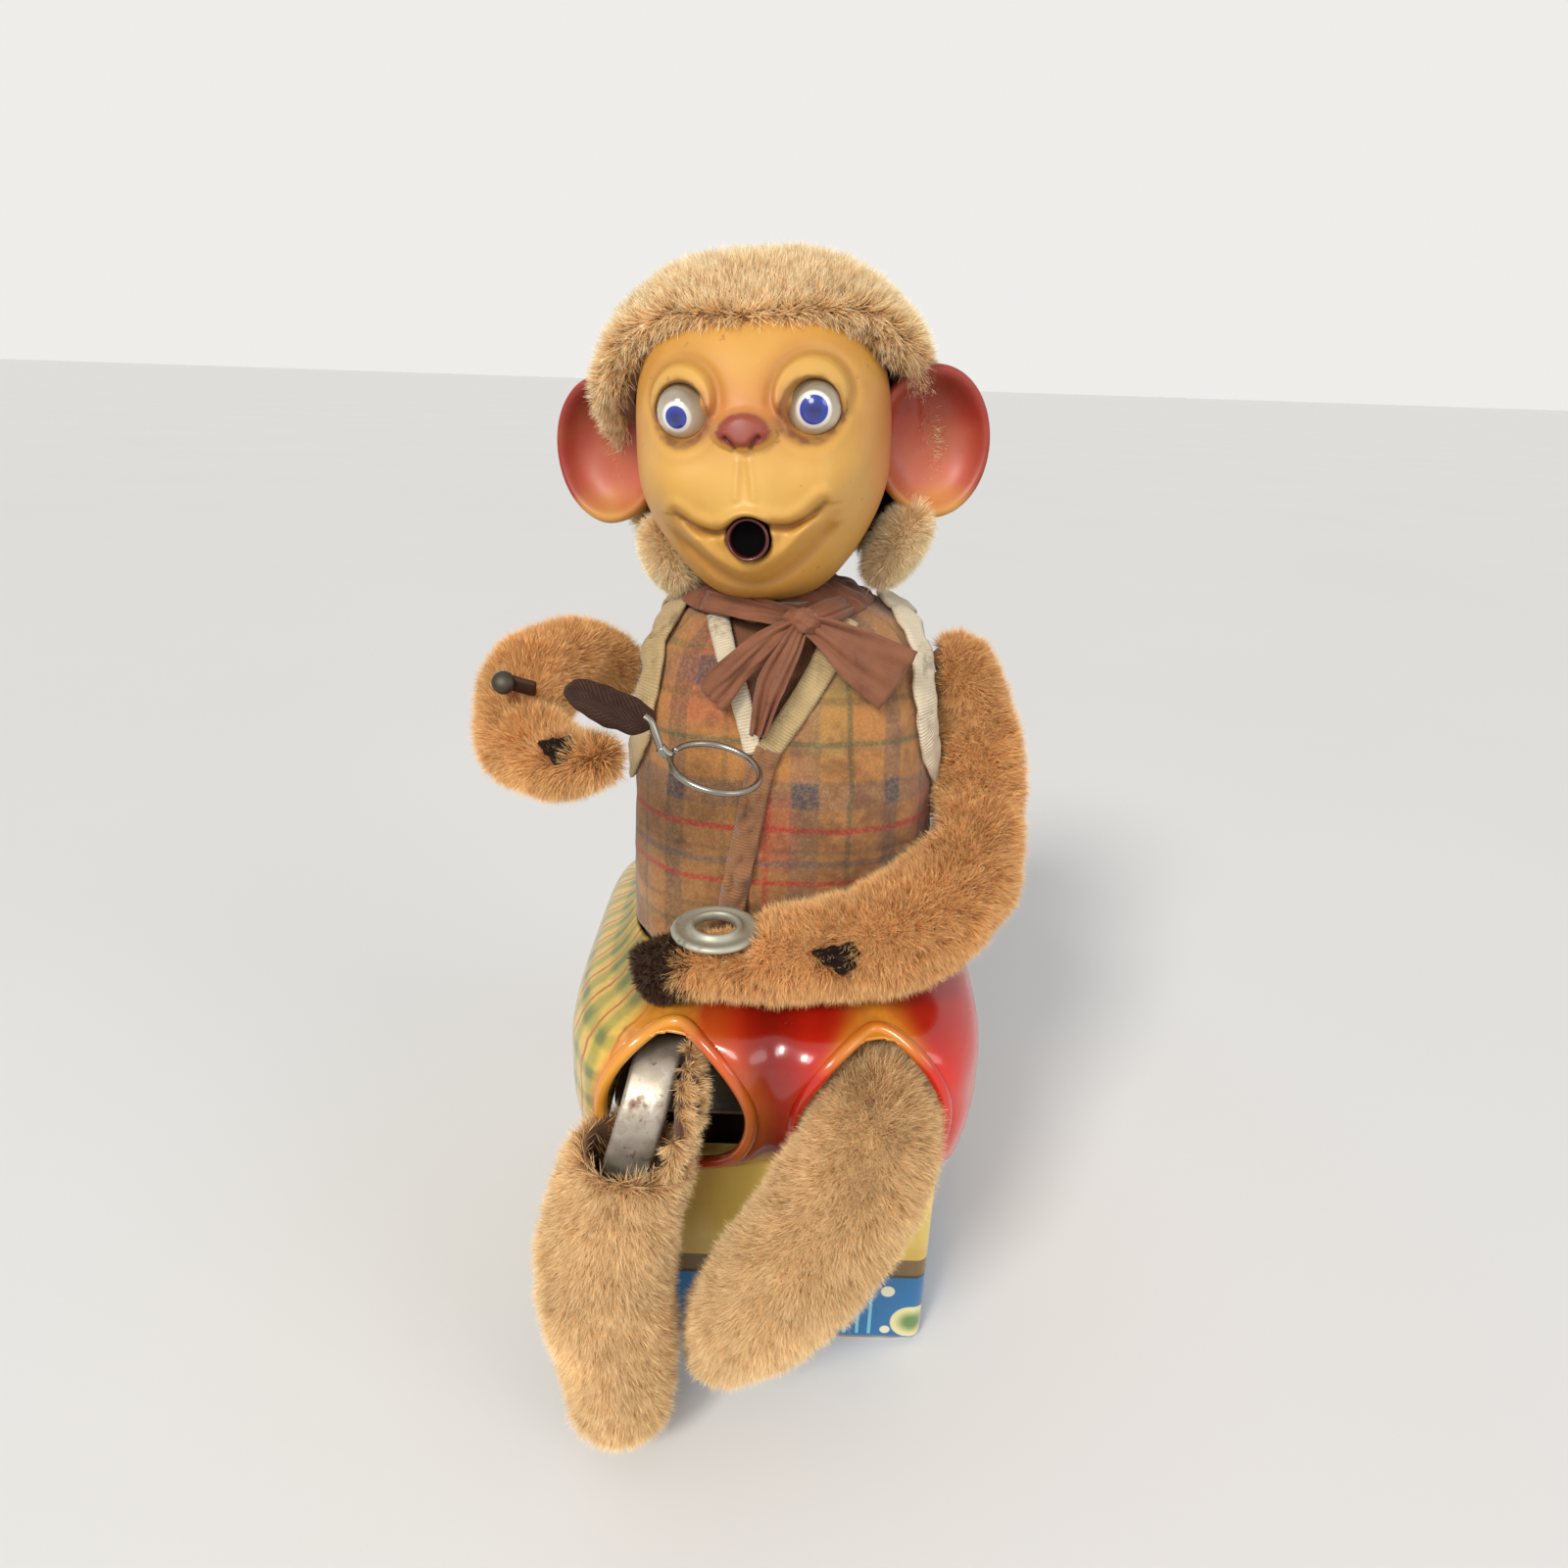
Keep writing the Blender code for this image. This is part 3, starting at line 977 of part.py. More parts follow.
def face_point(direction):
    place = direction * rounded_radius(direction, FACE_WIDTH, FACE_DEPTH, FACE_ABOVE, FACE_BELOW, 2.4)
    share = min(1.0, max(0.0, -place.y / (12 * MM)))
    return Vector((place.x, place.y - face_relief(place.x, place.z) * share, place.z))


def cap_surface(name, pole, edge_angle, point_at, around, along, finish):
    """An open cap of rings round the Y axis, from a pole at the front (-1) or rear (1) to its edge."""
    work = bmesh.new()
    layers = []
    for k in range(1, along + 1):
        layer = []
        for i in range(around):
            turn = 2 * math.pi * i / around
            tilt = edge_angle(turn) * k / along
            out = math.sin(tilt)
            direction = Vector((out * math.sin(turn), pole * math.cos(tilt), out * math.cos(turn)))
            layer.append(work.verts.new(point_at(direction)))
        layers.append(layer)
    tip = work.verts.new(point_at(Vector((0, pole, 0))))
    faces = []
    for i in range(around):
        j = (i + 1) % around
        faces.append(work.faces.new((tip, layers[0][i], layers[0][j])))
        for low, high in zip(layers, layers[1:]):
            faces.append(work.faces.new((low[i], high[i], high[j], low[j])))
    if pole < 0:
        bmesh.ops.reverse_faces(work, faces=faces)
    return add_object(name, mesh_from_bmesh(name, work), finish, HEAD)


def eye_place(side):
    return HEAD @ at(side * EYE_X, EYE_Y, EYE_Z)


def mask_edge(turn):
    """Polar angle of the mask's rim: past the ears at the sides, but short of the neck under the chin."""
    return math.radians(78 + 16 * math.cos(turn) + 4 * math.sin(turn) ** 2)


face_mask = cap_surface("face_mask", -1, mask_edge, face_point, 22, 10, "vinyl")
wall = face_mask.modifiers.new("wall", "SOLIDIFY")
wall.thickness = MASK_THICKNESS
wall.offset = -1
ear_cutters = []
EAR_TURN = math.radians(14)
EAR_RIM = 2.2 * MM
EAR_ROOM = 0.8 * MM
ear_sizes = Vector((EAR_HALF_WIDTH, EAR_HALF_DEPTH, EAR_HALF_HEIGHT))
cup_sizes = Vector((EAR_HALF_WIDTH - EAR_RIM, EAR_HALF_DEPTH + 1.5 * MM, EAR_HALF_HEIGHT - EAR_RIM))
for side, tag in ((-1, "right"), (1, "left")):
    ear_place = HEAD @ at(side * EAR_X, MM, EAR_Z) @ Matrix.Rotation(side * EAR_TURN, 4, "Z")
    ear = ellipsoid("ear_" + tag, ear_sizes, ear_place, None, 12)
    cup_place = ear_place @ at(side * 0.6 * MM, -EAR_HALF_DEPTH, 0)
    cut(ear, ellipsoid("ear_cup_" + tag, cup_sizes, cup_place, None, 12))
    join(face_mask, ear)
    room = Vector((EAR_ROOM, EAR_ROOM, EAR_ROOM))
    ear_cutters.append(ellipsoid("ear_room_" + tag, ear_sizes + room, ear_place, None, 12))
for side, tag in ((-1, "right"), (1, "left")):
    cut(face_mask, ellipsoid("eye_hole_" + tag, [EYE_RADIUS + GAP] * 3, eye_place(side), None, 16))
mouth_hole_place = HEAD @ facing_y(0, -1.2 * FACE_DEPTH, MOUTH_Z)
mouth_hole = cylinder("mouth_hole", MOUTH_RADIUS + GAP, 2 * FACE_DEPTH, mouth_hole_place, None, 20)
cut(face_mask, mouth_hole)


def eye_cap(name, side):
    profile = []
    for i in range(6):
        angle = math.radians(90 - 100 * i / 5)
        profile.append((EYE_RADIUS * math.cos(angle), EYE_RADIUS * math.sin(angle)))
    inner = EYE_RADIUS - TIN
    for i in range(6):
        angle = math.radians(-10 + 100 * i / 5)
        profile.append((inner * math.cos(angle), inner * math.sin(angle)))
    profile[0] = (0, EYE_RADIUS)
    profile[-1] = (0, inner)
    place = eye_place(side) @ Matrix.Rotation(math.radians(90), 4, "X")
    return turned(name, profile, place, "eye_plastic", False, 14)


eye_right = eye_cap("eye_right", -1)
eye_left = eye_cap("eye_left", 1)
EYELET_FRONT = -39.0 * MM
EYELET_LENGTH = 8 * MM
eyelet_profile = tube_profile(MOUTH_RADIUS, MOUTH_RADIUS - 0.5 * MM, -EYELET_LENGTH / 2, EYELET_LENGTH / 2)
eyelet_place = HEAD @ facing_y(0, EYELET_FRONT + EYELET_LENGTH / 2, MOUTH_Z)
mouth_eyelet = turned("mouth_eyelet", eyelet_profile, eyelet_place, "brass", True, 20)

HOOD_EDGE = ((0, 37), (50, 44), (90, 53), (120, 68), (150, 95), (180, 122))


def hood_edge(turn):
    """Polar angle of the hood's front edge, measured from the rear."""
    around = math.degrees(turn)
    around = min(around, 360 - around)
    for (low, a), (high, b) in zip(HOOD_EDGE, HOOD_EDGE[1:]):
        if around <= high:
            return math.pi - math.radians(a + (b - a) * (around - low) / (high - low))
    return math.pi / 2


def hood_point(direction):
    return direction * rounded_radius(direction, HOOD_WIDTH, HOOD_DEPTH, HOOD_ABOVE, HOOD_BELOW, 2.3)


head_hood = cap_surface("head_hood", 1, hood_edge, hood_point, 20, 8, "pale_plush")
wall = head_hood.modifiers.new("pile", "SOLIDIFY")
wall.thickness = HOOD_THICKNESS
wall.offset = -1
for clearance in ear_cutters:
    cut(head_hood, clearance)

STEM_BOTTOM = TORSO_TOP - 4 * MM
PLATE_Z = HEAD_CENTRE.z - 22.5 * MM
STEM_TOP = PLATE_Z - GAP
stem_profile = tube_profile(NECK_RADIUS, NECK_RADIUS - TIN, STEM_BOTTOM, STEM_TOP)
head_stem = turned("head_stem", stem_profile, at(NECK_X, NECK_Y, 0), "plain_tin", True, 24)


def skull_outline(extra=0.0):
    ring = section(20.5 * MM + extra, 17 * MM + extra, 21.5 * MM + extra, 2.4, 0, 0, 360, 29)[:-1]
    return [(p.x, p.y) for p in ring]


plate_middle = at(HEAD_CENTRE.x, NECK_Y, PLATE_Z + TIN / 2)
plate_hole = circle(NECK_RADIUS - TIN, (NECK_X - HEAD_CENTRE.x, 0), 20)
skull_plate = plate("skull_plate", [skull_outline(), plate_hole], TIN, plate_middle, "plain_tin")
cut(head_hood, as_mesh(plate("plate_room", [skull_outline(GAP)], TIN + 2 * GAP, plate_middle)))
mouth_route = [HEAD @ Vector((0, EYELET_FRONT + 4 * MM, MOUTH_Z)),
               HEAD @ Vector((0, -24 * MM, MOUTH_Z)),
               Vector((NECK_X - MM, NECK_Y - 9 * MM, PLATE_Z + 6 * MM)),
               Vector((NECK_X, NECK_Y - 3.5 * MM, PLATE_Z + 3 * MM)),
               Vector((NECK_X, NECK_Y, PLATE_Z - 4 * MM)),
               Vector((NECK_X, NECK_Y, TUBE_END_Z + 3 * MM)),
               Vector((NECK_X, NECK_Y, TUBE_END_Z + GAP))]
mouth_tube = hose("mouth_tube", mouth_route, AIR_TUBE_RADIUS, AIR_TUBE_WALL, "rubber_tube", (1, 0, 0))
COLLAR_RADIUS = NECK_RADIUS + 1.2 * MM
COLLAR_BORE = NECK_RADIUS + 2 * RUNNING
FLANGE_RADIUS = NECK_HOLE_X - NECK_X + MM
flange_low = TORSO_TOP + GAP
COLLAR_TOP = flange_low + TIN
COLLAR_BOTTOM = TORSO_TOP - 4.5 * MM
collar_profile = [(FLANGE_RADIUS, COLLAR_TOP), (FLANGE_RADIUS, flange_low), (COLLAR_RADIUS, flange_low),
                  (COLLAR_RADIUS, COLLAR_BOTTOM), (COLLAR_BORE, COLLAR_BOTTOM), (COLLAR_BORE, COLLAR_TOP)]
neck_collar = turned("neck_collar", collar_profile, at(NECK_X, NECK_Y, 0), "plain_tin", True, 24)

# Ribbon round the neck, tied in front
RIBBON_THICKNESS = 1.8 * MM
ribbon_inner = NECK_RADIUS + GAP + 2 * RUNNING
RIBBON_HEIGHT = 3.5 * MM
ribbon_outer = ribbon_inner + RIBBON_THICKNESS
ribbon_profile = tube_profile(ribbon_outer, ribbon_inner, COLLAR_TOP + GAP, COLLAR_TOP + RIBBON_HEIGHT)
neck_ribbon = turned("neck_ribbon", ribbon_profile, at(NECK_X, NECK_Y, 0), "ribbon", True, 24)
knot = (2.5 * MM, -27.5 * MM, TORSO_TOP)
neck_bow = ellipsoid("neck_bow", (4 * MM, 2.6 * MM, 3 * MM), at(*knot), "ribbon", 14)
tail_ends = (("long", (23 * MM, -27.5 * MM, TORSO_TOP - 12.5 * MM), 6.0 * MM),
             ("short", (-14 * MM, -31 * MM, TORSO_TOP - 13.5 * MM), 4.5 * MM),
             ("middle", (-3 * MM, -33.2 * MM, TORSO_TOP - 18.5 * MM), 3.2 * MM))
for tag, end, half_width in tail_ends:
    start = Vector(knot)
    along = Vector(end) - start
    across = along.cross(Vector((0, 1, 0))).normalized()
    thick = Vector((0, 0.8 * MM, 0))
    rings = []
    for share, width in ((0.0, 1.6 * MM), (0.5, half_width * 0.75), (1.0, half_width)):
        centre = start + along * share
        rings.append([centre + across * width + thick, centre - across * width + thick,
                      centre - across * width - thick, centre + across * width - thick])
    join(neck_bow, skin_rings("bow_tail_" + tag, rings, False, None))

# What moves is carried by empties on the joints' axes
right_arm = pivot("right_arm_axis", (0, SHAFT_Y, SHOULDER_Z))
carry(right_arm, arm_shaft, arm_lever, right_arm_strip, right_arm_plush, right_hand_pad, wand)
link_axis = pivot("crank_link_axis", (LINK_X, SHAFT_Y + LEVER_LENGTH, SHOULDER_Z))
carry(link_axis, crank_link)
head_axis = pivot("head_axis", (NECK_X, NECK_Y, TORSO_TOP))
carry(head_axis, face_mask, head_hood, head_stem, skull_plate, eye_right, eye_left, mouth_eyelet, mouth_tube)
rotor_axis = pivot("rotor_axis", (0, TRAIN_Y, MOTOR_Z))
carry(rotor_axis, motor_shaft, motor_pinion, impeller)
for name, wheel, z in (("first_axis", first_gear, FIRST_Z), ("second_axis", second_gear, SECOND_Z),
                       ("crank_axis", crank_wheel, CRANK_Z)):
    carry(pivot(name, (0, TRAIN_Y, z)), wheel)
door_axis = pivot("door_axis", (0, HINGE_Y, HINGE_Z))
carry(door_axis, battery_door, bridge_contact)
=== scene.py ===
"""Looks of the seated plush monkey that blows soap bubbles, on its printed tin box.

Lengths are in millimetres and MM turns them into metres. The figure faces -Y, and +X is its own left.
"""
import math

import bmesh
import bpy
import numpy as np
from mathutils import Matrix, Vector, kdtree, noise


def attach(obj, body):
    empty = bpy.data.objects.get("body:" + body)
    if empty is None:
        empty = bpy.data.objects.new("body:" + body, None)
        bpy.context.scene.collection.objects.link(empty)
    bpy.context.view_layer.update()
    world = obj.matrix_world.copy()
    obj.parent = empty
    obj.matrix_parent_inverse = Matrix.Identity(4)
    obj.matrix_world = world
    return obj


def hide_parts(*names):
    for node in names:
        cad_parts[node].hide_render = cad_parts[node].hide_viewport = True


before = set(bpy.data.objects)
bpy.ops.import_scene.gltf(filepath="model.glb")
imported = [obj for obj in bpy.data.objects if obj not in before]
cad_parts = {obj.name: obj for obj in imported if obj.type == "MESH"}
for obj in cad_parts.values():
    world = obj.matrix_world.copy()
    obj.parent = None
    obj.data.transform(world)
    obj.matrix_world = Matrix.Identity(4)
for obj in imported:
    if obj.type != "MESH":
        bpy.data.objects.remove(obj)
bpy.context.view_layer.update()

MM = 0.001
scene = bpy.context.scene


def spin(degrees, axis):
    return Matrix.Rotation(math.radians(degrees), 4, axis)


# Places and sizes that the solids use too, in millimetres; the head, eyes and mouth in the head's own frame
NECK = np.array((-3.0, -2.0))
HEAD = Matrix.Translation((-6, -2, 219)) @ spin(-5, "Z") @ spin(-3.5, "Y")
EYE = (11.9, -28.4, 4.2)
EYE_RADIUS = 5.15
MOUTH_Z = -18.0
MOUTH_RADIUS = 3.9
CUP = (-13.0, -46.5, 123.0)
LEFT_HOLE = (12.0, -55.6, 123.4)
RIGHT_HOLE = (-40.2, -59.6, 166.6)
BOX_MIDDLE = (0, 0.5, 29.5)
BOX_SIZE = (79, 81, 59)
BOX_LENGTH = 314.5
TIN_WALL = 0.6
# Points nearer than this, in metres, are merged
MERGE = 0.00001
SIDES = ((-1, "right"), (1, "left"))


# Materials: a few short helpers, then one function for each finish

def srgb(red, green, blue):
    """A colour as it shows on a screen, 0 to 255, in the linear values that the shader takes."""
    shares = [value / 255 for value in (red, green, blue)]
    return tuple(s / 12.92 if s <= 0.04045 else ((s + 0.055) / 1.055) ** 2.4 for s in shares)


class Nodes:
    """Adds and links the nodes of one material or node group."""

    def __init__(self, tree):
        self.tree = tree

    def feed(self, target, value):
        if isinstance(value, bpy.types.NodeSocket):
            self.tree.links.new(value, target)
        elif hasattr(value, "__len__") and len(value) == 3 and len(target.default_value) == 4:
            target.default_value = (*value, 1.0)
        else:
            target.default_value = value

    def add(self, kind, inputs=(), **settings):
        node = self.tree.nodes.new(kind)
        for key, value in settings.items():
            setattr(node, key, value)
        for key, value in dict(inputs).items():
            self.feed(node.inputs[key], value)
        return node

    def place(self):
        return self.add("ShaderNodeTexCoord").outputs["Object"]

    def split(self, vector):
        return self.add("ShaderNodeSeparateXYZ", {0: vector}).outputs

    def math(self, operation, first, second=0.0, clamp=False):
        node = self.add("ShaderNodeMath", {0: first, 1: second}, operation=operation, use_clamp=clamp)
        return node.outputs[0]

    def times(self, first, second, clamp=False):
        return self.math("MULTIPLY", first, second, clamp)

    def plus(self, first, second, clamp=False):
        return self.math("ADD", first, second, clamp)

    def minus(self, first, second, clamp=False):
        return self.math("SUBTRACT", first, second, clamp)

    def rest(self, value, clamp=False):
        """What a share leaves of 1."""
        return self.math("SUBTRACT", 1.0, value, clamp)

    def most(self, first, second):
        return self.math("MAXIMUM", first, second)

    def absolute(self, value):
        return self.math("ABSOLUTE", value)

    def reach(self, across, up):
        """How far a place is from the middle, from its two distances."""
        return self.math("SQRT", self.plus(self.math("POWER", across, 2.0), self.math("POWER", up, 2.0)))

    def mix(self, factor, first, second, blend="MIX"):
        node = self.add("ShaderNodeMix", {0: factor, 6: first, 7: second}, data_type="RGBA", blend_type=blend)
        return node.outputs[2]

    def noise(self, scale, detail=3.0, roughness=0.55, vector=None):
        inputs = {"Scale": scale, "Detail": detail, "Roughness": roughness,
                  "Vector": vector if vector is not None else self.place()}
        return self.add("ShaderNodeTexNoise", inputs).outputs[0]

    def stretched(self, scales):
        """Object coordinates drawn out along an axis, for scratches."""
        return self.add("ShaderNodeMapping", {"Vector": self.place(), "Scale": scales}).outputs[0]

    def rise(self, value, low, high):
        """0 below low, 1 above high, with a soft step between."""
        inputs = {"Value": value, "From Min": low, "From Max": high}
        return self.add("ShaderNodeMapRange", inputs, interpolation_type="SMOOTHSTEP").outputs[0]

    def band(self, value, middle, half, soft):
        """1 within a band round a middle value, fading over a soft edge."""
        away = self.absolute(self.minus(value, middle))
        return self.rest(self.rise(away, half - soft, half + soft), clamp=True)

    def bump(self, height, strength, distance):
        inputs = {"Height": height, "Strength": strength, "Distance": distance}
        return self.add("ShaderNodeBump", inputs).outputs[0]

    def attribute(self, name):
        return self.add("ShaderNodeAttribute", attribute_name=name).outputs["Color"]

    def channels(self, colour):
        """The three channels of a colour, on their own."""
        return self.add("ShaderNodeSeparateColor", {0: colour}).outputs

    def map(self, name):
        """The two directions of one of the piece's own UV maps."""
        return self.split(self.add("ShaderNodeUVMap", uv_map=name).outputs[0])

    def use(self, group, **values):
        node = self.add("ShaderNodeGroup", node_tree=group)
        for key, value in values.items():
            self.feed(node.inputs[key], value)
        return node.outputs


def finish(name, build, **fixed):
    """A material: build(nodes) gives the linked sockets, and the fixed values go straight on the shader."""
    material = bpy.data.materials.new(name)
    material.use_nodes = True
    shader = material.node_tree.nodes["Principled BSDF"]
    nodes = Nodes(material.node_tree)
    for key, value in fixed.items():
        shader.inputs[key.replace("_", " ")].default_value = value
    for key, value in build(nodes).items():
        nodes.feed(shader.inputs[key], value)
    return material


def make_group(name, inputs, outputs, build):
    """A node group of masks and heights; build(nodes, input sockets) gives its outputs by name."""
    tree = bpy.data.node_groups.new(name, "ShaderNodeTree")
    for label, default in inputs.items():
        socket = tree.interface.new_socket(name=label, in_out="INPUT", socket_type="NodeSocketFloat")
        socket.default_value = default
    for label in outputs:
        tree.interface.new_socket(name=label, in_out="OUTPUT", socket_type="NodeSocketFloat")
    nodes = Nodes(tree)
    entry = nodes.add("NodeGroupInput")
    leave = nodes.add("NodeGroupOutput")
    for label, socket in build(nodes, entry.outputs).items():
        nodes.feed(leave.inputs[label], socket)
    return tree


def grime_nodes(nodes, given):
    cloudy = nodes.noise(given["Scale"], 5.0, 0.65)
    speckled = nodes.noise(nodes.times(given["Scale"], 7.0), 2.0, 0.6)
    both = nodes.plus(cloudy, nodes.times(nodes.minus(speckled, 0.5), 0.35))
    low = nodes.minus(0.78, nodes.times(given["Amount"], 0.4))
    return {"Mask": nodes.rise(both, low, nodes.plus(low, 0.22))}


def scuff_nodes(nodes, given):
    long = nodes.noise(given["Scale"], 2.0, 0.5, nodes.stretched((1.0, 1.0, 0.12)))
    cross = nodes.noise(nodes.times(given["Scale"], 1.3), 2.0, 0.5, nodes.stretched((0.1, 1.0, 1.0)))
    most = nodes.most(long, cross)
    low = nodes.minus(0.86, nodes.times(given["Amount"], 0.3))
    return {"Mask": nodes.rise(most, low, nodes.plus(low, 0.05))}


def weave_nodes(nodes, given):
    """Threads over and under, on the piece's own cloth UV map, in threads per centimetre."""
    cloth = nodes.map("cloth")
    u, v = (nodes.math("SINE", nodes.times(nodes.times(cloth[k], given["Threads"]), 2 * math.pi))
            for k in (0, 1))
    return {"Height": nodes.plus(0.5, nodes.times(nodes.times(u, v), 0.5))}


GRIME = make_group("grime_and_shade", {"Scale": 60.0, "Amount": 0.5}, ["Mask"], grime_nodes)
SCUFFS = make_group("scuffs", {"Scale": 300.0, "Amount": 0.3}, ["Mask"], scuff_nodes)
WEAVE = make_group("weave", {"Threads": 14.0}, ["Height"], weave_nodes)


def dirty(nodes, colour, dirt, scale, amount, strength=0.6):
    mask = nodes.use(GRIME, Scale=scale, Amount=amount)["Mask"]
    return nodes.mix(nodes.times(mask, strength), colour, dirt)


# The box's print in millimetres: stripes across, dots as (across, height, radius), and the bands' tops
BOX_STRIPES = (20.2, 23.4, 26.5)
BOX_PERIOD = BOX_LENGTH / 10
BOX_DOTS = ((16.5, 17.4, 1.65), (30.6, 17.4, 1.75), (14.2, 6.2, 1.9), (30.6, 4.4, 1.3))
BLUE_TOP = 22.4
BROWN_TOP = 28.0


def printed_box(nodes):
    """Yellow panels over a brown line and a blue band with stripes and dots, on the wrap UV map."""
    around, up = nodes.map("wrap")[:2]
    shift = BOX_STRIPES[1] - BOX_PERIOD / 2
    local = nodes.math("FLOORED_MODULO", nodes.minus(around, shift), BOX_PERIOD)
    stripes = None
    for middle in BOX_STRIPES:
        stripe = nodes.band(local, (middle - shift) % BOX_PERIOD, 0.42, 0.12)
        stripes = stripe if stripes is None else nodes.most(stripes, stripe)
    stripes = nodes.times(stripes, nodes.band(up, 12.4, 9.6, 0.2))
    dots = None
    for middle, height, radius in BOX_DOTS:
        across = nodes.minus(local, (middle - shift) % BOX_PERIOD)
        rise = nodes.minus(up, height)
        reach = nodes.reach(nodes.absolute(across), nodes.absolute(rise))
        dot = nodes.rest(nodes.rise(reach, radius - 0.15, radius + 0.15))
        dots = dot if dots is None else nodes.most(dots, dot)
    folded = nodes.absolute(nodes.minus(nodes.absolute(around), 78.0))
    aside = nodes.absolute(nodes.minus(folded, 41.0))
    above = nodes.absolute(nodes.minus(up, 7.2))
    spot = nodes.reach(aside, above)
    big = nodes.rest(nodes.rise(spot, 5.0, 5.4))
    blue = nodes.mix(nodes.noise(45.0), srgb(12, 92, 150), srgb(28, 122, 178))
    blue = nodes.mix(stripes, blue, srgb(126, 196, 214))
    blue = nodes.mix(dots, blue, srgb(236, 228, 196))
    pale = nodes.mix(nodes.rise(spot, 1.2, 4.6), srgb(104, 140, 74), srgb(232, 222, 160))
    blue = nodes.mix(big, blue, pale)
    yellow = nodes.mix(nodes.noise(28.0, 2.0), srgb(232, 196, 92), srgb(246, 216, 118))
    shade = nodes.rest(nodes.rise(up, 28.5, 36.0), clamp=True)
    yellow = nodes.mix(nodes.times(shade, 0.5), yellow, srgb(206, 160, 60))
    brown = nodes.mix(nodes.noise(90.0), srgb(96, 74, 40), srgb(142, 112, 62))
    colour = nodes.mix(nodes.rise(up, BLUE_TOP - 0.15, BLUE_TOP + 0.15), blue, brown)
    line = nodes.band(up, BLUE_TOP + 0.1, 0.5, 0.2)
    colour = nodes.mix(line, colour, srgb(60, 56, 40))
    colour = nodes.mix(nodes.rise(up, BROWN_TOP - 0.2, BROWN_TOP + 0.2), colour, yellow)
    colour = dirty(nodes, colour, srgb(120, 84, 40), 55.0, 0.45, 0.35)
    scuffs = nodes.use(SCUFFS, Scale=260.0, Amount=0.22)["Mask"]
    foot = nodes.times(nodes.rest(nodes.rise(up, 0.2, 1.4), clamp=True),
                      nodes.rise(nodes.noise(220.0), 0.45, 0.6))
    bare = nodes.most(nodes.times(scuffs, 0.7), foot)
    colour = nodes.mix(bare, colour, srgb(150, 146, 138))
    rough = nodes.plus(0.22, nodes.times(nodes.noise(120.0), 0.2))
    return {"Base Color": colour, "Roughness": rough, "Metallic": nodes.times(bare, 0.7),
            "Normal": nodes.bump(nodes.noise(160.0, 2.0), 0.12, 0.0004)}


# The check's repeat on the pants, in millimetres
PANTS_PERIOD = 8.2


def printed_pants(nodes):
    """Glossy red, with a printed olive and yellow check over the right thigh, orange hems, a painted highlight
    on the top of the left leg hole's hem and painted shade between the legs and towards the waist.
    """
    x, z = nodes.map("wrap")[:2]
    check, hem_and_highlight, shade = nodes.channels(nodes.attribute("paint"))
    red = nodes.mix(nodes.noise(35.0), srgb(196, 22, 10), srgb(222, 44, 18))
    # Painted shade: darker red between the legs and towards the waist
    red = nodes.mix(shade, red, srgb(104, 10, 6))
    wobble = nodes.times(nodes.minus(nodes.noise(140.0), 0.5), 3.0)
    warp, weft = (nodes.math("FLOORED_MODULO", nodes.plus(way, wobble), PANTS_PERIOD) for way in (x, z))
    green = nodes.most(nodes.band(warp, 4.1, 1.6, 1.0), nodes.band(weft, 4.1, 1.5, 1.0))
    cross = nodes.times(nodes.band(warp, 4.1, 1.6, 1.0), nodes.band(weft, 4.1, 1.5, 1.0))
    ground = nodes.mix(nodes.noise(500.0, 2.0), srgb(204, 164, 62), srgb(226, 194, 96))
    plaid = nodes.mix(nodes.times(green, 0.62), ground, srgb(132, 138, 48))
    plaid = nodes.mix(nodes.times(cross, 0.75), plaid, srgb(74, 100, 52))
    plaid = nodes.mix(nodes.band(warp, 0.8, 0.4, 0.3), plaid, srgb(186, 96, 40))
    colour = nodes.mix(check, red, plaid)
    golden = nodes.mix(nodes.noise(90.0), srgb(214, 134, 36), srgb(232, 166, 60))
    # Golden hems, and on the left leg hole's top a painted highlight
    colour = nodes.mix(hem_and_highlight, colour, golden)
    colour = dirty(nodes, colour, srgb(64, 22, 12), 70.0, 0.4, 0.45)
    scuffs = nodes.use(SCUFFS, Scale=240.0, Amount=0.2)["Mask"]
    colour = nodes.mix(nodes.times(scuffs, 0.55), colour, srgb(170, 150, 132))
    rough = nodes.plus(0.16, nodes.times(nodes.noise(150.0), 0.16))
    bump = nodes.bump(nodes.noise(140.0, 2.0), 0.1, 0.0005)
    return {"Base Color": colour, "Roughness": rough, "Normal": bump}


def bare_tin(rust):
    """Dull plated tin or strip steel with stains, spangle and some rust."""
    def build(nodes):
        spangle = nodes.add("ShaderNodeTexVoronoi", {"Vector": nodes.place(), "Scale": 420.0})
        tone = nodes.channels(spangle.outputs["Color"])[0]
        colour = nodes.mix(nodes.times(tone, 0.6), srgb(176, 166, 150), srgb(206, 198, 184))
        colour = nodes.mix(nodes.rise(nodes.noise(130.0), 0.35, 0.7), colour, srgb(158, 146, 128))
        rusty = nodes.use(GRIME, Scale=85.0, Amount=rust)["Mask"]
        brown = nodes.mix(nodes.noise(400.0), srgb(92, 48, 24), srgb(150, 88, 44))
        colour = nodes.mix(nodes.times(rusty, 0.8), colour, brown)
        pits = nodes.rise(nodes.noise(700.0, 3.0), 0.62, 0.7)
        colour = nodes.mix(nodes.times(pits, 0.5), colour, srgb(70, 54, 40))
        rough = nodes.plus(0.42, nodes.times(rusty, 0.4))
        return {"Base Color": colour, "Roughness": rough,
                "Metallic": nodes.minus(0.62, nodes.times(rusty, 0.6), clamp=True),
                "Normal": nodes.bump(nodes.noise(500.0, 4.0), 0.3, 0.0002)}
    return build


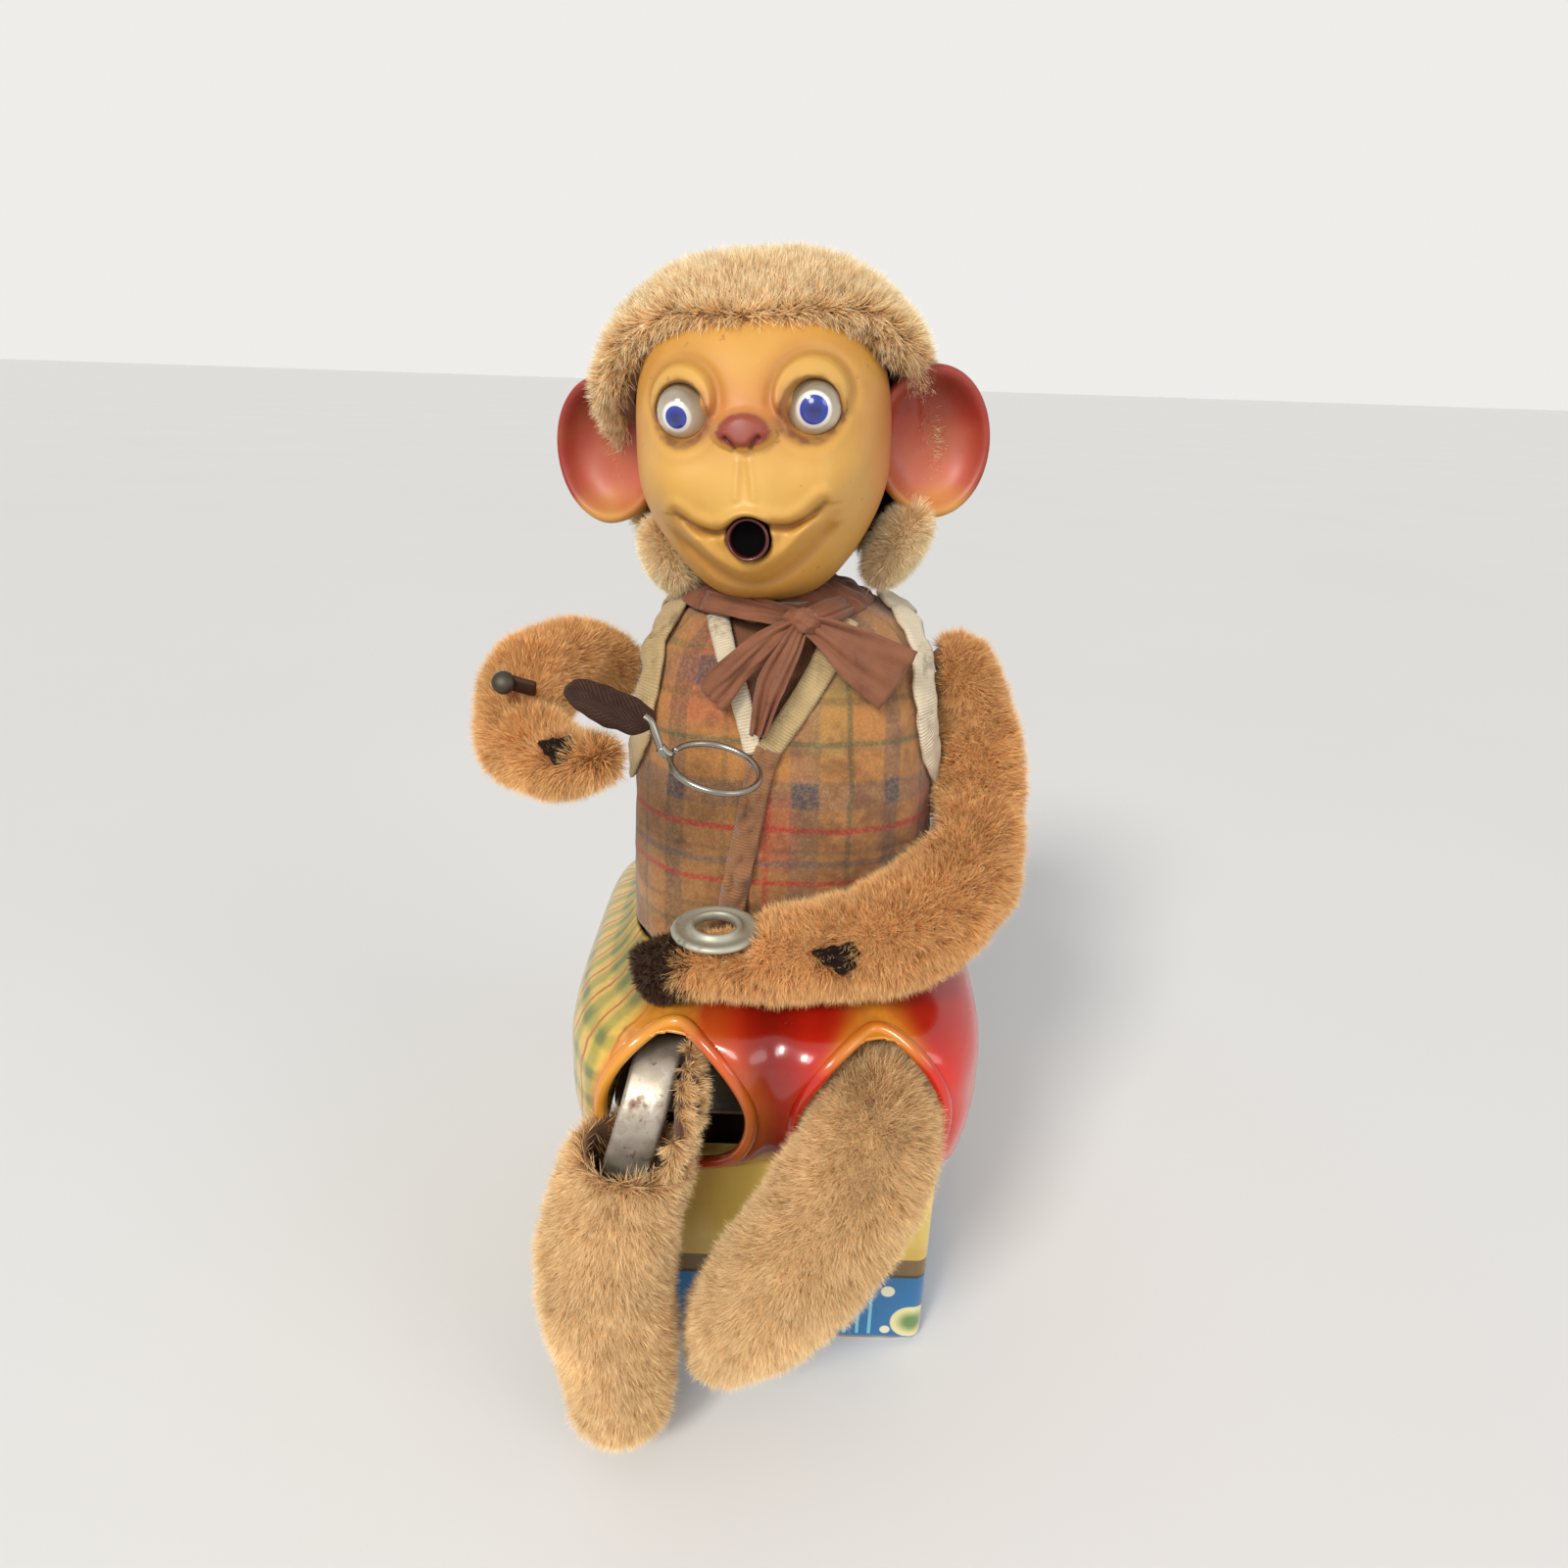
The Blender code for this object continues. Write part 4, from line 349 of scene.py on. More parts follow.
def plated(tint, dull, stain):
    """Nickelled or brass wire and small turned pieces, with tarnish."""
    def build(nodes):
        colour = nodes.mix(nodes.noise(200.0), tint, tuple(0.78 * c for c in tint))
        tarnish = nodes.use(GRIME, Scale=140.0, Amount=stain)["Mask"]
        colour = nodes.mix(nodes.times(tarnish, 0.75), colour, srgb(86, 70, 52))
        rough = nodes.plus(dull, nodes.times(tarnish, 0.3))
        bump = nodes.bump(nodes.noise(900.0), 0.12, 0.0001)
        return {"Base Color": colour, "Roughness": rough, "Normal": bump}
    return build


def moulded(tint, dark, scale=90.0):
    """Moulded plastic, fibre board or rubber, with a faint grain."""
    def build(nodes):
        colour = nodes.mix(nodes.noise(scale, 4.0), tint, dark)
        colour = dirty(nodes, colour, srgb(60, 44, 30), 80.0, 0.35, 0.4)
        return {"Base Color": colour, "Normal": nodes.bump(nodes.noise(800.0, 3.0), 0.2, 0.0001)}
    return build


def cell_label(nodes):
    """A dry cell: a plain dark sleeve with a coppery upper band and bright ends."""
    z = nodes.split(nodes.place())[2]
    colour = nodes.mix(nodes.rise(z, 0.047, 0.0472), srgb(34, 36, 44), srgb(184, 116, 62))
    ends = nodes.most(nodes.rise(z, 0.0625, 0.0627), nodes.rest(nodes.rise(z, 0.0052, 0.0054)))
    colour = nodes.mix(ends, colour, srgb(176, 176, 172))
    colour = dirty(nodes, colour, srgb(80, 70, 60), 90.0, 0.4, 0.4)
    return {"Base Color": colour, "Metallic": nodes.times(ends, 0.8)}


def pile(root, middle, tip):
    """Plush strands: dark at the root, partly the plush's own tone and partly painted shade deep in the pile,
    pale at the tip, unlike from tuft to tuft.
    """
    def build(nodes):
        along, strand, tuft = nodes.channels(nodes.attribute("pile"))
        # Darker towards the root: partly painted shade deep in the pile
        low = nodes.mix(nodes.rise(along, 0.0, 0.5), root, middle)
        colour = nodes.mix(nodes.rise(along, 0.45, 1.0), low, tip)
        tone = nodes.plus(0.7, nodes.times(strand, 0.36))
        tone = nodes.plus(tone, nodes.times(tuft, 0.24))
        patch = nodes.plus(0.8, nodes.times(nodes.noise(70.0, 2.0), 0.4))
        tone = nodes.times(tone, patch)
        grey = nodes.add("ShaderNodeCombineColor", {0: tone, 1: tone, 2: tone}).outputs[0]
        return {"Base Color": nodes.mix(1.0, colour, grey, "MULTIPLY")}
    return build


def backing(dark, light):
    """The woven backing under the pile, which shows where the plush is worn or torn."""
    def build(nodes):
        colour = nodes.mix(nodes.noise(300.0, 4.0), dark, light)
        return {"Base Color": colour, "Normal": nodes.bump(nodes.noise(900.0, 3.0), 0.6, 0.0004)}
    return build


# Plaid lines: place (mm round from the front middle, or height), half width, strength, colour
SLATE, OLIVE, BRICK, CHARCOAL = srgb(60, 72, 84), srgb(72, 80, 48), srgb(170, 40, 32), srgb(58, 56, 52)
CRIMSON, MOSS, UMBER, STORM = srgb(176, 32, 30), srgb(70, 84, 50), srgb(112, 76, 38), srgb(58, 66, 80)
PLAID_UPRIGHTS = (
    (4.6, 3.3, 0.30, SLATE), (14.4, 0.6, 0.62, OLIVE), (24.2, 1.9, 0.45, srgb(56, 62, 72)),
    (-3.4, 0.7, 0.55, BRICK), (-13.0, 0.6, 0.35, srgb(96, 76, 40)), (-24.5, 2.4, 0.45, CHARCOAL),
    (33.5, 0.6, 0.5, OLIVE), (42.5, 3.3, 0.3, SLATE), (52.0, 0.7, 0.55, BRICK),
    (-34.0, 0.6, 0.5, OLIVE), (-43.5, 3.3, 0.3, SLATE), (-53.0, 0.7, 0.55, BRICK),
    (62.0, 2.4, 0.4, CHARCOAL), (-62.5, 2.4, 0.4, CHARCOAL), (72.0, 0.6, 0.5, OLIVE),
    (-72.0, 0.6, 0.5, OLIVE), (82.0, 3.3, 0.3, SLATE), (-82.0, 3.3, 0.3, SLATE), (93.0, 0.7, 0.55, BRICK))
PLAID_LEVELS = (
    (139.6, 0.65, 0.8, CRIMSON), (127.2, 0.65, 0.7, CRIMSON), (158.6, 0.6, 0.6, MOSS),
    (167.6, 0.7, 0.5, UMBER), (147.4, 2.9, 0.28, STORM), (131.8, 0.8, 0.5, srgb(62, 74, 84)),
    (134.6, 0.5, 0.35, srgb(90, 70, 40)),
    (115.0, 0.7, 0.5, MOSS), (120.5, 0.7, 0.5, UMBER), (176.5, 0.6, 0.4, MOSS), (172.2, 2.6, 0.16, STORM))
# Dark crossings of two lines: place round, height, half width, half height
PLAID_BLOTS = (
    (4.6, 147.2, 2.9, 2.8), (-19.4, 172.3, 2.6, 3.0), (24.4, 147.6, 1.9, 2.8), (-24.5, 147.4, 2.2, 2.8),
    (42.5, 147.2, 2.9, 2.8), (-43.5, 172.3, 2.6, 2.8), (62.0, 147.2, 2.2, 2.8), (-62.5, 147.2, 2.2, 2.8))
# Where brick red shows more: place round, half width, soft edge, then height, half height, soft edge
PLAID_BRICKS = ((-2.5, 5.5, 1.5, 139.0, 8.5, 2.5), (-19.0, 8.0, 3.0, 173.0, 11.0, 3.0),
                (40.0, 8.0, 3.0, 139.0, 9.0, 3.0))


def plaid_flannel(nodes):
    """Faded brushed flannel in ochre, orange and brick, with soft printed lines."""
    cloth = nodes.map("cloth")
    wander = nodes.times(nodes.minus(nodes.noise(60.0, 2.0), 0.5), 1.6)
    u, v = (nodes.plus(nodes.times(cloth[k], 10.0), wander) for k in (0, 1))
    ochre = nodes.mix(nodes.noise(420.0, 3.0), srgb(144, 96, 52), srgb(174, 120, 66))
    olive = nodes.times(nodes.band(u, 10.0, 4.6, 2.0), nodes.rise(v, 148.0, 160.0))
    colour = nodes.mix(nodes.times(olive, 0.45), ochre, srgb(150, 138, 72))
    orange = nodes.plus(nodes.band(v, 163.0, 3.6, 1.2), nodes.band(v, 153.5, 3.2, 1.2))
    colour = nodes.mix(nodes.times(orange, 0.35), colour, srgb(196, 124, 52))
    brick = None
    for across, half_width, soft, up, half_height, soft_up in PLAID_BRICKS:
        area = nodes.times(nodes.band(u, across, half_width, soft), nodes.band(v, up, half_height, soft_up))
        brick = area if brick is None else nodes.most(brick, area)
    colour = nodes.mix(nodes.times(brick, 0.66), colour, srgb(172, 86, 58))
    for way, lines in ((u, PLAID_UPRIGHTS), (v, PLAID_LEVELS)):
        for place, half, strength, tint in lines:
            colour = nodes.mix(nodes.times(nodes.band(way, place, half, 0.35), strength), colour, tint)
    for across, up, half_width, half_height in PLAID_BLOTS:
        blot = nodes.times(nodes.band(u, across, half_width, 0.4), nodes.band(v, up, half_height, 0.4))
        colour = nodes.mix(nodes.times(blot, 0.66), colour, srgb(44, 54, 70))
    nap = nodes.noise(1500.0, 3.0, 0.7)
    colour = nodes.mix(nodes.times(nodes.rise(nap, 0.4, 0.7), 0.25), colour, srgb(214, 170, 108))
    colour = dirty(nodes, colour, srgb(84, 50, 30), 50.0, 0.75, 0.55)
    weave = nodes.use(WEAVE, Threads=16.0)["Height"]
    height = nodes.plus(nodes.times(weave, 0.5), nap)
    return {"Base Color": colour, "Normal": nodes.bump(height, 0.45, 0.0004)}


def woven(light, dark, threads, dirt=0.5, height=0.5):
    """A plain narrow cloth: binding tape, satin ribbon or lining."""
    def build(nodes):
        weave = nodes.use(WEAVE, Threads=threads)["Height"]
        colour = nodes.mix(nodes.noise(180.0, 4.0), light, dark)
        colour = nodes.mix(nodes.times(weave, 0.25), colour, dark)
        colour = dirty(nodes, colour, tuple(0.3 * c for c in dark), 90.0, dirt, 0.6)
        rough = nodes.plus(0.55, nodes.times(nodes.noise(300.0), 0.25))
        return {"Base Color": colour, "Roughness": rough, "Normal": nodes.bump(weave, height, 0.0003)}
    return build


def grosgrain(light, dark):
    """Ribbed binding tape: ribs across its width."""
    def build(nodes):
        ribs = nodes.plus(0.5, nodes.times(nodes.math("SINE", nodes.times(nodes.map("cloth")[1], 95.0)), 0.5))
        colour = nodes.mix(nodes.noise(160.0, 4.0), light, dark)
        # Painted shade: darker in the valleys between the ribs
        colour = nodes.mix(nodes.times(nodes.rest(ribs), 0.22), colour, tuple(0.55 * c for c in dark))
        colour = dirty(nodes, colour, srgb(70, 52, 34), 75.0, 0.62, 0.6)
        return {"Base Color": colour, "Normal": nodes.bump(ribs, 0.55, 0.0003)}
    return build


def painted_vinyl(nodes):
    """Soft vinyl with airbrushed colour, painted shade and painted highlights, which the mesh carries as
    paint, and handling grime.
    """
    colour = nodes.attribute("paint")
    mottle = nodes.noise(110.0, 4.0, 0.6)
    colour = nodes.mix(nodes.times(nodes.rise(mottle, 0.4, 0.75), 0.16), colour, srgb(176, 122, 56))
    specks = nodes.rise(nodes.noise(420.0, 2.0, 0.5), 0.7, 0.76)
    colour = nodes.mix(nodes.times(specks, 0.35), colour, srgb(104, 58, 24))
    fine = nodes.noise(900.0, 3.0)
    rough = nodes.plus(0.36, nodes.times(mottle, 0.18))
    return {"Base Color": colour, "Roughness": rough, "Normal": nodes.bump(fine, 0.06, 0.0002)}


def eye_paint(centre, look, pupil):
    """A pearly dome over a round blue pupil with a white edge, darker towards the top as painted shadow of the
    lid; look is where the pupil faces.
    """
    def build(nodes):
        from_centre = nodes.add("ShaderNodeVectorMath", {0: nodes.place(), 1: centre}, operation="SUBTRACT")
        aim = nodes.add("ShaderNodeVectorMath", {0: from_centre.outputs[0]}, operation="NORMALIZE").outputs[0]
        off = nodes.add("ShaderNodeVectorMath", {0: aim, 1: look}, operation="DISTANCE").outputs["Value"]
        up = nodes.split(aim)[2]
        # Painted shadow of the upper lid: darker towards the dome's top
        pearl = nodes.mix(nodes.rise(up, -0.6, 0.8), srgb(196, 184, 162), srgb(122, 104, 80))
        pearl = nodes.mix(nodes.times(nodes.noise(320.0), 0.4), pearl, srgb(200, 192, 176))
        white = nodes.rest(nodes.rise(off, pupil + 0.1, pupil + 0.2))
        colour = nodes.mix(nodes.times(white, 0.85), pearl, srgb(232, 230, 224))
        blue = nodes.mix(nodes.rise(off, pupil * 0.25, pupil), srgb(14, 28, 112), srgb(18, 48, 156))
        colour = nodes.mix(nodes.rest(nodes.rise(off, pupil - 0.02, pupil + 0.02)), colour, blue)
        core = nodes.rest(nodes.rise(off, pupil * 0.1, pupil * 0.5))
        colour = nodes.mix(nodes.times(core, 0.45), colour, srgb(12, 16, 70))
        return {"Base Color": colour}
    return build


SOFT = {"Roughness": 0.85, "Sheen_Weight": 0.25, "Sheen_Roughness": 0.5}
PILE = {"Roughness": 0.5, "Specular_IOR_Level": 0.35}
GINGER_PILE = finish("ginger_pile", pile(srgb(142, 84, 42), srgb(216, 150, 88), srgb(255, 214, 148)), **PILE)
DARK_PILE = finish("dark_flock", pile(srgb(24, 14, 8), srgb(50, 32, 20), srgb(92, 62, 40)), **PILE)
TAN_PILE = finish("tan_pile", pile(srgb(138, 98, 58), srgb(218, 172, 116), srgb(255, 226, 172)), **PILE)
PALE_PILE = finish("pale_pile", pile(srgb(176, 126, 76), srgb(240, 198, 138), srgb(255, 244, 206)), **PILE)
GINGER_BACK = finish("ginger_backing", backing(srgb(120, 72, 42), srgb(168, 112, 70)), **SOFT)
TAN_BACK = finish("tan_backing", backing(srgb(112, 74, 42), srgb(170, 126, 82)), **SOFT)
PALE_BACK = finish("pale_backing", backing(srgb(104, 64, 38), srgb(150, 104, 64)), **SOFT)
BOX_PRINT = finish("printed_box_tin", printed_box, Coat_Weight=0.3, Coat_Roughness=0.12)
PANTS_PRINT = finish("printed_pants_tin", printed_pants, Coat_Weight=0.35, Coat_Roughness=0.08)
PLAIN_TIN = finish("plain_tin", bare_tin(0.35))
WORN_STRIP = finish("worn_strip_steel", bare_tin(0.62))
NICKEL = finish("nickelled_wire", plated(srgb(158, 152, 142), 0.28, 0.45), Metallic=1.0)
STEEL = finish("steel_pieces", plated(srgb(168, 166, 162), 0.3, 0.3), Metallic=1.0)
BRASS = finish("brass_pieces", plated(srgb(206, 164, 88), 0.28, 0.4), Metallic=1.0)
NYLON = finish("nylon_pieces", moulded(srgb(226, 218, 196), srgb(202, 190, 160)), Roughness=0.5)
FIBRE = finish("fibre_board", moulded(srgb(120, 78, 48), srgb(84, 50, 30)), Roughness=0.75)
RUBBER = finish("rubber_tube", moulded(srgb(30, 26, 24), srgb(16, 14, 13)), Roughness=0.6)
CELL = finish("dry_cell", cell_label, Roughness=0.38)
FLANNEL = finish("plaid_flannel", plaid_flannel, **SOFT)
TAPE = finish("binding_tape", grosgrain(srgb(212, 186, 132), srgb(170, 142, 96)), **SOFT)
PALE_TAPE = finish("pale_binding_tape", grosgrain(srgb(240, 226, 198), srgb(206, 186, 150)), **SOFT)
BROWN_TAPE = finish("brown_binding_tape", grosgrain(srgb(172, 120, 76), srgb(128, 82, 50)), **SOFT)
SATIN = finish("rust_satin", woven(srgb(156, 98, 64), srgb(106, 60, 38), 26.0, 0.5, 0.3),
               Sheen_Weight=0.25, Sheen_Roughness=0.35)
LINING = finish("vest_lining", woven(srgb(150, 96, 58), srgb(104, 60, 34), 18.0), **SOFT)
DARK_METAL = finish("dark_metal", plated(srgb(78, 72, 62), 0.5, 0.5), Metallic=0.8)
DULL_TIN = finish("dull_cup_tin", plated(srgb(182, 180, 162), 0.5, 0.5), Metallic=0.55)
# A near-black cloth that paints the shadow inside the torn holes
HOLE_SHADOW = finish("hole_shadow", woven(srgb(40, 22, 12), srgb(18, 10, 6), 12.0, 0.3, 0.8),
                    Specular_IOR_Level=0.15)
DARK_CLOTH = finish("dark_cloth", woven(srgb(78, 46, 28), srgb(36, 20, 12), 10.0, 0.5, 1.0),
                    Specular_IOR_Level=0.3)
TORN_CLOTH = finish("torn_cloth", woven(srgb(124, 82, 52), srgb(84, 50, 32), 16.0, 0.5, 0.7), **SOFT)
VINYL = finish("painted_vinyl", painted_vinyl, Subsurface_Weight=0.06, Subsurface_Scale=0.003)
EYELET = finish("eyelet_enamel", moulded(srgb(96, 24, 20), srgb(52, 14, 12)), Roughness=0.3, Coat_Weight=0.4)
SHADOW = finish("dark_bore", moulded(srgb(5, 3, 3), srgb(2, 1, 1)), Roughness=1.0, Specular_IOR_Level=0.1)


# Mesh helpers: points are in millimetres

def outward(mesh):
    """Merge doubled points and turn every face outwards."""
    work = bmesh.new()
    work.from_mesh(mesh)
    bmesh.ops.remove_doubles(work, verts=work.verts, dist=MERGE)
    bmesh.ops.recalc_face_normals(work, faces=work.faces)
    work.to_mesh(mesh)
    work.free()


def add_piece(name, points, faces, material, corners=None, uv_name="cloth"):
    mesh = bpy.data.meshes.new(name)
    mesh.from_pydata((np.asarray(points, float) * MM).tolist(), [], faces)
    if corners is not None:
        layer = mesh.uv_layers.new(name=uv_name)
        layer.data.foreach_set("uv", np.asarray(corners, np.float32).ravel())
    outward(mesh)
    mesh.materials.append(material)
    mesh.shade_smooth()
    thing = bpy.data.objects.new(name, mesh)
    scene.collection.objects.link(thing)
    return thing


def choose(*things):
    """Select only these, with the first one active."""
    bpy.ops.object.select_all(action="DESELECT")
    for thing in things:
        thing.select_set(True)
    bpy.context.view_layer.objects.active = things[0]


def modify(thing, kind, **settings):
    """Add a modifier and apply it."""
    step = thing.modifiers.new(kind.lower(), kind)
    for key, value in settings.items():
        setattr(step, key, value)
    choose(thing)
    bpy.ops.object.modifier_apply(modifier=step.name)


def shell(thing, wall, offset=-1):
    """Give a skin a wall, in millimetres: inwards, or to both sides with offset 0."""
    modify(thing, "SOLIDIFY", thickness=wall * MM, offset=offset)


def smooth_edges(thing, degrees):
    choose(thing)
    bpy.ops.object.shade_smooth_by_angle(angle=math.radians(degrees))
    return thing


def join_all(things, name):
    choose(*things)
    bpy.ops.object.join()
    things[0].name = name
    return things[0]


def loft_faces(count, around, closed=True, skip=None):
    """Faces of a skin through rings of points, each face's corners given as (ring, place) too."""
    faces, cells = [], []
    for k in range(count - 1):
        for i in range(around if closed else around - 1):
            if skip is not None and skip(k, i):
                continue
            j = (i + 1) % around
            faces.append((k * around + i, k * around + j, (k + 1) * around + j, (k + 1) * around + i))
            cells.append(((k, i), (k, i + 1), (k + 1, i + 1), (k + 1, i)))
    return faces, cells


def loft_open(rings, away):
    """Points, faces and cells of a closed skin without the cells that touch a place marked as away."""
    around = rings.shape[1]

    def skip(k, i):
        j = (i + 1) % around
        return away[k, i] or away[k, j] or away[k + 1, i] or away[k + 1, j]

    faces, cells = loft_faces(len(rings), around, True, skip)
    used = sorted({v for face in faces for v in face})
    renumber = {v: n for n, v in enumerate(used)}
    return rings.reshape(-1, 3)[used], [tuple(renumber[v] for v in face) for face in faces], cells


def loft(name, rings, material, closed=True, poles=(None, None), uv=None):
    """A skin through rings of points, closed at each end by a pole if one is given."""
    rings = np.asarray(rings, float)
    count, around = rings.shape[:2]
    points = rings.reshape(-1, 3)
    faces, cells = loft_faces(count, around, closed)
    corners = None
    if uv is not None:
        corners = [uv(k, i) for cell in cells for k, i in cell]
    for pole, first in zip(poles, (0, (count - 1) * around)):
        if pole is None:
            continue
        points = np.vstack([points, pole])
        for i in range(around):
            faces.append((first + i, first + (i + 1) % around, len(points) - 1))
            if corners is not None:
                corners += [uv(0, i)] * 3
    return add_piece(name, points, faces, material, corners)


def spline(points, steps):
    """Points on a smooth curve through the given ones (Catmull-Rom), with further columns carried along."""
    p = np.asarray(points, float)
    p = np.vstack([2 * p[0] - p[1], p, 2 * p[-1] - p[-2]])
    out = []
    for i in range(1, len(p) - 2):
        for s in range(steps):
            t = s / steps
            out.append(0.5 * (2 * p[i] + (p[i + 1] - p[i - 1]) * t
                              + (2 * p[i - 1] - 5 * p[i] + 4 * p[i + 1] - p[i + 2]) * t ** 2
                              + (3 * p[i] - p[i - 1] - 3 * p[i + 1] + p[i + 2]) * t ** 3))
    out.append(p[-2])
    return np.array(out)


def unit(v):
    v = np.asarray(v, float)
    return v / np.maximum(np.linalg.norm(v, axis=-1, keepdims=True), 1e-9)


def circle(count):
    return np.linspace(0, 2 * math.pi, count, endpoint=False)


def lengths_along(path):
    """The distance along a path at each of its points."""
    return np.concatenate([[0], np.cumsum(np.linalg.norm(np.diff(path, axis=0), axis=1))])


def moved(points, matrix):
    """Points carried by a placement."""
    matrix = np.array(matrix)
    return np.asarray(points, float) @ matrix[:3, :3].T + matrix[:3, 3]


def spokes(angles, across, up):
    """Directions round a path's point, one for each angle."""
    return np.outer(np.cos(angles), across) + np.outer(np.sin(angles), up)


def points_of(thing):
    """A piece's points, in millimetres."""
    return np.array([v.co for v in thing.data.vertices]) / MM


def paint_points(thing, paint):
    """Store three shares or a colour at every point, for the material to read."""
    paint = np.column_stack([paint, np.ones(len(paint))]).astype(np.float32)
    thing.data.attributes.new("paint", "FLOAT_COLOR", "POINT").data.foreach_set("color", paint.ravel())


def fetched(items, name, kind=np.float32):
    """One three-part value of every item, as rows."""
    values = np.empty(len(items) * 3, kind)
    items.foreach_get(name, values)
    return values.reshape(-1, 3)


def frames_along(centres, side):
    """An across and an up direction at each point of a path, carried along without twist."""
    tangents = unit(np.gradient(np.asarray(centres, float), axis=0))
    across = np.asarray(side, float)
    pairs = []
    for tangent in tangents:
        across = unit(across - tangent * (across @ tangent))
        pairs.append((across, np.cross(tangent, across)))
    return pairs


def lumps(points, scale, height, seed):
    """A smooth random swelling at each point, seeded by an offset."""
    return np.array([noise.noise(Vector(p) / scale + Vector((seed, 0, 0))) for p in points]) * height


def tube(name, path, radius, material, sides=16, side=(0.1, 0.2, 1), closed=False):
    """A round wire along a path; radius may vary."""
    path = np.asarray(path, float)
    radii = np.broadcast_to(radius, len(path))
    angles = circle(sides)
    rings = [c + np.outer(np.cos(angles), a) * r + np.outer(np.sin(angles), u) * r
             for c, r, (a, u) in zip(path, radii, frames_along(path, side))]
    if closed:
        faces, _ = loft_faces(len(rings) + 1, sides)
        total = len(rings) * sides
        faces = [tuple(v % total for v in face) for face in faces]
        return add_piece(name, np.concatenate(rings), faces, material)
    return loft(name, rings, material, poles=(path[0], path[-1]))


# How much a stuffed sleeve's skin swells and dips, in millimetres
SLEEVE_LUMP = 1.1


def sleeve_skin(name, stations, material, side, seed, end_depth=0.8, open_end=False):
    """A stuffed plush sleeve through (x, y, z, radius) stations, with a rounded far end."""
    path = spline(stations, 8)
    end, radius = path[-1, :3], path[-1, 3]
    tangent = unit(end - path[-2, :3])
    caps = [np.append(end + tangent * radius * end_depth * r, radius * math.sqrt(1 - r ** 2))
            for r in np.linspace(0, 1, 9)[1:-1]]
    path = np.vstack([path, caps])
    angles = circle(56)
    rings = []
    for place, (across, up) in zip(path, frames_along(path[:, :3], side)):
        out = spokes(angles, across, up)
        base = place[:3] + out * place[3]
        swell = lumps(base, 9.0, SLEEVE_LUMP, seed) + lumps(base, 4.0, SLEEVE_LUMP * 0.4, seed + 7)
        share = min(1.0, place[3] / stations[-1][3])
        rings.append(base + out * (swell * share)[:, None])
    tip = path[-1, :3] + tangent * path[-1, 3] * 0.1
    skin = loft(name, rings, material, poles=(None if open_end else path[0, :3], tip))
    if open_end:
        shell(skin, 0.7)
    return skin


# How many strands share a tuft
STRANDS_A_TUFT = 9


def fur(name, skin, material, count, length, seed, comb, keep=None, tall=None, width=0.24):
    """Plush pile on a skin: one thin blade a strand, leaning together in small tufts, as one mesh."""
    mesh = skin.data
    mesh.calc_loop_triangles()
    places = fetched(mesh.vertices, "co") / MM
    normals = fetched(mesh.vertex_normals, "vector")
    corners = fetched(mesh.loop_triangles, "vertices", np.int32)
    a, b, c = (places[corners[:, k]] for k in range(3))
    weight = np.linalg.norm(np.cross(b - a, c - a), axis=1) / 2
    if keep is not None:
        weight = weight * keep((a + b + c) / 3, unit(np.cross(b - a, c - a)))
    rng = np.random.default_rng(seed)
    pick = rng.choice(len(corners), count, p=weight / weight.sum())
    r1 = np.sqrt(rng.random(count))[:, None]
    r2 = rng.random(count)[:, None]
    shares = np.hstack([1 - r1, r1 * (1 - r2), r1 * r2])
    root = sum(places[corners[pick, k]] * shares[:, k:k + 1] for k in range(3))
    normal = unit(sum(normals[corners[pick, k]] * shares[:, k:k + 1] for k in range(3)))

    tufts = max(1, count // STRANDS_A_TUFT)
    tree = kdtree.KDTree(tufts)
    for i in range(tufts):
        tree.insert(root[i], i)
    tree.balance()
    near = np.array([tree.find(p)[1] for p in root])
    tuft_lean = rng.normal(0, 1, (tufts, 3)) * 0.5
    tuft_tone = rng.random(tufts)
    tuft_tall = 0.82 + 0.3 * rng.random(tufts)
    lean = np.asarray(comb(root, normal) if callable(comb) else np.broadcast_to(comb, root.shape), float)
    way = unit(normal + lean + tuft_lean[near] + rng.normal(0, 0.4, root.shape))
    way = unit(way + normal * np.maximum(0, 0.3 - (way * normal).sum(1))[:, None])
    high = length * (tall(root) if tall is not None else np.ones(count))
    reach = (high * tuft_tall[near] * (0.78 + 0.4 * rng.random(count)))[:, None]
    tip = root + way * reach
    goal = root[near] + unit(normal[near] + lean[near] + tuft_lean[near]) * (high * tuft_tall[near])[:, None]
    tip = tip + (goal - tip) * (0.2 * rng.random(count))[:, None]
    root = root - normal * 0.3
    side = unit(np.cross(way, normal) + rng.normal(0, 0.22, root.shape))
    flip = (np.cross(side, tip - root) * normal).sum(1) < 0
    side = np.where(flip[:, None], -side, side) * width / 2
    points = np.stack([root - side, root + side, tip], 1).reshape(-1, 3)
    strand = rng.random(count)
    colour = np.ones((count, 3, 4), np.float32)
    colour[:, :, 0] = (0.0, 0.0, 1.0)
    colour[:, :, 1] = strand[:, None]
    colour[:, :, 2] = tuft_tone[near][:, None]
    coat = bpy.data.meshes.new(name)
    coat.vertices.add(len(points))
    coat.vertices.foreach_set("co", (points * MM).astype(np.float32).ravel())
    coat.loops.add(len(points))
    coat.loops.foreach_set("vertex_index", np.arange(len(points), dtype=np.int32))
    coat.polygons.add(count)
    coat.polygons.foreach_set("loop_start", np.arange(0, len(points), 3, dtype=np.int32))
    coat.update()
    coat.attributes.new("pile", "FLOAT_COLOR", "POINT").data.foreach_set("color", colour.ravel())
    coat.materials.append(material)
    coat.shade_smooth()
    thing = bpy.data.objects.new(name, coat)
    scene.collection.objects.link(thing)
    thing.parent = skin
    return thing


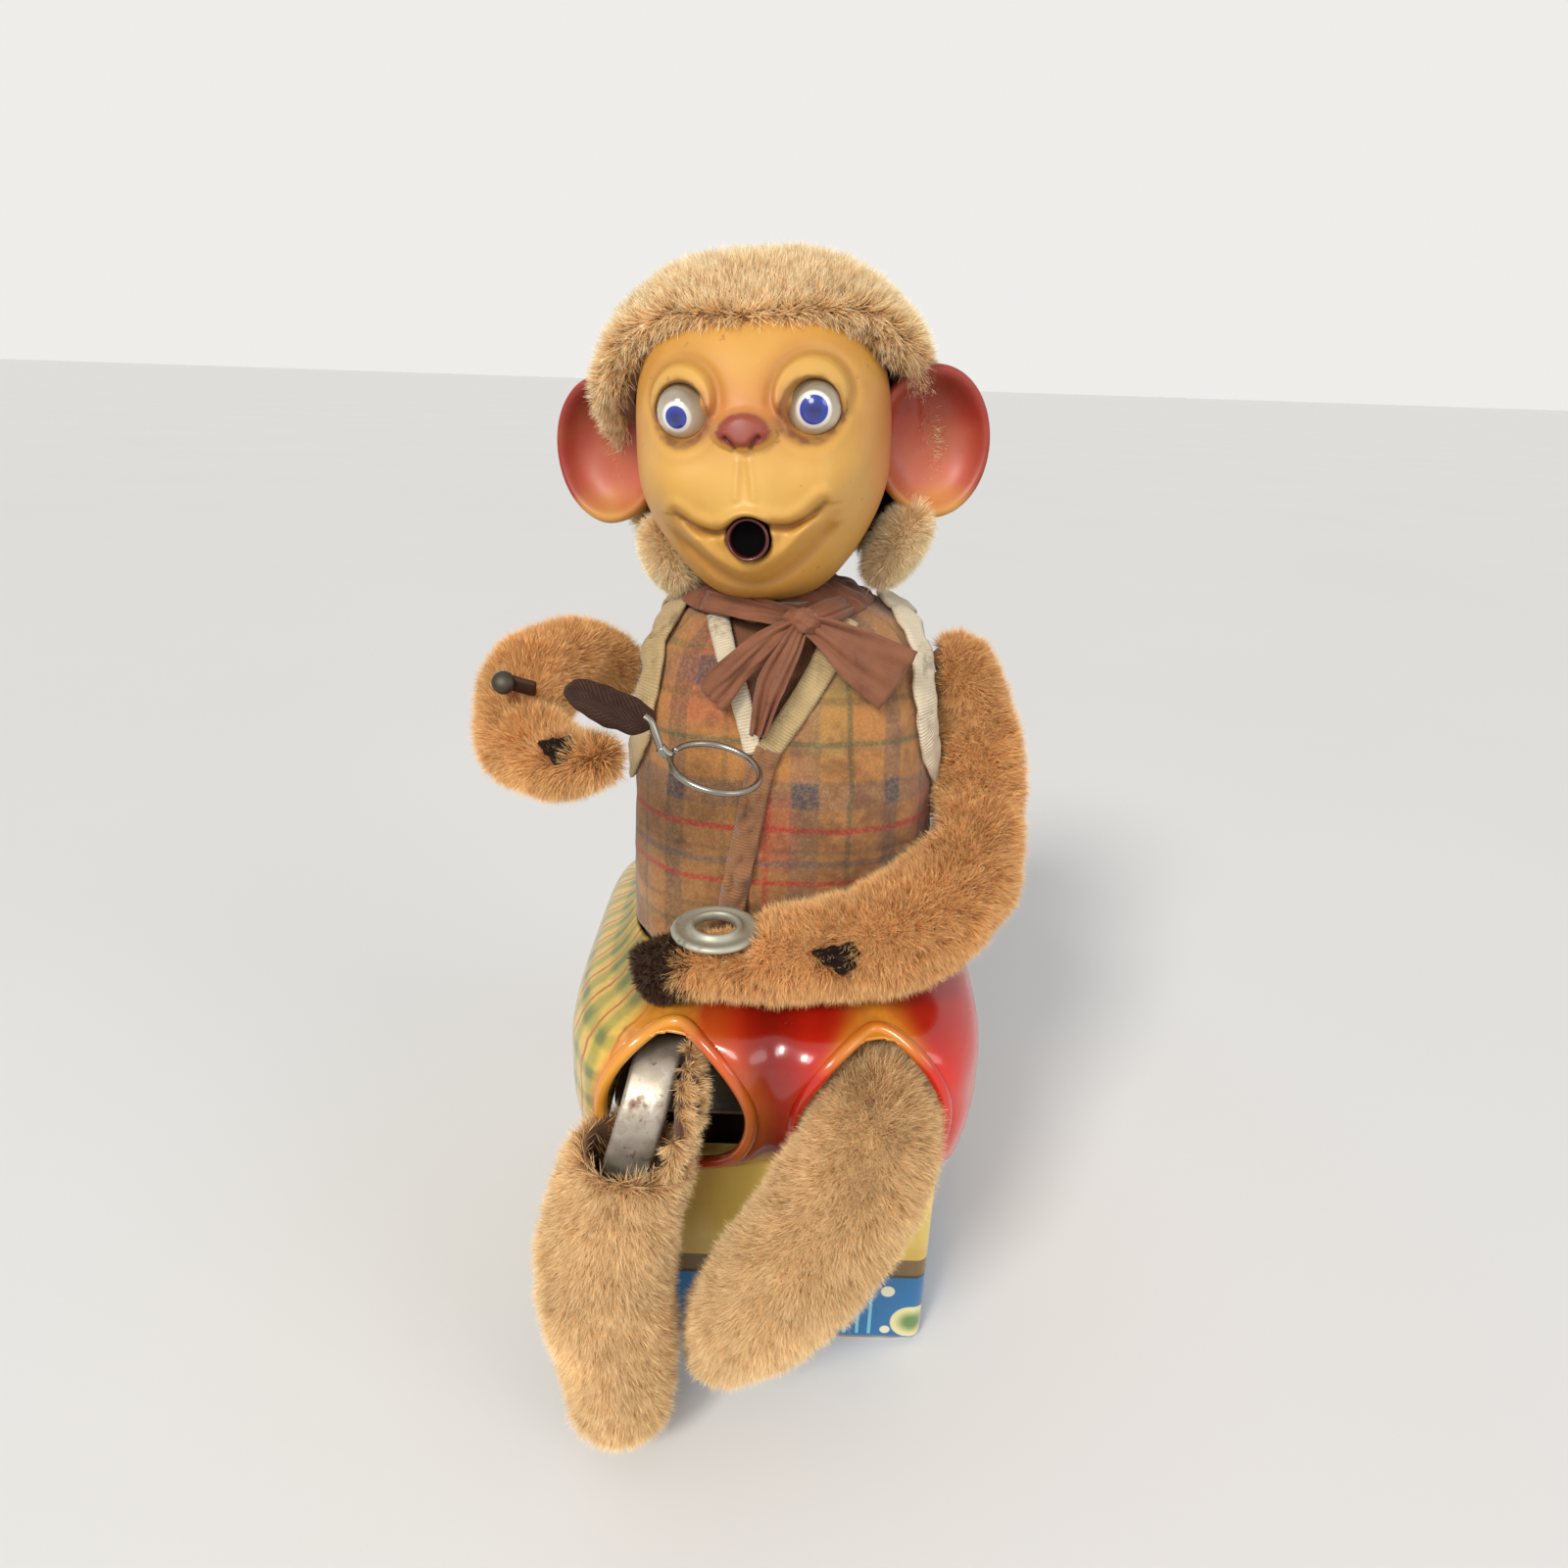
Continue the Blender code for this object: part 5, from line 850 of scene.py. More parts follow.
def section(half_width, front, rear, power, angles):
    """Places round a rounded outline: 90 degrees is the front, 270 the rear."""
    c, s = np.cos(angles), np.sin(angles)
    reach = np.where(s > 0, front, rear)
    size = (np.abs(c / half_width) ** power + np.abs(s / reach) ** power) ** (-1 / power)
    return np.stack([c * size, -s * size], 1)


def outline(half_width, front, rear, power, count):
    """Evenly spaced places round a rounded outline, from the middle of the rear by -X to the front."""
    fine = section(half_width, front, rear, power, math.pi * 1.5 - np.linspace(0, 2 * math.pi, 1441))
    along = lengths_along(fine)
    even = np.linspace(0, along[-1], count, endpoint=False)
    return np.stack([np.interp(even, along, fine[:, k]) for k in (0, 1)], 1)


def sheet_area(thing):
    return sum(face.area for face in thing.data.polygons)


def start_shape(kind, name, material, **settings):
    """Add a primitive on its own, named and with its material."""
    bpy.ops.object.select_all(action="DESELECT")
    getattr(bpy.ops.mesh, "primitive_" + kind + "_add")(**settings)
    thing = bpy.context.active_object
    thing.name = name
    thing.data.name = name
    thing.data.materials.append(material)
    return thing


def edit(thing, mode, chosen):
    """Go into edit mode with only the chosen edges or faces selected."""
    mesh = thing.data
    for group in (mesh.vertices, mesh.edges, mesh.polygons):
        group.foreach_set("select", [False] * len(group))
    items = mesh.edges if mode == "EDGE" else mesh.polygons
    for item in items:
        item.select = chosen(item)
    bpy.context.view_layer.objects.active = thing
    bpy.ops.object.mode_set(mode="EDIT")
    bpy.ops.mesh.select_mode(type=mode)


def leave_edit():
    bpy.ops.object.mode_set(mode="OBJECT")


def turned(name, profile, material, place, steps=64, wall=None):
    """A turned piece: a profile of (radius, height) spun round Z with the spin tool, then set in place."""
    mesh = bpy.data.meshes.new(name)
    points = [(r * MM, 0.0, h * MM) for r, h in profile]
    mesh.from_pydata(points, [(k, k + 1) for k in range(len(points) - 1)], [])
    thing = bpy.data.objects.new(name, mesh)
    scene.collection.objects.link(thing)
    choose(thing)
    bpy.ops.object.mode_set(mode="EDIT")
    bpy.ops.mesh.select_all(action="SELECT")
    bpy.ops.mesh.spin(steps=steps, angle=2 * math.pi, center=(0, 0, 0), axis=(0, 0, 1))
    bpy.ops.mesh.select_all(action="SELECT")
    bpy.ops.mesh.remove_doubles(threshold=MERGE)
    bpy.ops.mesh.normals_make_consistent(inside=False)
    bpy.ops.object.mode_set(mode="OBJECT")
    if wall is not None:
        shell(thing, wall)
    thing.data.transform(place)
    thing.data.materials.append(material)
    thing.data.shade_smooth()
    return thing


def metric(matrix):
    """A placement whose move is in millimetres, in metres."""
    out = matrix.copy()
    out.translation = matrix.translation * MM
    return out


# The tin box, as one printed wrap with a seam flange down each side

def tin_box():
    """A cube with its upright edges rounded, open below, with the deck's rim turned in above."""
    box = start_shape("cube", "tin_box", BOX_PRINT, size=1)
    place = Matrix.Translation(Vector(BOX_MIDDLE) * MM) @ Matrix.Diagonal((*(n * MM for n in BOX_SIZE), 1))
    box.data.transform(place)

    def upright(edge):
        a, b = (box.data.vertices[v].co for v in edge.vertices)
        return abs(a.z - b.z) > 0.05

    edit(box, "EDGE", upright)
    bpy.ops.mesh.bevel(offset=3.0 * MM, segments=8, affect="EDGES")
    leave_edit()
    edit(box, "FACE", lambda face: face.normal.z > 0.9)
    bpy.ops.mesh.inset(thickness=1.8 * MM)
    bpy.ops.mesh.delete(type="FACE")
    leave_edit()
    edit(box, "FACE", lambda face: face.normal.z < -0.9)
    bpy.ops.mesh.delete(type="FACE")
    leave_edit()
    modify(box, "BEVEL", width=0.5 * MM, segments=3, limit_method="ANGLE", angle_limit=math.radians(60))
    count = 1200
    fine = outline(39.5, 40, 41, 18, count)
    along = np.linspace(-0.5, 0.5, count, endpoint=False) * BOX_LENGTH
    tree = kdtree.KDTree(count)
    for k, (x, y) in enumerate(fine):
        tree.insert((x, y, 0), k)
    tree.balance()
    layer = box.data.uv_layers.new(name="wrap")
    for face in box.data.polygons:
        spots = []
        for loop in face.loop_indices:
            place = box.data.vertices[box.data.loops[loop].vertex_index].co / MM
            spots.append([along[tree.find((place.x, place.y, 0))[1]], place.z])
        if max(s[0] for s in spots) - min(s[0] for s in spots) > BOX_LENGTH / 2:
            for spot in spots:
                spot[0] += BOX_LENGTH if spot[0] < 0 else 0
        for loop, spot in zip(face.loop_indices, spots):
            layer.data[loop].uv = spot
    shell(box, TIN_WALL)
    smooth_edges(box, 40)
    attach(box, "root")
    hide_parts("box_front", "box_rear")
    for side, tag in SIDES:
        flange = rounded_bar("box_seam_" + tag, (side * 39.65, 0.4, 29.5), (0.35, 1.5, 28.9), PLAIN_TIN)
        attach(flange, "root")


def rounded_bar(name, middle, halves, material, bevel=0.25, turn=None):
    """A small bar with rounded edges, made from a cube."""
    bar = start_shape("cube", name, material, size=2 * MM)
    bar.data.transform(Matrix.Diagonal((*halves, 1)))
    modify(bar, "BEVEL", width=bevel * MM, segments=3)
    place = Matrix.Translation(Vector(middle) * MM)
    if turn is not None:
        place = place @ turn
    bar.data.transform(place)
    return smooth_edges(bar, 60)


# The pants pressing: (z, half width, front, rear, corner power), as in the solids
PANTS_LEVELS = ((59.3, 40.7, 41.5, 42, 16), (61, 41.7, 44, 42.5, 14), (70, 44.5, 51, 43, 8),
                (84, 47, 57.5, 44, 5), (95, 46.5, 60, 43, 4.5), (102, 43.5, 58.5, 40, 4),
                (105.5, 38, 52, 35, 3.4), (106.5, 35.3, 32.6, 30.4, 2.8))
# A leg hole: middle across, middle height, half width, half height
LEG_HOLE = (20.5, 83.0, 16.0, 22.0)
PANTS_AROUND = 340
# The leg holes are cut only in the front, beyond this place
PANTS_FRONT = -30


def hole_distance(x, z, side):
    """0 at a leg hole's edge, negative inside it, in rough millimetres."""
    u = (x - side * LEG_HOLE[0]) / LEG_HOLE[2]
    v = (z - LEG_HOLE[1]) / LEG_HOLE[3]
    return (np.sqrt(u ** 2 + v ** 2) - 1) * 18


def pants_rings():
    """Rings of the pressing, raised round the leg holes, and the UV map's width and heights."""
    levels = spline(PANTS_LEVELS, 12)
    levels[:, 0] = np.maximum.accumulate(levels[:, 0])
    rings, around_mm = [], []
    for z, half, front, rear, power in levels:
        ring = outline(half, front, rear, max(power, 2.6), PANTS_AROUND)
        around_mm.append(np.linalg.norm(np.diff(ring, axis=0), axis=1).sum())
        rings.append(np.column_stack([ring, np.full(len(ring), z)]))
    rings = np.array(rings)
    up_mm = levels[0, 0] + lengths_along(levels[:, :2])
    x, z = rings[..., 0], rings[..., 2]
    facing = np.clip((-rings[..., 1] - 30) / 12, 0, 1)
    forward = rings[..., 1] < PANTS_FRONT
    for side in (-1, 1):
        gap = hole_distance(x, z, side)
        rings[..., 1] -= 1.8 * np.exp(-((gap - 3.5) / 4.5) ** 2) * facing
        near = (np.abs(gap) < 0.8) & forward
        u, v = x - side * LEG_HOLE[0], z - LEG_HOLE[1]
        size = np.sqrt((u / LEG_HOLE[2]) ** 2 + (v / LEG_HOLE[3]) ** 2) + 1e-6
        rings[..., 0] = np.where(near, side * LEG_HOLE[0] + u / size, rings[..., 0])
        rings[..., 2] = np.where(near, LEG_HOLE[1] + v / size, rings[..., 2])
    rings[..., 1] += 3.5 * np.exp(-(x / 4.5) ** 2) * np.exp(-((z - 84) / 18) ** 2) * facing
    return rings, np.max(around_mm), up_mm


def leg_hem(side, front):
    """The rolled edge of one leg hole, laid on the pressing's front points."""
    places = []
    for turn in circle(120):
        px = side * LEG_HOLE[0] + LEG_HOLE[2] * math.cos(turn)
        pz = LEG_HOLE[1] + LEG_HOLE[3] * math.sin(turn)
        near = np.argsort((front[:, 0] - px) ** 2 + (front[:, 2] - pz) ** 2)[:6]
        places.append((px, front[near, 1].mean() + 0.1, max(pz, 60.4)))
    places = np.array(places)
    for _ in range(5):
        places[:, 1] = (np.roll(places[:, 1], 1) + places[:, 1] * 2 + np.roll(places[:, 1], -1)) / 4
    return tube("hem_and_highlight", places, 1.45, PANTS_PRINT, 16, closed=True)


def pants_paint(co):
    """Where the pressing is checked; where it is orange like a hem, with a painted highlight on the left
    hole's top; and where it is darker, as painted shade between the legs and towards the waist.
    """
    x, z = co[:, 0], co[:, 2]
    left_gap, right_gap = hole_distance(x, z, 1), hole_distance(x, z, -1)
    wander = lumps(co, 6.0, 2.0, 3)
    forward = co[:, 1] < PANTS_FRONT
    check = np.clip((-14 - x + wander) / 3, 0, 1) * np.clip((z - 62 - 0.6 * (x + 30)) / 6, 0, 1)
    check *= np.where(forward, np.clip((right_gap - 0.5) / 2, 0, 1), 1)
    right_hem = np.exp(-(np.maximum(0, right_gap) / 2.0) ** 2) * np.clip((z - 62) / 8, 0, 1)
    right_hem *= np.clip((-13.5 - x) / 8, 0.28, 1)
    # Only the top of the left hole's hem is golden: a painted highlight
    left_hem_highlight = np.exp(-(np.maximum(0, left_gap) / 1.6) ** 2) * np.clip((z - 99) / 6, 0, 1) * 0.85
    inner = np.exp(-(np.maximum(0, right_gap - 2) / 3.0) ** 2) * np.clip((x + 22) / 8, 0, 1) * 0.16
    hem_and_highlight = np.where(forward, np.maximum(np.maximum(right_hem, left_hem_highlight), inner), 0)
    # Painted shade between the legs and towards the waist
    shade = np.exp(-((x + 1) / 9) ** 2) * np.clip((-co[:, 1] - 30) / 10, 0, 1) * 0.85
    shade = np.maximum(shade, np.clip((z - 98) / 6, 0, 1) * 0.45)
    return np.column_stack([check, np.clip(hem_and_highlight, 0, 1), shade])


def pants():
    rings, wide, up_mm = pants_rings()
    x, y, z = rings[..., 0], rings[..., 1], rings[..., 2]
    in_hole = (hole_distance(x, z, -1) < -0.3) | (hole_distance(x, z, 1) < -0.3)
    points, faces, cells = loft_open(rings, in_hole & (y < PANTS_FRONT))
    corners = [(i / PANTS_AROUND * wide, up_mm[k]) for cell in cells for k, i in cell]
    trousers = add_piece("pants", points, faces, PANTS_PRINT, corners, "wrap")
    shell(trousers, TIN_WALL)
    front = points[points[:, 1] < PANTS_FRONT]
    trousers = join_all([trousers, leg_hem(-1, front), leg_hem(1, front)], "pants")
    paint_points(trousers, pants_paint(points_of(trousers)))
    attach(trousers, "root")
    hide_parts("pants_front", "pants_rear")


# The vest: torso outline plus cloth, with armholes and a V neck bound in tape
VEST_GAP = 1.4
VEST_POWER = 2.8
# The torso's half width and its reach to the front and rear, and how far each is drawn in at a height
TORSO = (34, 31, 29)
VEST_REACHES = ((109.0, 0, 0, 0), (120.0, 0, 0, 0), (145.0, 0.8, 0.5, 1), (165.0, 1.5, 3, 4),
                (175.0, 4, 7, 8), (181.0, 10, 13, 13), (184.5, 20.6, 17.6, 18.6))
# Middle and radius of an armhole, from the side, and the corners of the V neck, from the front
ARMHOLE = (-1.0, 163.0, 16.5)
V_POINTS = ((-17.0, 188.0), (-5.0, 156.0), (13.0, 188.0))


def vest_size(z):
    """The vest's half width and its reach to the front and rear, at a height."""
    table = np.array(VEST_REACHES)
    return [full - np.interp(z, table[:, 0], table[:, k + 1]) + VEST_GAP for k, full in enumerate(TORSO)]


def on_side(side, y, z, lift):
    """A place and an outward direction on the vest's side, from (y, z)."""
    half, front, rear = vest_size(z)
    reach = front if y < 0 else rear
    share = min(0.97, abs(y) / reach)
    x = half * (1 - share ** VEST_POWER) ** (1 / VEST_POWER)
    rise = np.interp(z, (160, 170, 178, 184), (0.0, 0.12, 0.8, 2.5))
    way = unit((side * (x / half) ** 1.8, np.sign(y) * share ** 1.8 * half / reach, rise))
    return np.array((side * x, y, z)) + way * lift, way


def vest():
    around = 240
    heights = np.concatenate([np.linspace(107.4, 174, 66), np.linspace(174.5, 181, 14),
                              np.linspace(181.3, 184.9, 8)])
    rings = np.array([np.column_stack([outline(*vest_size(z), VEST_POWER, around), np.full(around, z)])
                      for z in heights])
    flat = rings.reshape(-1, 3)
    creases = lumps(flat * (1, 1, 0.45), 7.0, 0.6, 11) + lumps(flat, 3.0, 0.14, 5)
    rings = (flat + unit(flat * (1, 1, 0)) * creases[:, None]).reshape(rings.shape)
    steps = np.linalg.norm(np.diff(rings[20, :, :2], axis=0), axis=1)
    along = np.concatenate([[0], np.cumsum(steps), [steps.sum() + steps[0]]])
    front = along[around // 2]
    y, z, x = rings[..., 1], rings[..., 2], rings[..., 0]
    hole = np.sqrt((y - ARMHOLE[0]) ** 2 + (z - ARMHOLE[1]) ** 2)
    side_on = np.abs(x) > 18
    near = side_on & (np.abs(hole - ARMHOLE[2]) < 0.8)
    scale = np.where(near, ARMHOLE[2] / np.maximum(hole, 1e-6), 1.0)
    rings[..., 1] = ARMHOLE[0] + (y - ARMHOLE[0]) * scale
    rings[..., 2] = ARMHOLE[1] + (z - ARMHOLE[1]) * scale
    in_hole = side_on & (hole < ARMHOLE[2] - 0.8)
    (left_x, top_z), (mid_x, low_z), (right_x, _) = V_POINTS
    share = (rings[..., 2] - low_z) / (top_z - low_z)
    in_v = (rings[..., 1] < 0) & (share > 0) & (rings[..., 0] > mid_x + (left_x - mid_x) * share) \
        & (rings[..., 0] < mid_x + (right_x - mid_x) * share)
    points, faces, cells = loft_open(rings, in_hole | in_v)
    corners = [((along[i] - front) / 10, heights[k] / 10) for cell in cells for k, i in cell]
    cloth = add_piece("plaid_vest", points, faces, FLANNEL, corners)
    area = sheet_area(cloth)
    shell(cloth, 0.9)
    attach(cloth, "root")
    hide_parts("vest")
    return cloth, area


def walled_sheet(cloth, wall, width, length, offset=0):
    """Note a sheet's flat width, length and area in metres on it, then give it its wall."""
    area = sheet_area(cloth)
    shell(cloth, wall, offset)
    cloth["flat"] = (float(width) * MM, float(length) * MM, area)
    return cloth


def strap(name, path, normals, widths, thickness, material, ruffle=0.0, seed=0, edge=0.0, across_steps=9):
    """A flat band of cloth along a path: across = along x normal; widths in millimetres, full."""
    path = np.asarray(path, float)
    normals = unit(normals)
    tangents = unit(np.gradient(path, axis=0))
    across = unit(np.cross(tangents, normals))
    widths = np.broadcast_to(widths, len(path))
    lengths = lengths_along(path)
    shares = np.linspace(-0.5, 0.5, across_steps)
    rows = []
    for place, a, n, w, s in zip(path, across, normals, widths, lengths):
        row = []
        for share in shares:
            wave = ruffle * noise.noise(Vector((s / 3.0, share * 3.0, seed)))
            lip = 1 - abs(share * 2) ** 4
            row.append(place + a * w * share + n * (wave + edge * lip))
        rows.append(row)
    rows = np.array(rows)

    def uv(k, i):
        return shares[i] * widths[k] / 10, lengths[k] / 10

    band = loft(name, rows, material, closed=False, uv=uv)
    return walled_sheet(band, thickness, widths.max(), lengths[-1])


def on_vest(points, lift):
    """Places and outward directions on the vest's front, from (x, z) points."""
    places, ways = [], []
    for x, z in points:
        half, reach, _ = vest_size(z)
        share = min(0.995, abs(x) / half)
        y = -reach * (1 - share ** VEST_POWER) ** (1 / VEST_POWER)
        rise = np.interp(z, (150, 166, 176, 184), (0.0, 0.1, 0.55, 2.2))
        way = unit((np.sign(x) * share ** 1.8, -((-y / reach) ** 1.8) * half / reach, rise))
        places.append(np.array((x, y, z)) + way * lift)
        ways.append(way)
    return np.array(places), np.array(ways)


def trims():
    """Armhole bindings, neck bindings and the front placket."""
    made = []
    for (side, tag), material in zip(SIDES, (TAPE, PALE_TAPE)):
        radius = ARMHOLE[2] + 2.5
        spots = [on_side(side, ARMHOLE[0] - radius * math.cos(t), ARMHOLE[1] + radius * math.sin(t), 0.9)
                 for t in np.linspace(-math.pi, math.pi, 110)]
        made.append(strap("armhole_tape_" + tag, *zip(*spots), 8.0, 0.7, material, 0.6, 3 + side, 0.5))
    bands = (
        ("neck_tape_left", ((11.5, 181.5), (9.0, 177.5), (6.0, 172.0), (1.2, 164.5), (-3.6, 157.0)),
         10, 0.9, (5.8, 4.8), (0.7, TAPE, 0.4, 8, 0.4)),
        ("neck_tape_right", ((-15.0, 181.5), (-12.8, 176.0), (-10.0, 169.0), (-8.0, 162.5), (-6.6, 156.5)),
         10, 0.7, (4.4, 3.4), (0.7, PALE_TAPE, 0.35, 9, 0.4)),
        ("front_placket", ((-3.4, 157.5), (-5.8, 149.0), (-7.6, 138.0), (-10.0, 124.0), (-11.5, 110.5)),
         12, 0.9, (4.8, 5.8), (0.8, BROWN_TAPE, 1.9, 10, 0.9, 13)))
    for name, points, steps, lift, widths, rest in bands:
        places, ways = on_vest(spline(points, steps), lift)
        made.append(strap(name, places, ways, np.linspace(*widths, len(places)), *rest))
    return made


def v_lining():
    rows = []
    for z in np.concatenate([np.linspace(152, 176, 14), np.linspace(177.5, 184.5, 8)]):
        share = (z - 152) / 32.5
        places, ways = on_vest([(x, z) for x in np.linspace(-5 - 17 * share, -5 + 22 * share, 16)], -0.55)
        wave = lumps(places * (1, 0, 0.25), 2.6, 0.45, 21)
        rows.append(places + ways * np.maximum(-0.1, wave)[:, None])
    lining = loft("v_lining", rows, LINING, closed=False,
                  uv=lambda k, i: (rows[k][i][0] / 10, rows[k][i][2] / 10))
    return walled_sheet(lining, 0.4, 40, 40, -1)


# Neck ribbon and bow
KNOT = (2.6, -28.2, 183.6)


def bow_cloth(name, path, widths, ways, seed, ruffle=0.9):
    """A tail or fold of satin ribbon, with creases that run down its length."""
    path = spline(path, 12)
    count = len(path)
    widths = np.interp(np.linspace(0, 1, count), np.linspace(0, 1, len(widths)), widths)
    ways = unit(spline(ways, 12))
    across = unit(np.cross(unit(np.gradient(path, axis=0)), ways))
    lengths = lengths_along(path)
    shares = np.linspace(-0.5, 0.5, 17)
    rows = []
    for k in range(count):
        squeeze = min(1.0, widths[k] / widths.max() * 1.2)
        row = []
        for share in shares:
            fold = math.sin(share * 13 + seed) * (1 - squeeze * 0.75) * 0.8
            crease = ruffle * noise.noise(Vector((share * 7 + seed, lengths[k] / 14, seed)))
            row.append(path[k] + across[k] * widths[k] * share + ways[k] * (fold + crease))
        rows.append(row)
    cloth = loft(name, rows, SATIN, closed=False,
                 uv=lambda k, i: (shares[i] * widths[k] / 10, lengths[k] / 10))
    return walled_sheet(cloth, 0.35, widths.max(), lengths[-1])


def bow_knot():
    x, y, z = KNOT
    count = 36
    angles = circle(count)
    rings = []
    for t in np.linspace(-0.97, 0.97, 21):
        size = math.sqrt(1 - t ** 2)
        ripple = 1 + 0.14 * np.sin(angles * 4 + t * 5) + 0.05 * np.sin(angles * 9 - t * 7)
        rings.append(np.column_stack([np.full(count, x + t * 3.6) + 0.5 * np.cos(angles * 2),
                                      y + np.cos(angles) * 2.6 * size * ripple,
                                      z + np.sin(angles) * 2.7 * size * ripple]))
    poles = ((x - 3.6, y, z), (x + 3.6, y, z))
    return loft("bow_knot", rings, SATIN, poles=poles, uv=lambda k, i: (i / count, k / 21))


def bow():
    """The tails with the middle fold, the knot, the ribbon round the neck and its two leads to the knot."""
    tails = [
        bow_cloth("bow_tail_left", [KNOT, (7.5, -30.0, 181.8), (14.0, -31.4, 178.0), (22.4, -29.8, 172.6)],
                  [2.8, 6.4, 11.0, 14.0], [(0, -1, 0.3), (0, -1, 0.15), (0.2, -1, 0), (0.3, -1, 0)], 1, 1.5),
        bow_cloth("bow_tail_right", [KNOT, (-2.5, -30.6, 181.2), (-9.5, -32.4, 175.5), (-15.5, -32.8, 168.6)],
                  [2.8, 5.0, 6.6, 7.6], [(0, -1, 0.4), (-0.3, -1, 0.3), (0.3, -1, -0.2), (-0.5, -1, 0.2)],
                  5, 1.6),
        bow_cloth("bow_fold_middle", [KNOT, (0.6, -31.8, 180.0), (-3.2, -33.8, 172.0), (-5.8, -34.6, 161.5)],
                  [2.6, 4.6, 6.0, 3.0], [(0, -1, 0.2), (0.4, -1, 0.1), (-0.3, -1, 0), (0.2, -1, 0)], 9, 1.4),
    ]
    knot = bow_knot()
    around = np.linspace(0, 2 * math.pi, 121)
    path = [(NECK[0] + 16.8 * math.cos(a), NECK[1] + 16.4 * math.sin(a), 185.5 - 0.9 * math.sin(a) ** 2)
            for a in around]
    ways = [(math.cos(a), math.sin(a), 2.2) for a in around]
    collar = strap("ribbon_collar", path, ways, 10.5, 0.6, SATIN, 1.0, 4, 0.7, 19)
    leads = []
    for side, tag in SIDES:
        start = (NECK[0] + side * 15.0, NECK[1] - 13.5, 185.0)
        middle = ((start[0] + KNOT[0]) / 2 + side, -22.5, 184.9)
        ways = [(side * 0.6, -0.8, 1.0), (side * 0.2, -1, 0.9), (0, -1, 0.6)]
        leads.append(bow_cloth("ribbon_lead_" + tag, [start, middle, (KNOT[0], KNOT[1] + 1.5, KNOT[2])],
                               [4.6, 5.6, 3.4], ways, 12, 1.2))
    return tails, knot, collar, leads


# Limbs: stations are (x, y, z, radius), as in the solids
RIGHT_ARM = ((-37.2, 0, 165, 9), (-39.7, -.5, 165.5, 10.5), (-46.5, -8, 169, 12), (-52.5, -22, 168.5, 12.6),
             (-52.6, -38, 162.5, 12), (-44.5, -50, 161, 10.5), (-37, -57, 163.5, 8.8), (-32.5, -60, 165.5, 7))
LEFT_ARM = ((35.7, 0, 165, 9), (38.6, 0, 165.6, 10.6), (43.8, -4, 154.0, 10.9), (43.4, -15, 139.5, 11.6),
            (38.6, -31, 128.6, 13.2), (24, -44.0, 122.6, 12.6), (3, -46.5, 118.4, 10.6), (-14, -47, 116, 8.5),
            (-23, -46.5, 115.6, 7))
RIGHT_LEG = ((-28.9, -63.5, 80.5, 13.5), (-32.6, -64.5, 66, 14.5), (-35, -64.5, 48, 15),
             (-33.5, -65.5, 31, 13.5), (-32, -67.5, 15.5, 11.5))
LEFT_LEG = ((19.5, -41, 88, 13), (19.8, -50, 87.5, 14), (20.5, -58.5, 84.5, 15), (16.5, -65, 75, 15.2),
            (8, -67.5, 60, 15.2), (0, -66, 45, 14.2), (-6.5, -62.5, 33, 12), (-9.2, -61, 25, 9.5))


def comb_along(stations, share, drop=0.15):
    """Lean of the pile: along the limb, towards its far end, and a little downwards."""
    path = spline([s[:3] for s in stations], 6)
    tangents = unit(np.gradient(path, axis=0))

    def lean(root, normal):
        near = np.argmin(((root[:, None, :] - path[None]) ** 2).sum(2), axis=1)
        return tangents[near] * share + np.array((0, 0, -drop))
    return lean


def thinner(stations, amount):
    return [(*s[:3], max(2.0, s[3] - amount)) for s in stations]


def near_spot(places, spot, radius):
    return ((places - np.array(spot)) ** 2).sum(1) < radius ** 2


def torn_hole(name, spot, way, size, body):
    """A worn hole in the plush: a small dark dished patch with an uneven edge, a dark sheet that paints the
    shadow inside the hole.
    """
    way = unit(way)
    across = unit(np.cross(way, (0, 0, 1)))
    up = np.cross(across, way)
    turns = circle(40)
    edge = 1 + 0.22 * np.sin(turns * 3 + 1) + 0.12 * np.sin(turns * 7)
    rings = []
    for share, depth in ((1.0, -0.6), (0.96, 0.35), (0.8, 0.5), (0.55, 0.0), (0.25, -0.4)):
        flat = np.outer(np.cos(turns) * edge * size[0] * share, across) \
            + np.outer(np.sin(turns) * edge * size[1] * share, up)
        rings.append(np.array(spot) + flat + way * depth)
    poles = (None, np.array(spot) - way * 0.5)
    patch = loft(name, rings, HOLE_SHADOW, poles=poles, uv=lambda k, i: (i * 0.05, k * 0.1))
    shell(patch, 0.3)
    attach(patch, body)


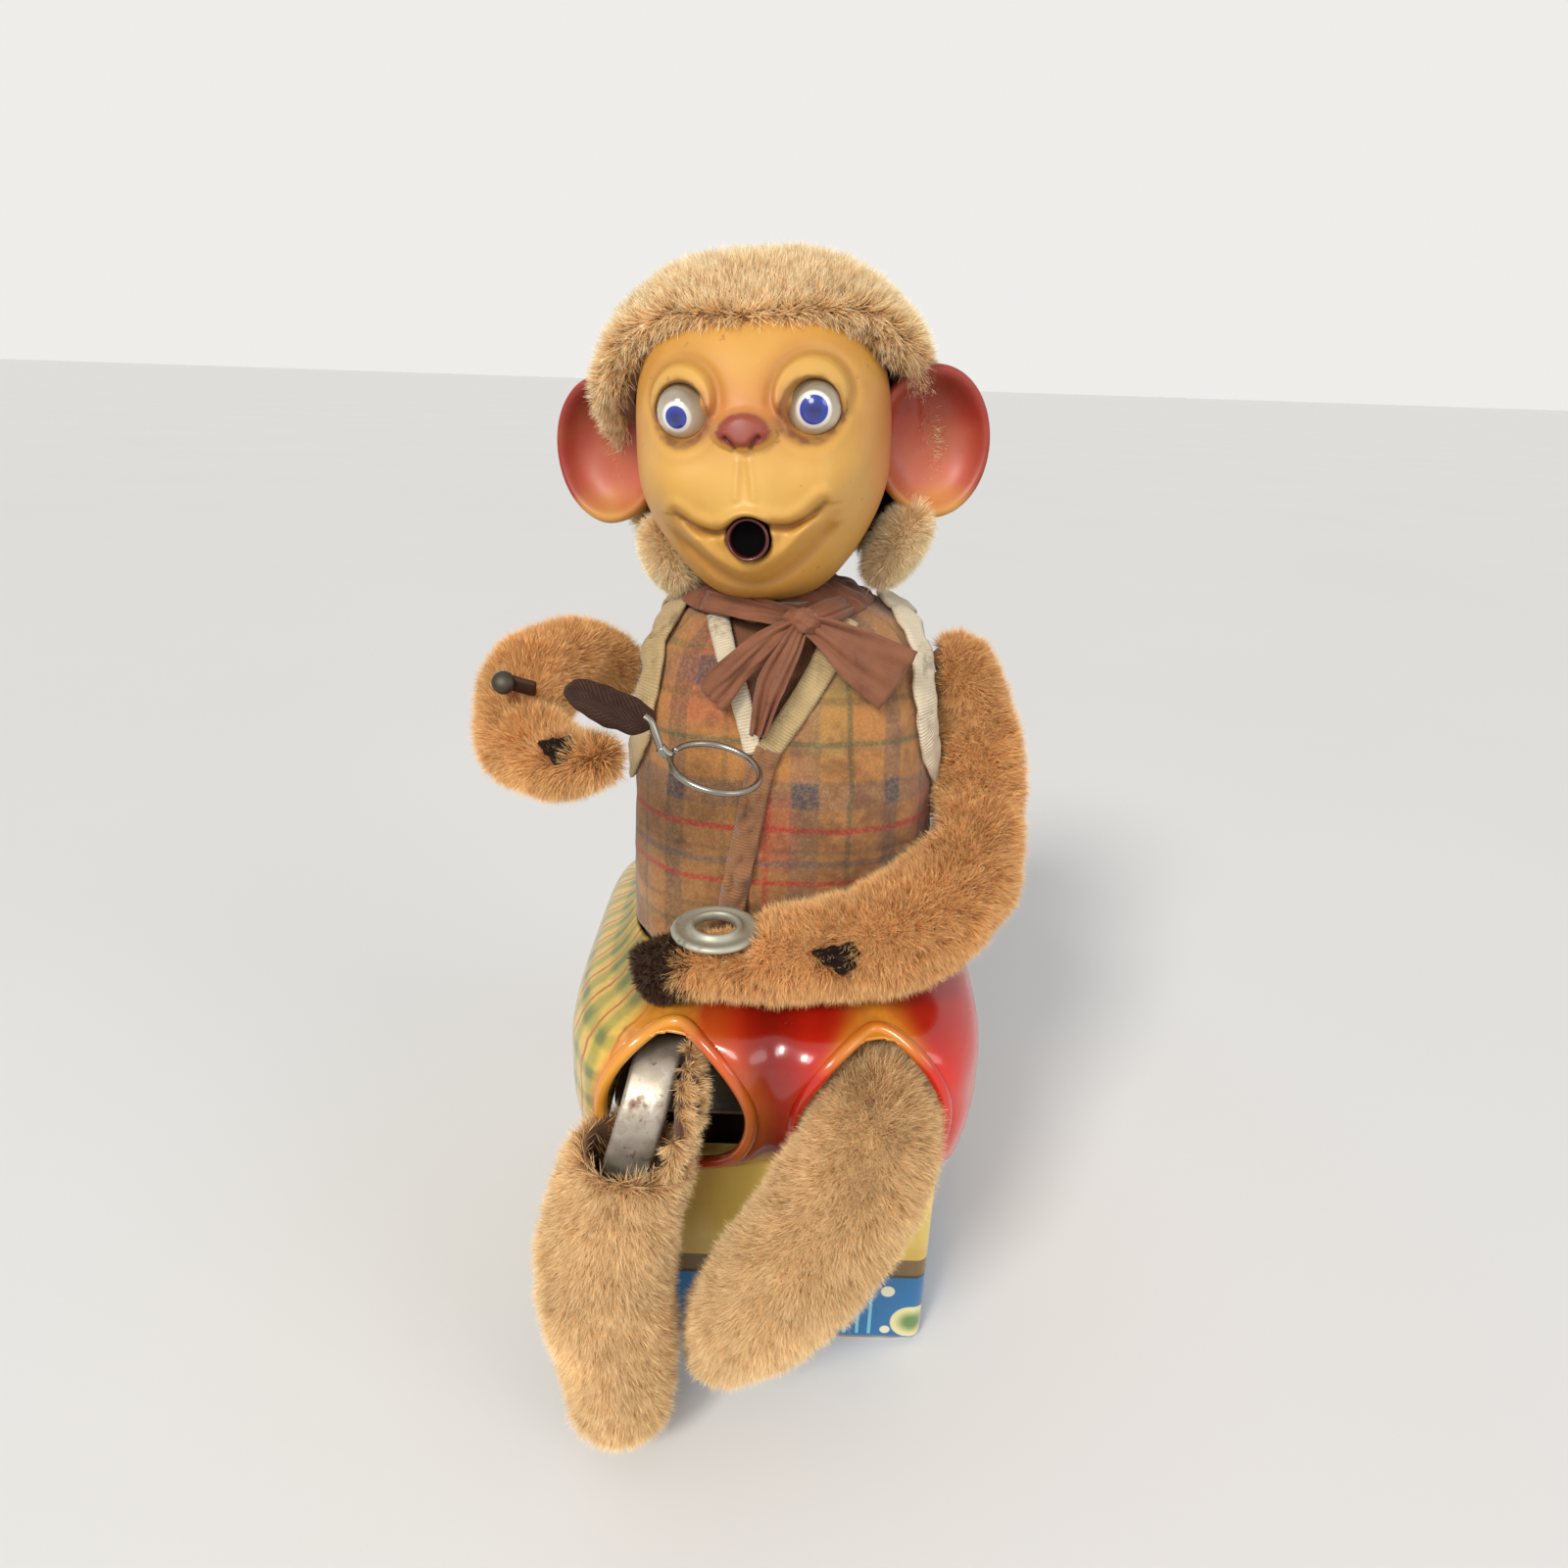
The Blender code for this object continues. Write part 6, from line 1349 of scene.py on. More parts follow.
def hand_cuff():
    """The left hand's open end: a dark flocked cuff round a bare end of strip."""
    path = spline([(-17.5, -46.8, 115.8), (-21.0, -47.0, 114.8), (-25.2, -47.2, 113.4),
                   (-28.2, -47.3, 112.2)], 6)
    radii = np.interp(np.linspace(0, 1, len(path)), (0, 0.35, 0.8, 1), (6.0, 6.6, 6.2, 5.2))
    angles = circle(48)
    rings = []
    for k, (centre, radius, (across, up)) in enumerate(zip(path, radii, frames_along(path, (0, 1, 0)))):
        wave = 1 + 0.07 * np.sin(angles * 3 + k * 0.2) + 0.04 * np.sin(angles * 8)
        rings.append(centre + np.outer(np.cos(angles) * wave * radius * 0.8, across)
                     + np.outer(np.sin(angles) * wave * radius, up))
    cuff = loft("left_hand_cuff", rings, DARK_CLOTH, uv=lambda k, i: (i * 0.09, k * 0.06))
    shell(cuff, 0.9)
    fur("left_hand_flock", cuff, DARK_PILE, 16000, 1.7, 107, (-0.5, 0, -0.2), width=0.26)
    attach(cuff, "root")
    length = float(lengths_along(path)[-1]) * MM
    bar = rounded_bar("left_hand_strip_end", (-24.4, -48.0, 114.2), (3.4, 0.5, 3.0), WORN_STRIP, 0.4,
                      spin(-26, "Y"))
    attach(bar, "root")


# How far the hood reaches to the rear, and how much of that is pile
HOOD_DEPTH = 37.5
HOOD_PILE = 4.3


def hood_radius(directions):
    """The hood's skin: a rounded cap with a fuller lobe behind each side of the jaw."""
    base = rounded(directions, 38.4, HOOD_DEPTH, 34.7, 31, 2.3) - HOOD_PILE
    turn = np.degrees(np.arctan2(np.abs(directions[..., 0]), directions[..., 2]))
    tilt = np.degrees(np.arccos(np.clip(-directions[..., 1], -1, 1)))
    middle = np.where(directions[..., 0] < 0, 136.0, 125.0)
    lobe = 7.2 * np.exp(-((turn - middle) / 19) ** 2) * np.exp(-((tilt - 93) / 24) ** 2)
    return base + lobe


# Where the right elbow's leather tab keeps the pile away
ELBOW_TAB = (-51.0, -43.0, 172.4)


def limbs():
    left_arm = sleeve_skin("left_arm_sleeve", thinner(LEFT_ARM, 3.4), GINGER_BACK, (0, 1, 0), 31)
    right_arm = sleeve_skin("right_arm_sleeve", thinner(RIGHT_ARM, 5.8), GINGER_BACK, (0, 0, 1), 37)
    left_leg = sleeve_skin("left_leg_sleeve", thinner(LEFT_LEG, 3.2), TAN_BACK, (1, 0, 0), 41, 0.9)
    right_leg = sleeve_skin("right_leg_sleeve", thinner(RIGHT_LEG, 3.2), TAN_BACK, (1, 0, 0), 43, 0.9,
                            open_end=True)

    def keep_left_arm(place, way):
        on = np.where(place[:, 0] < 35.9, (place[:, 1] < -30).astype(float), 1.0)
        on[near_spot(place, LEFT_HOLE, 4.0)] = 0
        on[place[:, 0] < -21.5] = 0
        return on

    def tall_left_arm(root):
        over = np.hypot(root[:, 0] - CUP[0], root[:, 1] - CUP[1]) < 10.4
        return np.where(over & (root[:, 2] > 112), np.clip((CUP[2] - 0.6 - root[:, 2]) / 4.2, 0.08, 1.0), 1.0)

    def keep_right_arm(place, way):
        on = np.ones(len(place))
        on[near_spot(place, RIGHT_HOLE, 3.2)] = 0
        on[near_spot(place, ELBOW_TAB, 3.6)] = 0
        on[place[:, 0] > -36.2] *= (place[place[:, 0] > -36.2, 1] < -20)
        return on

    def keep_left_leg(place, way):
        return np.where(place[:, 1] > -49.0, 0.0, 1.0)

    def keep_right_leg(place, way):
        axis = np.array([np.interp(place[:, 2], (15, 31, 48, 66, 80.5), column) for column in
                         ((-32, -33.5, -35, -32.6, -28.9), (-67.5, -65.5, -64.5, -64.5, -63.5))]).T
        outside = ((place[:, :2] - axis) * way[:, :2]).sum(1) > -0.5
        torn_edge = (place[:, 2] > 79.6) & (way[:, 2] > 0.7)
        return np.where(outside | (place[:, 2] < 20), 1.0, 0.02) * np.where(torn_edge, 0.7, 1)

    fur("left_arm_pile", left_arm, GINGER_PILE, 185000, 4.0, 101,
        comb_along(LEFT_ARM, 0.3), keep_left_arm, tall_left_arm)
    fur("right_arm_pile", right_arm, GINGER_PILE, 160000, 4.0, 102,
        comb_along(RIGHT_ARM, 0.25), keep_right_arm)
    fur("left_leg_pile", left_leg, TAN_PILE, 185000, 4.4, 103,
        comb_along(LEFT_LEG, 0.35), keep_left_leg)
    fur("right_leg_pile", right_leg, TAN_PILE, 180000, 4.4, 104,
        comb_along(RIGHT_LEG, 0.35, 0.3), keep_right_leg)
    for skin, body, node, slot in ((left_arm, "root", "left_arm_plush", "rust_plush"),
                                   (right_arm, "right_arm", "right_arm_plush", "rust_plush"),
                                   (left_leg, "root", "left_leg_plush", "tan_plush"),
                                   (right_leg, "root", "right_leg_plush", "tan_plush")):
        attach(skin, body)
        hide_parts(node)
    torn_hole("left_wrist_hole", LEFT_HOLE, (0, -0.92, 0.38), (4.2, 2.8), "root")
    torn_hole("right_wrist_hole", RIGHT_HOLE, (-0.25, -0.8, 0.5), (3.2, 2.4), "right_arm")
    hand_cuff()


# The head: everything is made in the head's own frame and set in place by HEAD

def rounded(direction, width, depth, above, below, power):
    height = np.where(direction[..., 2] > 0, above, below)
    return (np.abs(direction[..., 0] / width) ** power + np.abs(direction[..., 1] / depth) ** power
            + np.abs(direction[..., 2] / height) ** power) ** (-1 / power)


def hill(x, z, middle, spread, height):
    return height * np.exp(-((x - middle[0]) / spread[0]) ** 2 / 2 - ((z - middle[1]) / spread[1]) ** 2 / 2)


def line_distance(x, z, points):
    """Distance from each place to a smooth line, and how far along the line (0 to 1) its nearest point is."""
    path = spline(points, 10)
    flat = np.stack([x.ravel(), z.ravel()], 1)
    best = np.full(len(flat), 1e9)
    share = np.zeros(len(flat))
    for k in range(len(path) - 1):
        a, b = path[k], path[k + 1]
        ab = b - a
        t = np.clip(((flat - a) @ ab) / (ab @ ab), 0, 1)
        gap = np.linalg.norm(flat - a - t[:, None] * ab, axis=1)
        share = np.where(gap < best, (k + t) / (len(path) - 1), share)
        best = np.minimum(best, gap)
    return best.reshape(x.shape), share.reshape(x.shape)


# Lines of the face seen from the front and the nose's middle as (x, z), the mask's edge as (turn, polar angle)
SMILE = ((-13.6, -13.6), (-10.5, -15.8), (-6.5, -16.9), (-3.6, -16.2), (0, -14.9), (3.6, -15.6), (7.5, -16.0),
         (11.0, -14.6), (14.0, -12.2))
LIP = ((-12.6, -14.8), (-10.0, -18.2), (-5.6, -22.2), (-1.5, -24.2), (2.0, -23.6), (6.5, -20.4),
       (10.8, -16.0), (12.8, -13.6))
NOSE = (0.2, 1.0)
MASK_EDGE = ((0, 94), (60, 90), (90, 88), (120, 87), (145, 84), (165, 72), (180, 65))


def line_height(x, line):
    return np.interp(x, [p[0] for p in line], [p[1] for p in line])


def nostril(x, z, side):
    """1 along a nostril's short slit, fading beside it."""
    gap, _ = line_distance(x, z, ((side * 2.9, -0.3), (side * 2.0, -1.1), (side * 1.4, -1.9)))
    return np.exp(-(gap / 0.5) ** 2)


def about_eye(x, z, side):
    """Height above an eye's middle, distance from it, and distance from the middle of its lid's arch."""
    u, v = (x - side * EYE[0]) * side, z - EYE[2]
    lift = 1.4 if side < 0 else 2.0
    return v, np.sqrt(u ** 2 + v ** 2), np.sqrt(u ** 2 + (v - lift) ** 2)


def ease(share):
    """A share from 0 to 1 with soft ends."""
    return share * share * (3 - 2 * share)


def face_height(x, z):
    """How far the face stands out from its plain egg, seen from the front."""
    mirror = np.abs(x)
    out = hill(x, z, (0, -14), (12, 9.5), 7.0)
    out += hill(x, z, (0, 3), (4.5, 5), 1.6)
    out += hill(x, z, (0, -29), (8, 3.6), 2.4)
    out += hill(mirror, z, (17.0, -7.5), (5.4, 5.2), 4.6)
    for side in (-1, 1):
        v, reach, arch = about_eye(x, z, side)
        lid = ease(np.clip((v + 2.5) / 4, 0, 1))
        roll = np.clip((6.9 - arch) / 1.0, 0, 1)
        out += 2.9 * lid * np.sin(roll * math.pi / 2)
        out -= 0.75 * lid * np.exp(-((arch - 7.6) / 1.0) ** 2)
        low = 1 - lid
        out += 0.5 * low * np.exp(-((reach - 7.4) / 1.3) ** 2)
        out -= 0.7 * low * np.exp(-((reach - 5.6) / 0.6) ** 2)
        out -= 4.2 * np.clip((5.3 - reach) / 0.8, 0, 1)
    u, v = (x - NOSE[0]) / 5.9, (z - NOSE[1]) / 3.4
    button = np.clip(1.12 - np.sqrt(u ** 2 + v ** 2) - 0.14 * np.abs(u) * (v > 0), 0, 0.6) / 0.6
    out += 3.0 * np.sin(button * math.pi / 2)
    out += hill(x, z, (0, 1), (7, 5.5), 1.0)
    for side in (-1, 1):
        out -= 1.3 * nostril(x, z, side)
        gap, _ = line_distance(x, z, ((side * 0.9, -4.4), (side * 1.3, -7.5), (side * 1.7, -10.5)))
        out += 0.3 * np.exp(-(gap / 0.7) ** 2)
    out -= hill(x, z, (0, -7), (0.8, 3.2), 0.5)
    gap, share = line_distance(x, z, SMILE)
    out -= 2.1 * np.exp(-(gap / 0.85) ** 2) * np.clip(np.minimum(share, 1 - share) * 12, 0.25, 1)
    above = np.where(z > line_height(x, SMILE), 1.0, 0.0)
    out += 0.8 * np.exp(-((gap - 2.0) / 1.3) ** 2) * above
    gap, share = line_distance(x, z, LIP)
    fade = np.clip(np.minimum(share, 1 - share) * 7, 0, 1)
    out += 2.2 * np.exp(-(gap / 1.5) ** 2) * fade
    below = np.where(z < line_height(x, LIP), 1.0, 0.0)
    out -= 1.9 * np.exp(-((gap - 3.4) / 1.4) ** 2) * below * fade
    mouth = np.sqrt(x ** 2 + (z - MOUTH_Z) ** 2)
    out -= 5.5 * np.clip((MOUTH_RADIUS + 0.35 - mouth) / 0.6, 0, 1)
    out += 0.7 * np.exp(-((mouth - 5.0) / 0.7) ** 2)
    return out


def face_point(direction):
    place = direction * rounded(direction, 26, 33, 27.5, 35.5, 2.4)[..., None]
    low = np.clip((-9 - place[..., 2]) / 24, 0, 1)
    place[..., 0] *= 1 - 0.13 * ease(low)
    share = np.clip(-place[..., 1] / 12, 0, 1)
    place[..., 1] -= face_height(place[..., 0], place[..., 2]) * share
    return place


def cap_directions(pole, edge, around, along):
    """Directions of rings round the Y axis, from a pole to an edge angle that changes with the turn."""
    turns = circle(around)
    tilts = np.array([edge(t) for t in turns])[None, :] * (np.arange(1, along + 1) / along)[:, None]
    out = np.sin(tilts)
    return np.stack([out * np.sin(turns), pole * np.cos(tilts), out * np.cos(turns)], -1)


# On the face the darker tints serve mostly as painted shade in hollows and creases, and pale also as painted
# highlight
FACE_TINTS = {"base": srgb(206, 152, 68), "warm": srgb(182, 120, 52), "pale": srgb(214, 170, 88),
              "nose": srgb(140, 58, 42), "grime_and_shade": srgb(112, 62, 26), "pink": srgb(196, 104, 82),
              "red": srgb(150, 46, 34), "dark": srgb(96, 34, 24)}


def layered_paint(base, shape, coats):
    """A plain colour with (mask, colour name) coats laid over it, one after another."""
    paint = np.broadcast_to(np.array(FACE_TINTS[base]), shape).copy()
    for mask, name in coats:
        paint = paint + (np.array(FACE_TINTS[name]) - paint) * np.clip(mask, 0, 1)[..., None]
    return paint


def face_paint(local):
    """Airbrushed colour of the face for places in the head's own frame, with painted shade in its hollows and
    creases and painted highlights on the lids and cheeks.
    """
    x, y, z = local.T
    cloud = lumps(local, 7.0, 1.0, 2)
    fine = lumps(local, 1.6, 1.0, 4)
    # Painted shade: warmer and darker towards the face's sides, under the chin and up by the hood's rim
    coats = [(hill(x, z, (0, -10), (9, 6), 0.7), "pale"),
             (np.clip((y + 16) / 14, 0, 1) * 0.85, "warm"),
             (np.clip((-26 - z + cloud * 2) / 8, 0, 1) * 0.35, "warm"),
             (np.clip((z - 19 + cloud * 3) / 8, 0, 1) * 0.35, "warm"),
             (np.clip((np.abs(x) - 20) / 5, 0, 1) * np.clip((10 - z) / 8, 0, 1) * 0.45, "pink")]
    for side in (-1, 1):
        v, reach, arch = about_eye(x, z, side)
        low = np.clip((2.5 - v) / 5, 0, 1)
        rim = np.exp(-((reach - 5.3 - 0.2 * fine) / 0.5) ** 2)
        rim = rim + 0.6 * np.exp(-((reach - 6.0) / 0.6) ** 2) * low
        # Painted shade above each lid, in the groove over it and in the socket ring round the dome; painted
        # highlights on the lid and on the cheek; painted shade beside the nose bridge
        coats += [(np.exp(-((arch - 9.0) / 1.8) ** 2) * np.clip(v / 4, 0, 1) * (0.35 + 0.3 * cloud), "warm"),
                  (np.exp(-((arch - 7.3) / 0.6) ** 2) * np.clip(v / 3, 0, 1) * 0.34, "grime_and_shade"),
                  ((arch < 6.7) * np.clip(v / 2, 0, 1) * 0.5, "pale"),
                  (rim * (0.5 + 0.5 * low) * (0.8 + 0.5 * fine), "grime_and_shade"),
                  (hill(x, z, (side * 18, -8), (5, 5), 0.3), "pale"),
                  (hill(x, z, (side * 6.4, 3.0), (1.4, 2.6), 0.35), "grime_and_shade")]
    u, v = (x - NOSE[0]) / 5.6, (z - NOSE[1]) / 3.2
    nose = 1.0 - np.sqrt(u ** 2 + v ** 2) - 0.12 * np.abs(u) * (v > 0) + 0.03 * fine
    nose = np.clip(nose / 0.16, 0, 1) * (y < -20)
    coats += [(nose, "nose"), (hill(x, z, (0, 4), (7, 3), 0.45) * (1 - nose), "pink")]
    coats += [(nostril(x, z, side) * 0.85 * (y < -20), "dark") for side in (-1, 1)]
    smile, _ = line_distance(x, z, SMILE)
    gap, _ = line_distance(x, z, LIP)
    below = np.where(z < line_height(x, LIP), 1.0, 0.0)
    mouth = np.sqrt(x ** 2 + (z - MOUTH_Z) ** 2)
    # Painted shade in the smile's crease, in the groove below the lower lip and round the blow hole
    coats += [(np.exp(-(smile / 0.7) ** 2) * 0.7 * (y < -15), "grime_and_shade"),
              (np.exp(-((gap - 3.2) / 1.2) ** 2) * below * 0.35, "warm"),
              (np.exp(-((gap - 4.2) / 0.9) ** 2) * below * 0.3 * (z < -16), "grime_and_shade"),
              (np.clip((MOUTH_RADIUS + 0.6 - mouth) / 0.5, 0, 1) * (y < -10), "dark")]
    return layered_paint("base", local.shape, coats)


def mask():
    around, along = 300, 170
    table = np.array(MASK_EDGE, float)

    def edge(turn):
        degrees = math.degrees(turn) % 360
        return math.radians(np.interp(min(degrees, 360 - degrees), table[:, 0], table[:, 1]))

    local = face_point(cap_directions(-1, edge, around, along))
    pole = face_point(np.array([[0.0, -1.0, 0.0]]))[0]
    face = loft("face_mask_skin", local, VINYL, poles=(pole, None))
    paint_points(face, face_paint(points_of(face)))
    shell(face, 1.2)
    whole = join_all([face, ear(-1), ear(1)], "face_and_ears")
    whole.data.transform(metric(HEAD))
    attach(whole, "head")
    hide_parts("face_mask")


# An ear's section: (share of its half width and height, depth), from the middle of the cup to the back
EAR_HALVES = (12.0, 16.0)
EAR_PROFILE = ((0.06, 2.2), (0.22, 2.15), (0.4, 1.9), (0.56, 1.3), (0.68, 0.4), (0.76, -0.9), (0.82, -2.2),
               (0.87, -3.1), (0.92, -3.5), (0.97, -3.2), (1.0, -2.3), (1.0, -1.2), (0.97, 0.2), (0.9, 1.8),
               (0.76, 3.2), (0.55, 4.1), (0.3, 4.5), (0.1, 4.6))
# How many of these places, from the first, lie in the cup and carry the fold
EAR_CUP = 8


def ear(side):
    """A cupped ear with a rolled rim and an inner fold, closed at the back."""
    around = 96
    turns = circle(around)
    half_wide, half_high = EAR_HALVES
    edge = 1 + 0.05 * np.cos(turns * 2)
    edge = edge - 0.05 * np.clip(-np.sin(turns), 0, 1) * np.clip(-np.cos(turns) + 0.2, 0, 1)
    rings = []
    for k, (reach, depth) in enumerate(EAR_PROFILE):
        x = np.cos(turns) * reach * half_wide * edge
        z = np.sin(turns) * reach * half_high * edge
        y = np.full(around, depth)
        if k < EAR_CUP:
            fold = np.exp(-((x + 3.4) / 1.5) ** 2) * np.clip((z + 2) / 8, 0, 1) * (1 - reach)
            y = y - 3.4 * fold
            y = y + 1.0 * np.exp(-((x - 3.5) / 3) ** 2 - ((z - 3) / 6) ** 2)
        rings.append(np.stack([x, y, z], 1))
    rings = np.array(rings)
    rings[..., 1] += 0.9 * (rings[..., 0] / half_wide) ** 2
    rings[..., 0] *= side
    place = Matrix.Translation((side * 34, 1, -4)) @ spin(side * 14, "Z")
    places = moved(rings.reshape(-1, 3), place).reshape(rings.shape)
    thing = loft("ear", places, VINYL, poles=(places[0].mean(0), places[-1].mean(0)))
    co = points_of(thing)
    x, y, z = moved(co, place.inverted()).T
    x = x * side
    reach = np.sqrt((x / half_wide) ** 2 + (z / half_high) ** 2)
    cloud = lumps(co, 5.0, 1.0, 17)
    inside = np.clip((0.98 - reach) / 0.25, 0, 1) * (y < 3.0)
    coats = [(inside * np.clip((6 - z + 3 * cloud) / 14, 0, 1) * 0.85, "pink"),
             (inside * np.clip((z - 3) / 9, 0, 1) * 0.6, "dark"),
             (np.clip((-8.5 - z + cloud * 2) / 5, 0, 1) * 0.85, "base"),
             (np.clip((-7 - x + cloud) / 4, 0, 1) * 0.7 * (z < 2), "warm"),
             (np.clip((y - 1.5) / 3, 0, 1) * 0.5, "warm")]
    paint_points(thing, layered_paint("red", co.shape, coats))
    return thing


# The camera's place in millimetres, its sensor's width, and the photograph's focal length and width in pixels
CAMERA = np.array((0.0, -227.0, 229.0))
SENSOR = 36
PHOTO_FOCAL = 1030
PHOTO_WIDTH = 1600


def eyes():
    """Domes of clear plastic over painted pupils, each looking its own way."""
    tilts = np.radians(np.linspace(100, 0, 30))
    profile = [(EYE_RADIUS * math.sin(t), EYE_RADIUS * math.cos(t)) for t in tilts]
    for (side, tag), offset, pupil in zip(SIDES, ((-1.75, 0.0, -1.3), (0.1, 0.0, -0.5)), (0.40, 0.51)):
        centre = moved((side * EYE[0], EYE[1], EYE[2]), HEAD)
        look = unit(unit(CAMERA - centre) + np.array(offset) / EYE_RADIUS)
        material = finish("eye_dome_" + tag, eye_paint(tuple(centre * MM), tuple(look), pupil), Roughness=0.2,
                          Coat_Weight=1.0, Coat_Roughness=0.03)
        place = HEAD @ Matrix.Translation((side * EYE[0], EYE[1], EYE[2])) @ spin(90, "X")
        dome = turned("eye_dome_" + tag, profile, material, metric(place), 64, 0.7)
        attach(dome, "head")
        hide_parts("eye_" + tag)


def eyelet():
    """A rolled ring in the blow hole, with its short bore."""
    place = metric(HEAD @ Matrix.Translation((0, 0, MOUTH_Z)) @ spin(90, "X"))
    profile = [(3.2, 32.0), (3.2, 36.6), (3.3, 37.2), (3.5, 37.5), (3.8, 37.5), (3.95, 37.2), (3.9, 36.8),
               (3.7, 36.5), (3.65, 32.0), (3.2, 32.0)]
    ring = turned("mouth_eyelet_ring", profile, EYELET, place)
    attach(ring, "head")
    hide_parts("mouth_eyelet")
    profile = [(3.15, 36.3), (3.1, 36.0), (2.9, 35.8), (0.0, 35.75)]
    bore = turned("mouth_bore", profile, SHADOW, place, 48, 0.25)
    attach(bore, "head")


# Hood edge: (turn from the top in degrees, polar angle from the front), for each side
HOOD_EDGES = {1: ((0, 37), (22, 41), (38, 51), (48, 59), (56, 63), (64, 71), (70, 85), (79, 100),
                  (130, 101), (152, 108), (180, 122)),
              -1: ((0, 37), (22, 40.5), (38, 49), (50, 57), (62, 61), (72, 67), (79, 78), (86, 92),
                   (95, 101), (135, 102), (152, 108), (180, 122))}


def hood_edge(turn):
    side = 1 if math.sin(turn) >= 0 else -1
    degrees = math.degrees(turn) % 360
    degrees = min(degrees, 360 - degrees)
    table = np.array(HOOD_EDGES[side], float)
    return math.pi - math.radians(np.interp(degrees, table[:, 0], table[:, 1]))


def neck_lobes():
    """The stuffed ends of the hood below the ears."""
    for side, tag, middle, halves, seed in ((1, "left", (22.6, -5.5, 196.2), (3.0, 4.6, 8.0), 111),
                                            (-1, "right", (-26.0, -4.5, 192.2), (3.4, 5.0, 6.8), 112)):
        lobe = start_shape("uv_sphere", "hood_lobe_" + tag, PALE_BACK, segments=36, ring_count=24, radius=MM)
        place = metric(Matrix.Translation(middle)) @ spin(side * 30, "Y")
        lobe.data.transform(place @ Matrix.Diagonal((*halves, 1)))
        lobe.data.shade_smooth()
        fur("hood_lobe_pile_" + tag, lobe, PALE_PILE, 34000, 3.8, seed, (0.1 * side, -0.1, -0.35))
        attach(lobe, "head")


def hood():
    directions = cap_directions(1, hood_edge, 180, 64)
    outer = directions * hood_radius(directions)[..., None]
    flat = outer.reshape(-1, 3)
    swell = lumps(flat, 13.0, 1.1, 51) + lumps(flat, 5.0, 0.4, 52)
    outer = outer + directions * swell.reshape(outer.shape[:2])[..., None]
    rolled = []
    for share, ahead in ((0.985, 0.8), (0.955, 1.4), (0.92, 1.7), (0.88, 1.5), (0.84, 0.9), (0.8, 0.0)):
        ring = outer[-1] * share
        ring[:, 1] -= ahead
        rolled.append(ring)
    rings = np.concatenate([outer, np.array(rolled)])
    pole = (0, HOOD_DEPTH - HOOD_PILE, 0)
    skin = loft("plush_hood", moved(rings, HEAD), PALE_BACK, poles=(moved(pole, HEAD), None))
    shell(skin, 0.8)
    inverse = HEAD.inverted()

    def lean(root, normal):
        p = moved(root, inverse)
        direction = unit(p)
        down = np.array((0, 0.0, -0.25)) * np.clip((14 - p[:, 2:]) / 20, 0.0, 1)
        rim = np.clip((hood_radius(direction) - 0.8 - np.linalg.norm(p, axis=1)) / 3, 0, 1)[:, None]
        top = np.clip((-p[:, 1:2] - 12) / 14, 0, 1) * np.clip((p[:, 2:] - 4) / 8, 0, 1)
        return down + np.array((0, 0.45, 0.15)) * top + direction * rim * 0.7

    def keep(place, way):
        p = moved(place, inverse)
        direction = unit(p)
        ahead = way @ np.array(inverse)[:3, :3].T
        outside = np.linalg.norm(p, axis=1) > hood_radius(direction) * 0.87
        turned_out = ((ahead * direction).sum(1) > 0.15) | ((ahead[:, 1] < -0.25) & (p[:, 1] < 12))
        ear = (np.abs(p[:, 0]) > 23) & (p[:, 1] < 5) & (p[:, 2] < np.where(p[:, 0] > 0, 5.0, -3.0))
        return np.where(outside & turned_out & ~ear, 1.0, 0.0)

    fur("hood_pile", skin, PALE_PILE, 198000, 3.6, 105, lean, keep)
    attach(skin, "head")
    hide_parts("head_hood")
    neck_lobes()


# Metal and cloth pieces of the limbs

def leg_strip():
    route = spline([(-24, -16, 68.8), (-24, -30, 76.6), (-24, -43, 93.5), (-24.5, -53, 96.5),
                    (-26, -60.5, 91), (-28.5, -63.5, 82), (-32, -64.5, 70), (-34, -64.5, 56)], 10)
    tangents = unit(np.gradient(route, axis=0))
    ways = unit(np.cross(tangents, (1, 0, 0)))
    ways *= np.where(ways[:, 1:2] > 0.0, -1, 1) if ways[-1, 1] > 0 else 1
    strip = strap("right_leg_strip_bare", route, ways, 9.4, 0.95, WORN_STRIP, 0.12, 2, 0.5, 13)
    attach(strip, "root")
    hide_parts("right_leg_strip")


def thigh_cloth():
    """What is left of the thigh's plush: a torn strip beside the bare steel, with short worn pile."""
    route = spline([(-23.6, -43, 91.0), (-23.8, -52, 93.6), (-24.2, -58.0, 91.8), (-25.0, -62.0, 86),
                    (-26.4, -63.5, 81)], 8)
    rows = []
    lengths = lengths_along(route)
    for k, (centre, (across, up)) in enumerate(zip(route, frames_along(route, (1, 0, 0)))):
        frayed = 9 * noise.noise(Vector((k * 0.9, 0, 3)))
        angles = np.radians(np.linspace(-52 + frayed, 46 - frayed, 22))
        radius = 8.4 + 0.5 * np.sin(angles * 5 + k * 0.4)
        rows.append(centre + np.outer(np.cos(angles) * radius, across)
                    + np.outer(np.sin(angles) * radius, up))
    cloth = loft("torn_thigh_cloth", rows, TORN_CLOTH, closed=False,
                 uv=lambda k, i: (i * 0.072, lengths[k] / 10))
    shell(cloth, 0.6, 0)

    def keep(place, way):
        near = np.argmin(((place[:, None, :] - route[None]) ** 2).sum(2), axis=1)
        worn = lumps(place, 3.5, 1.0, 9) > -0.05
        return np.where((((place - route[near]) * way).sum(1) > 0) & worn & (place[:, 1] < -54), 1.0, 0.0)

    fur("thigh_pile", cloth, TAN_PILE, 7000, 3.0, 106, (0.1, -0.1, -0.5), keep, width=0.26)
    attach(cloth, "root")
    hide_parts("right_thigh_cloth")


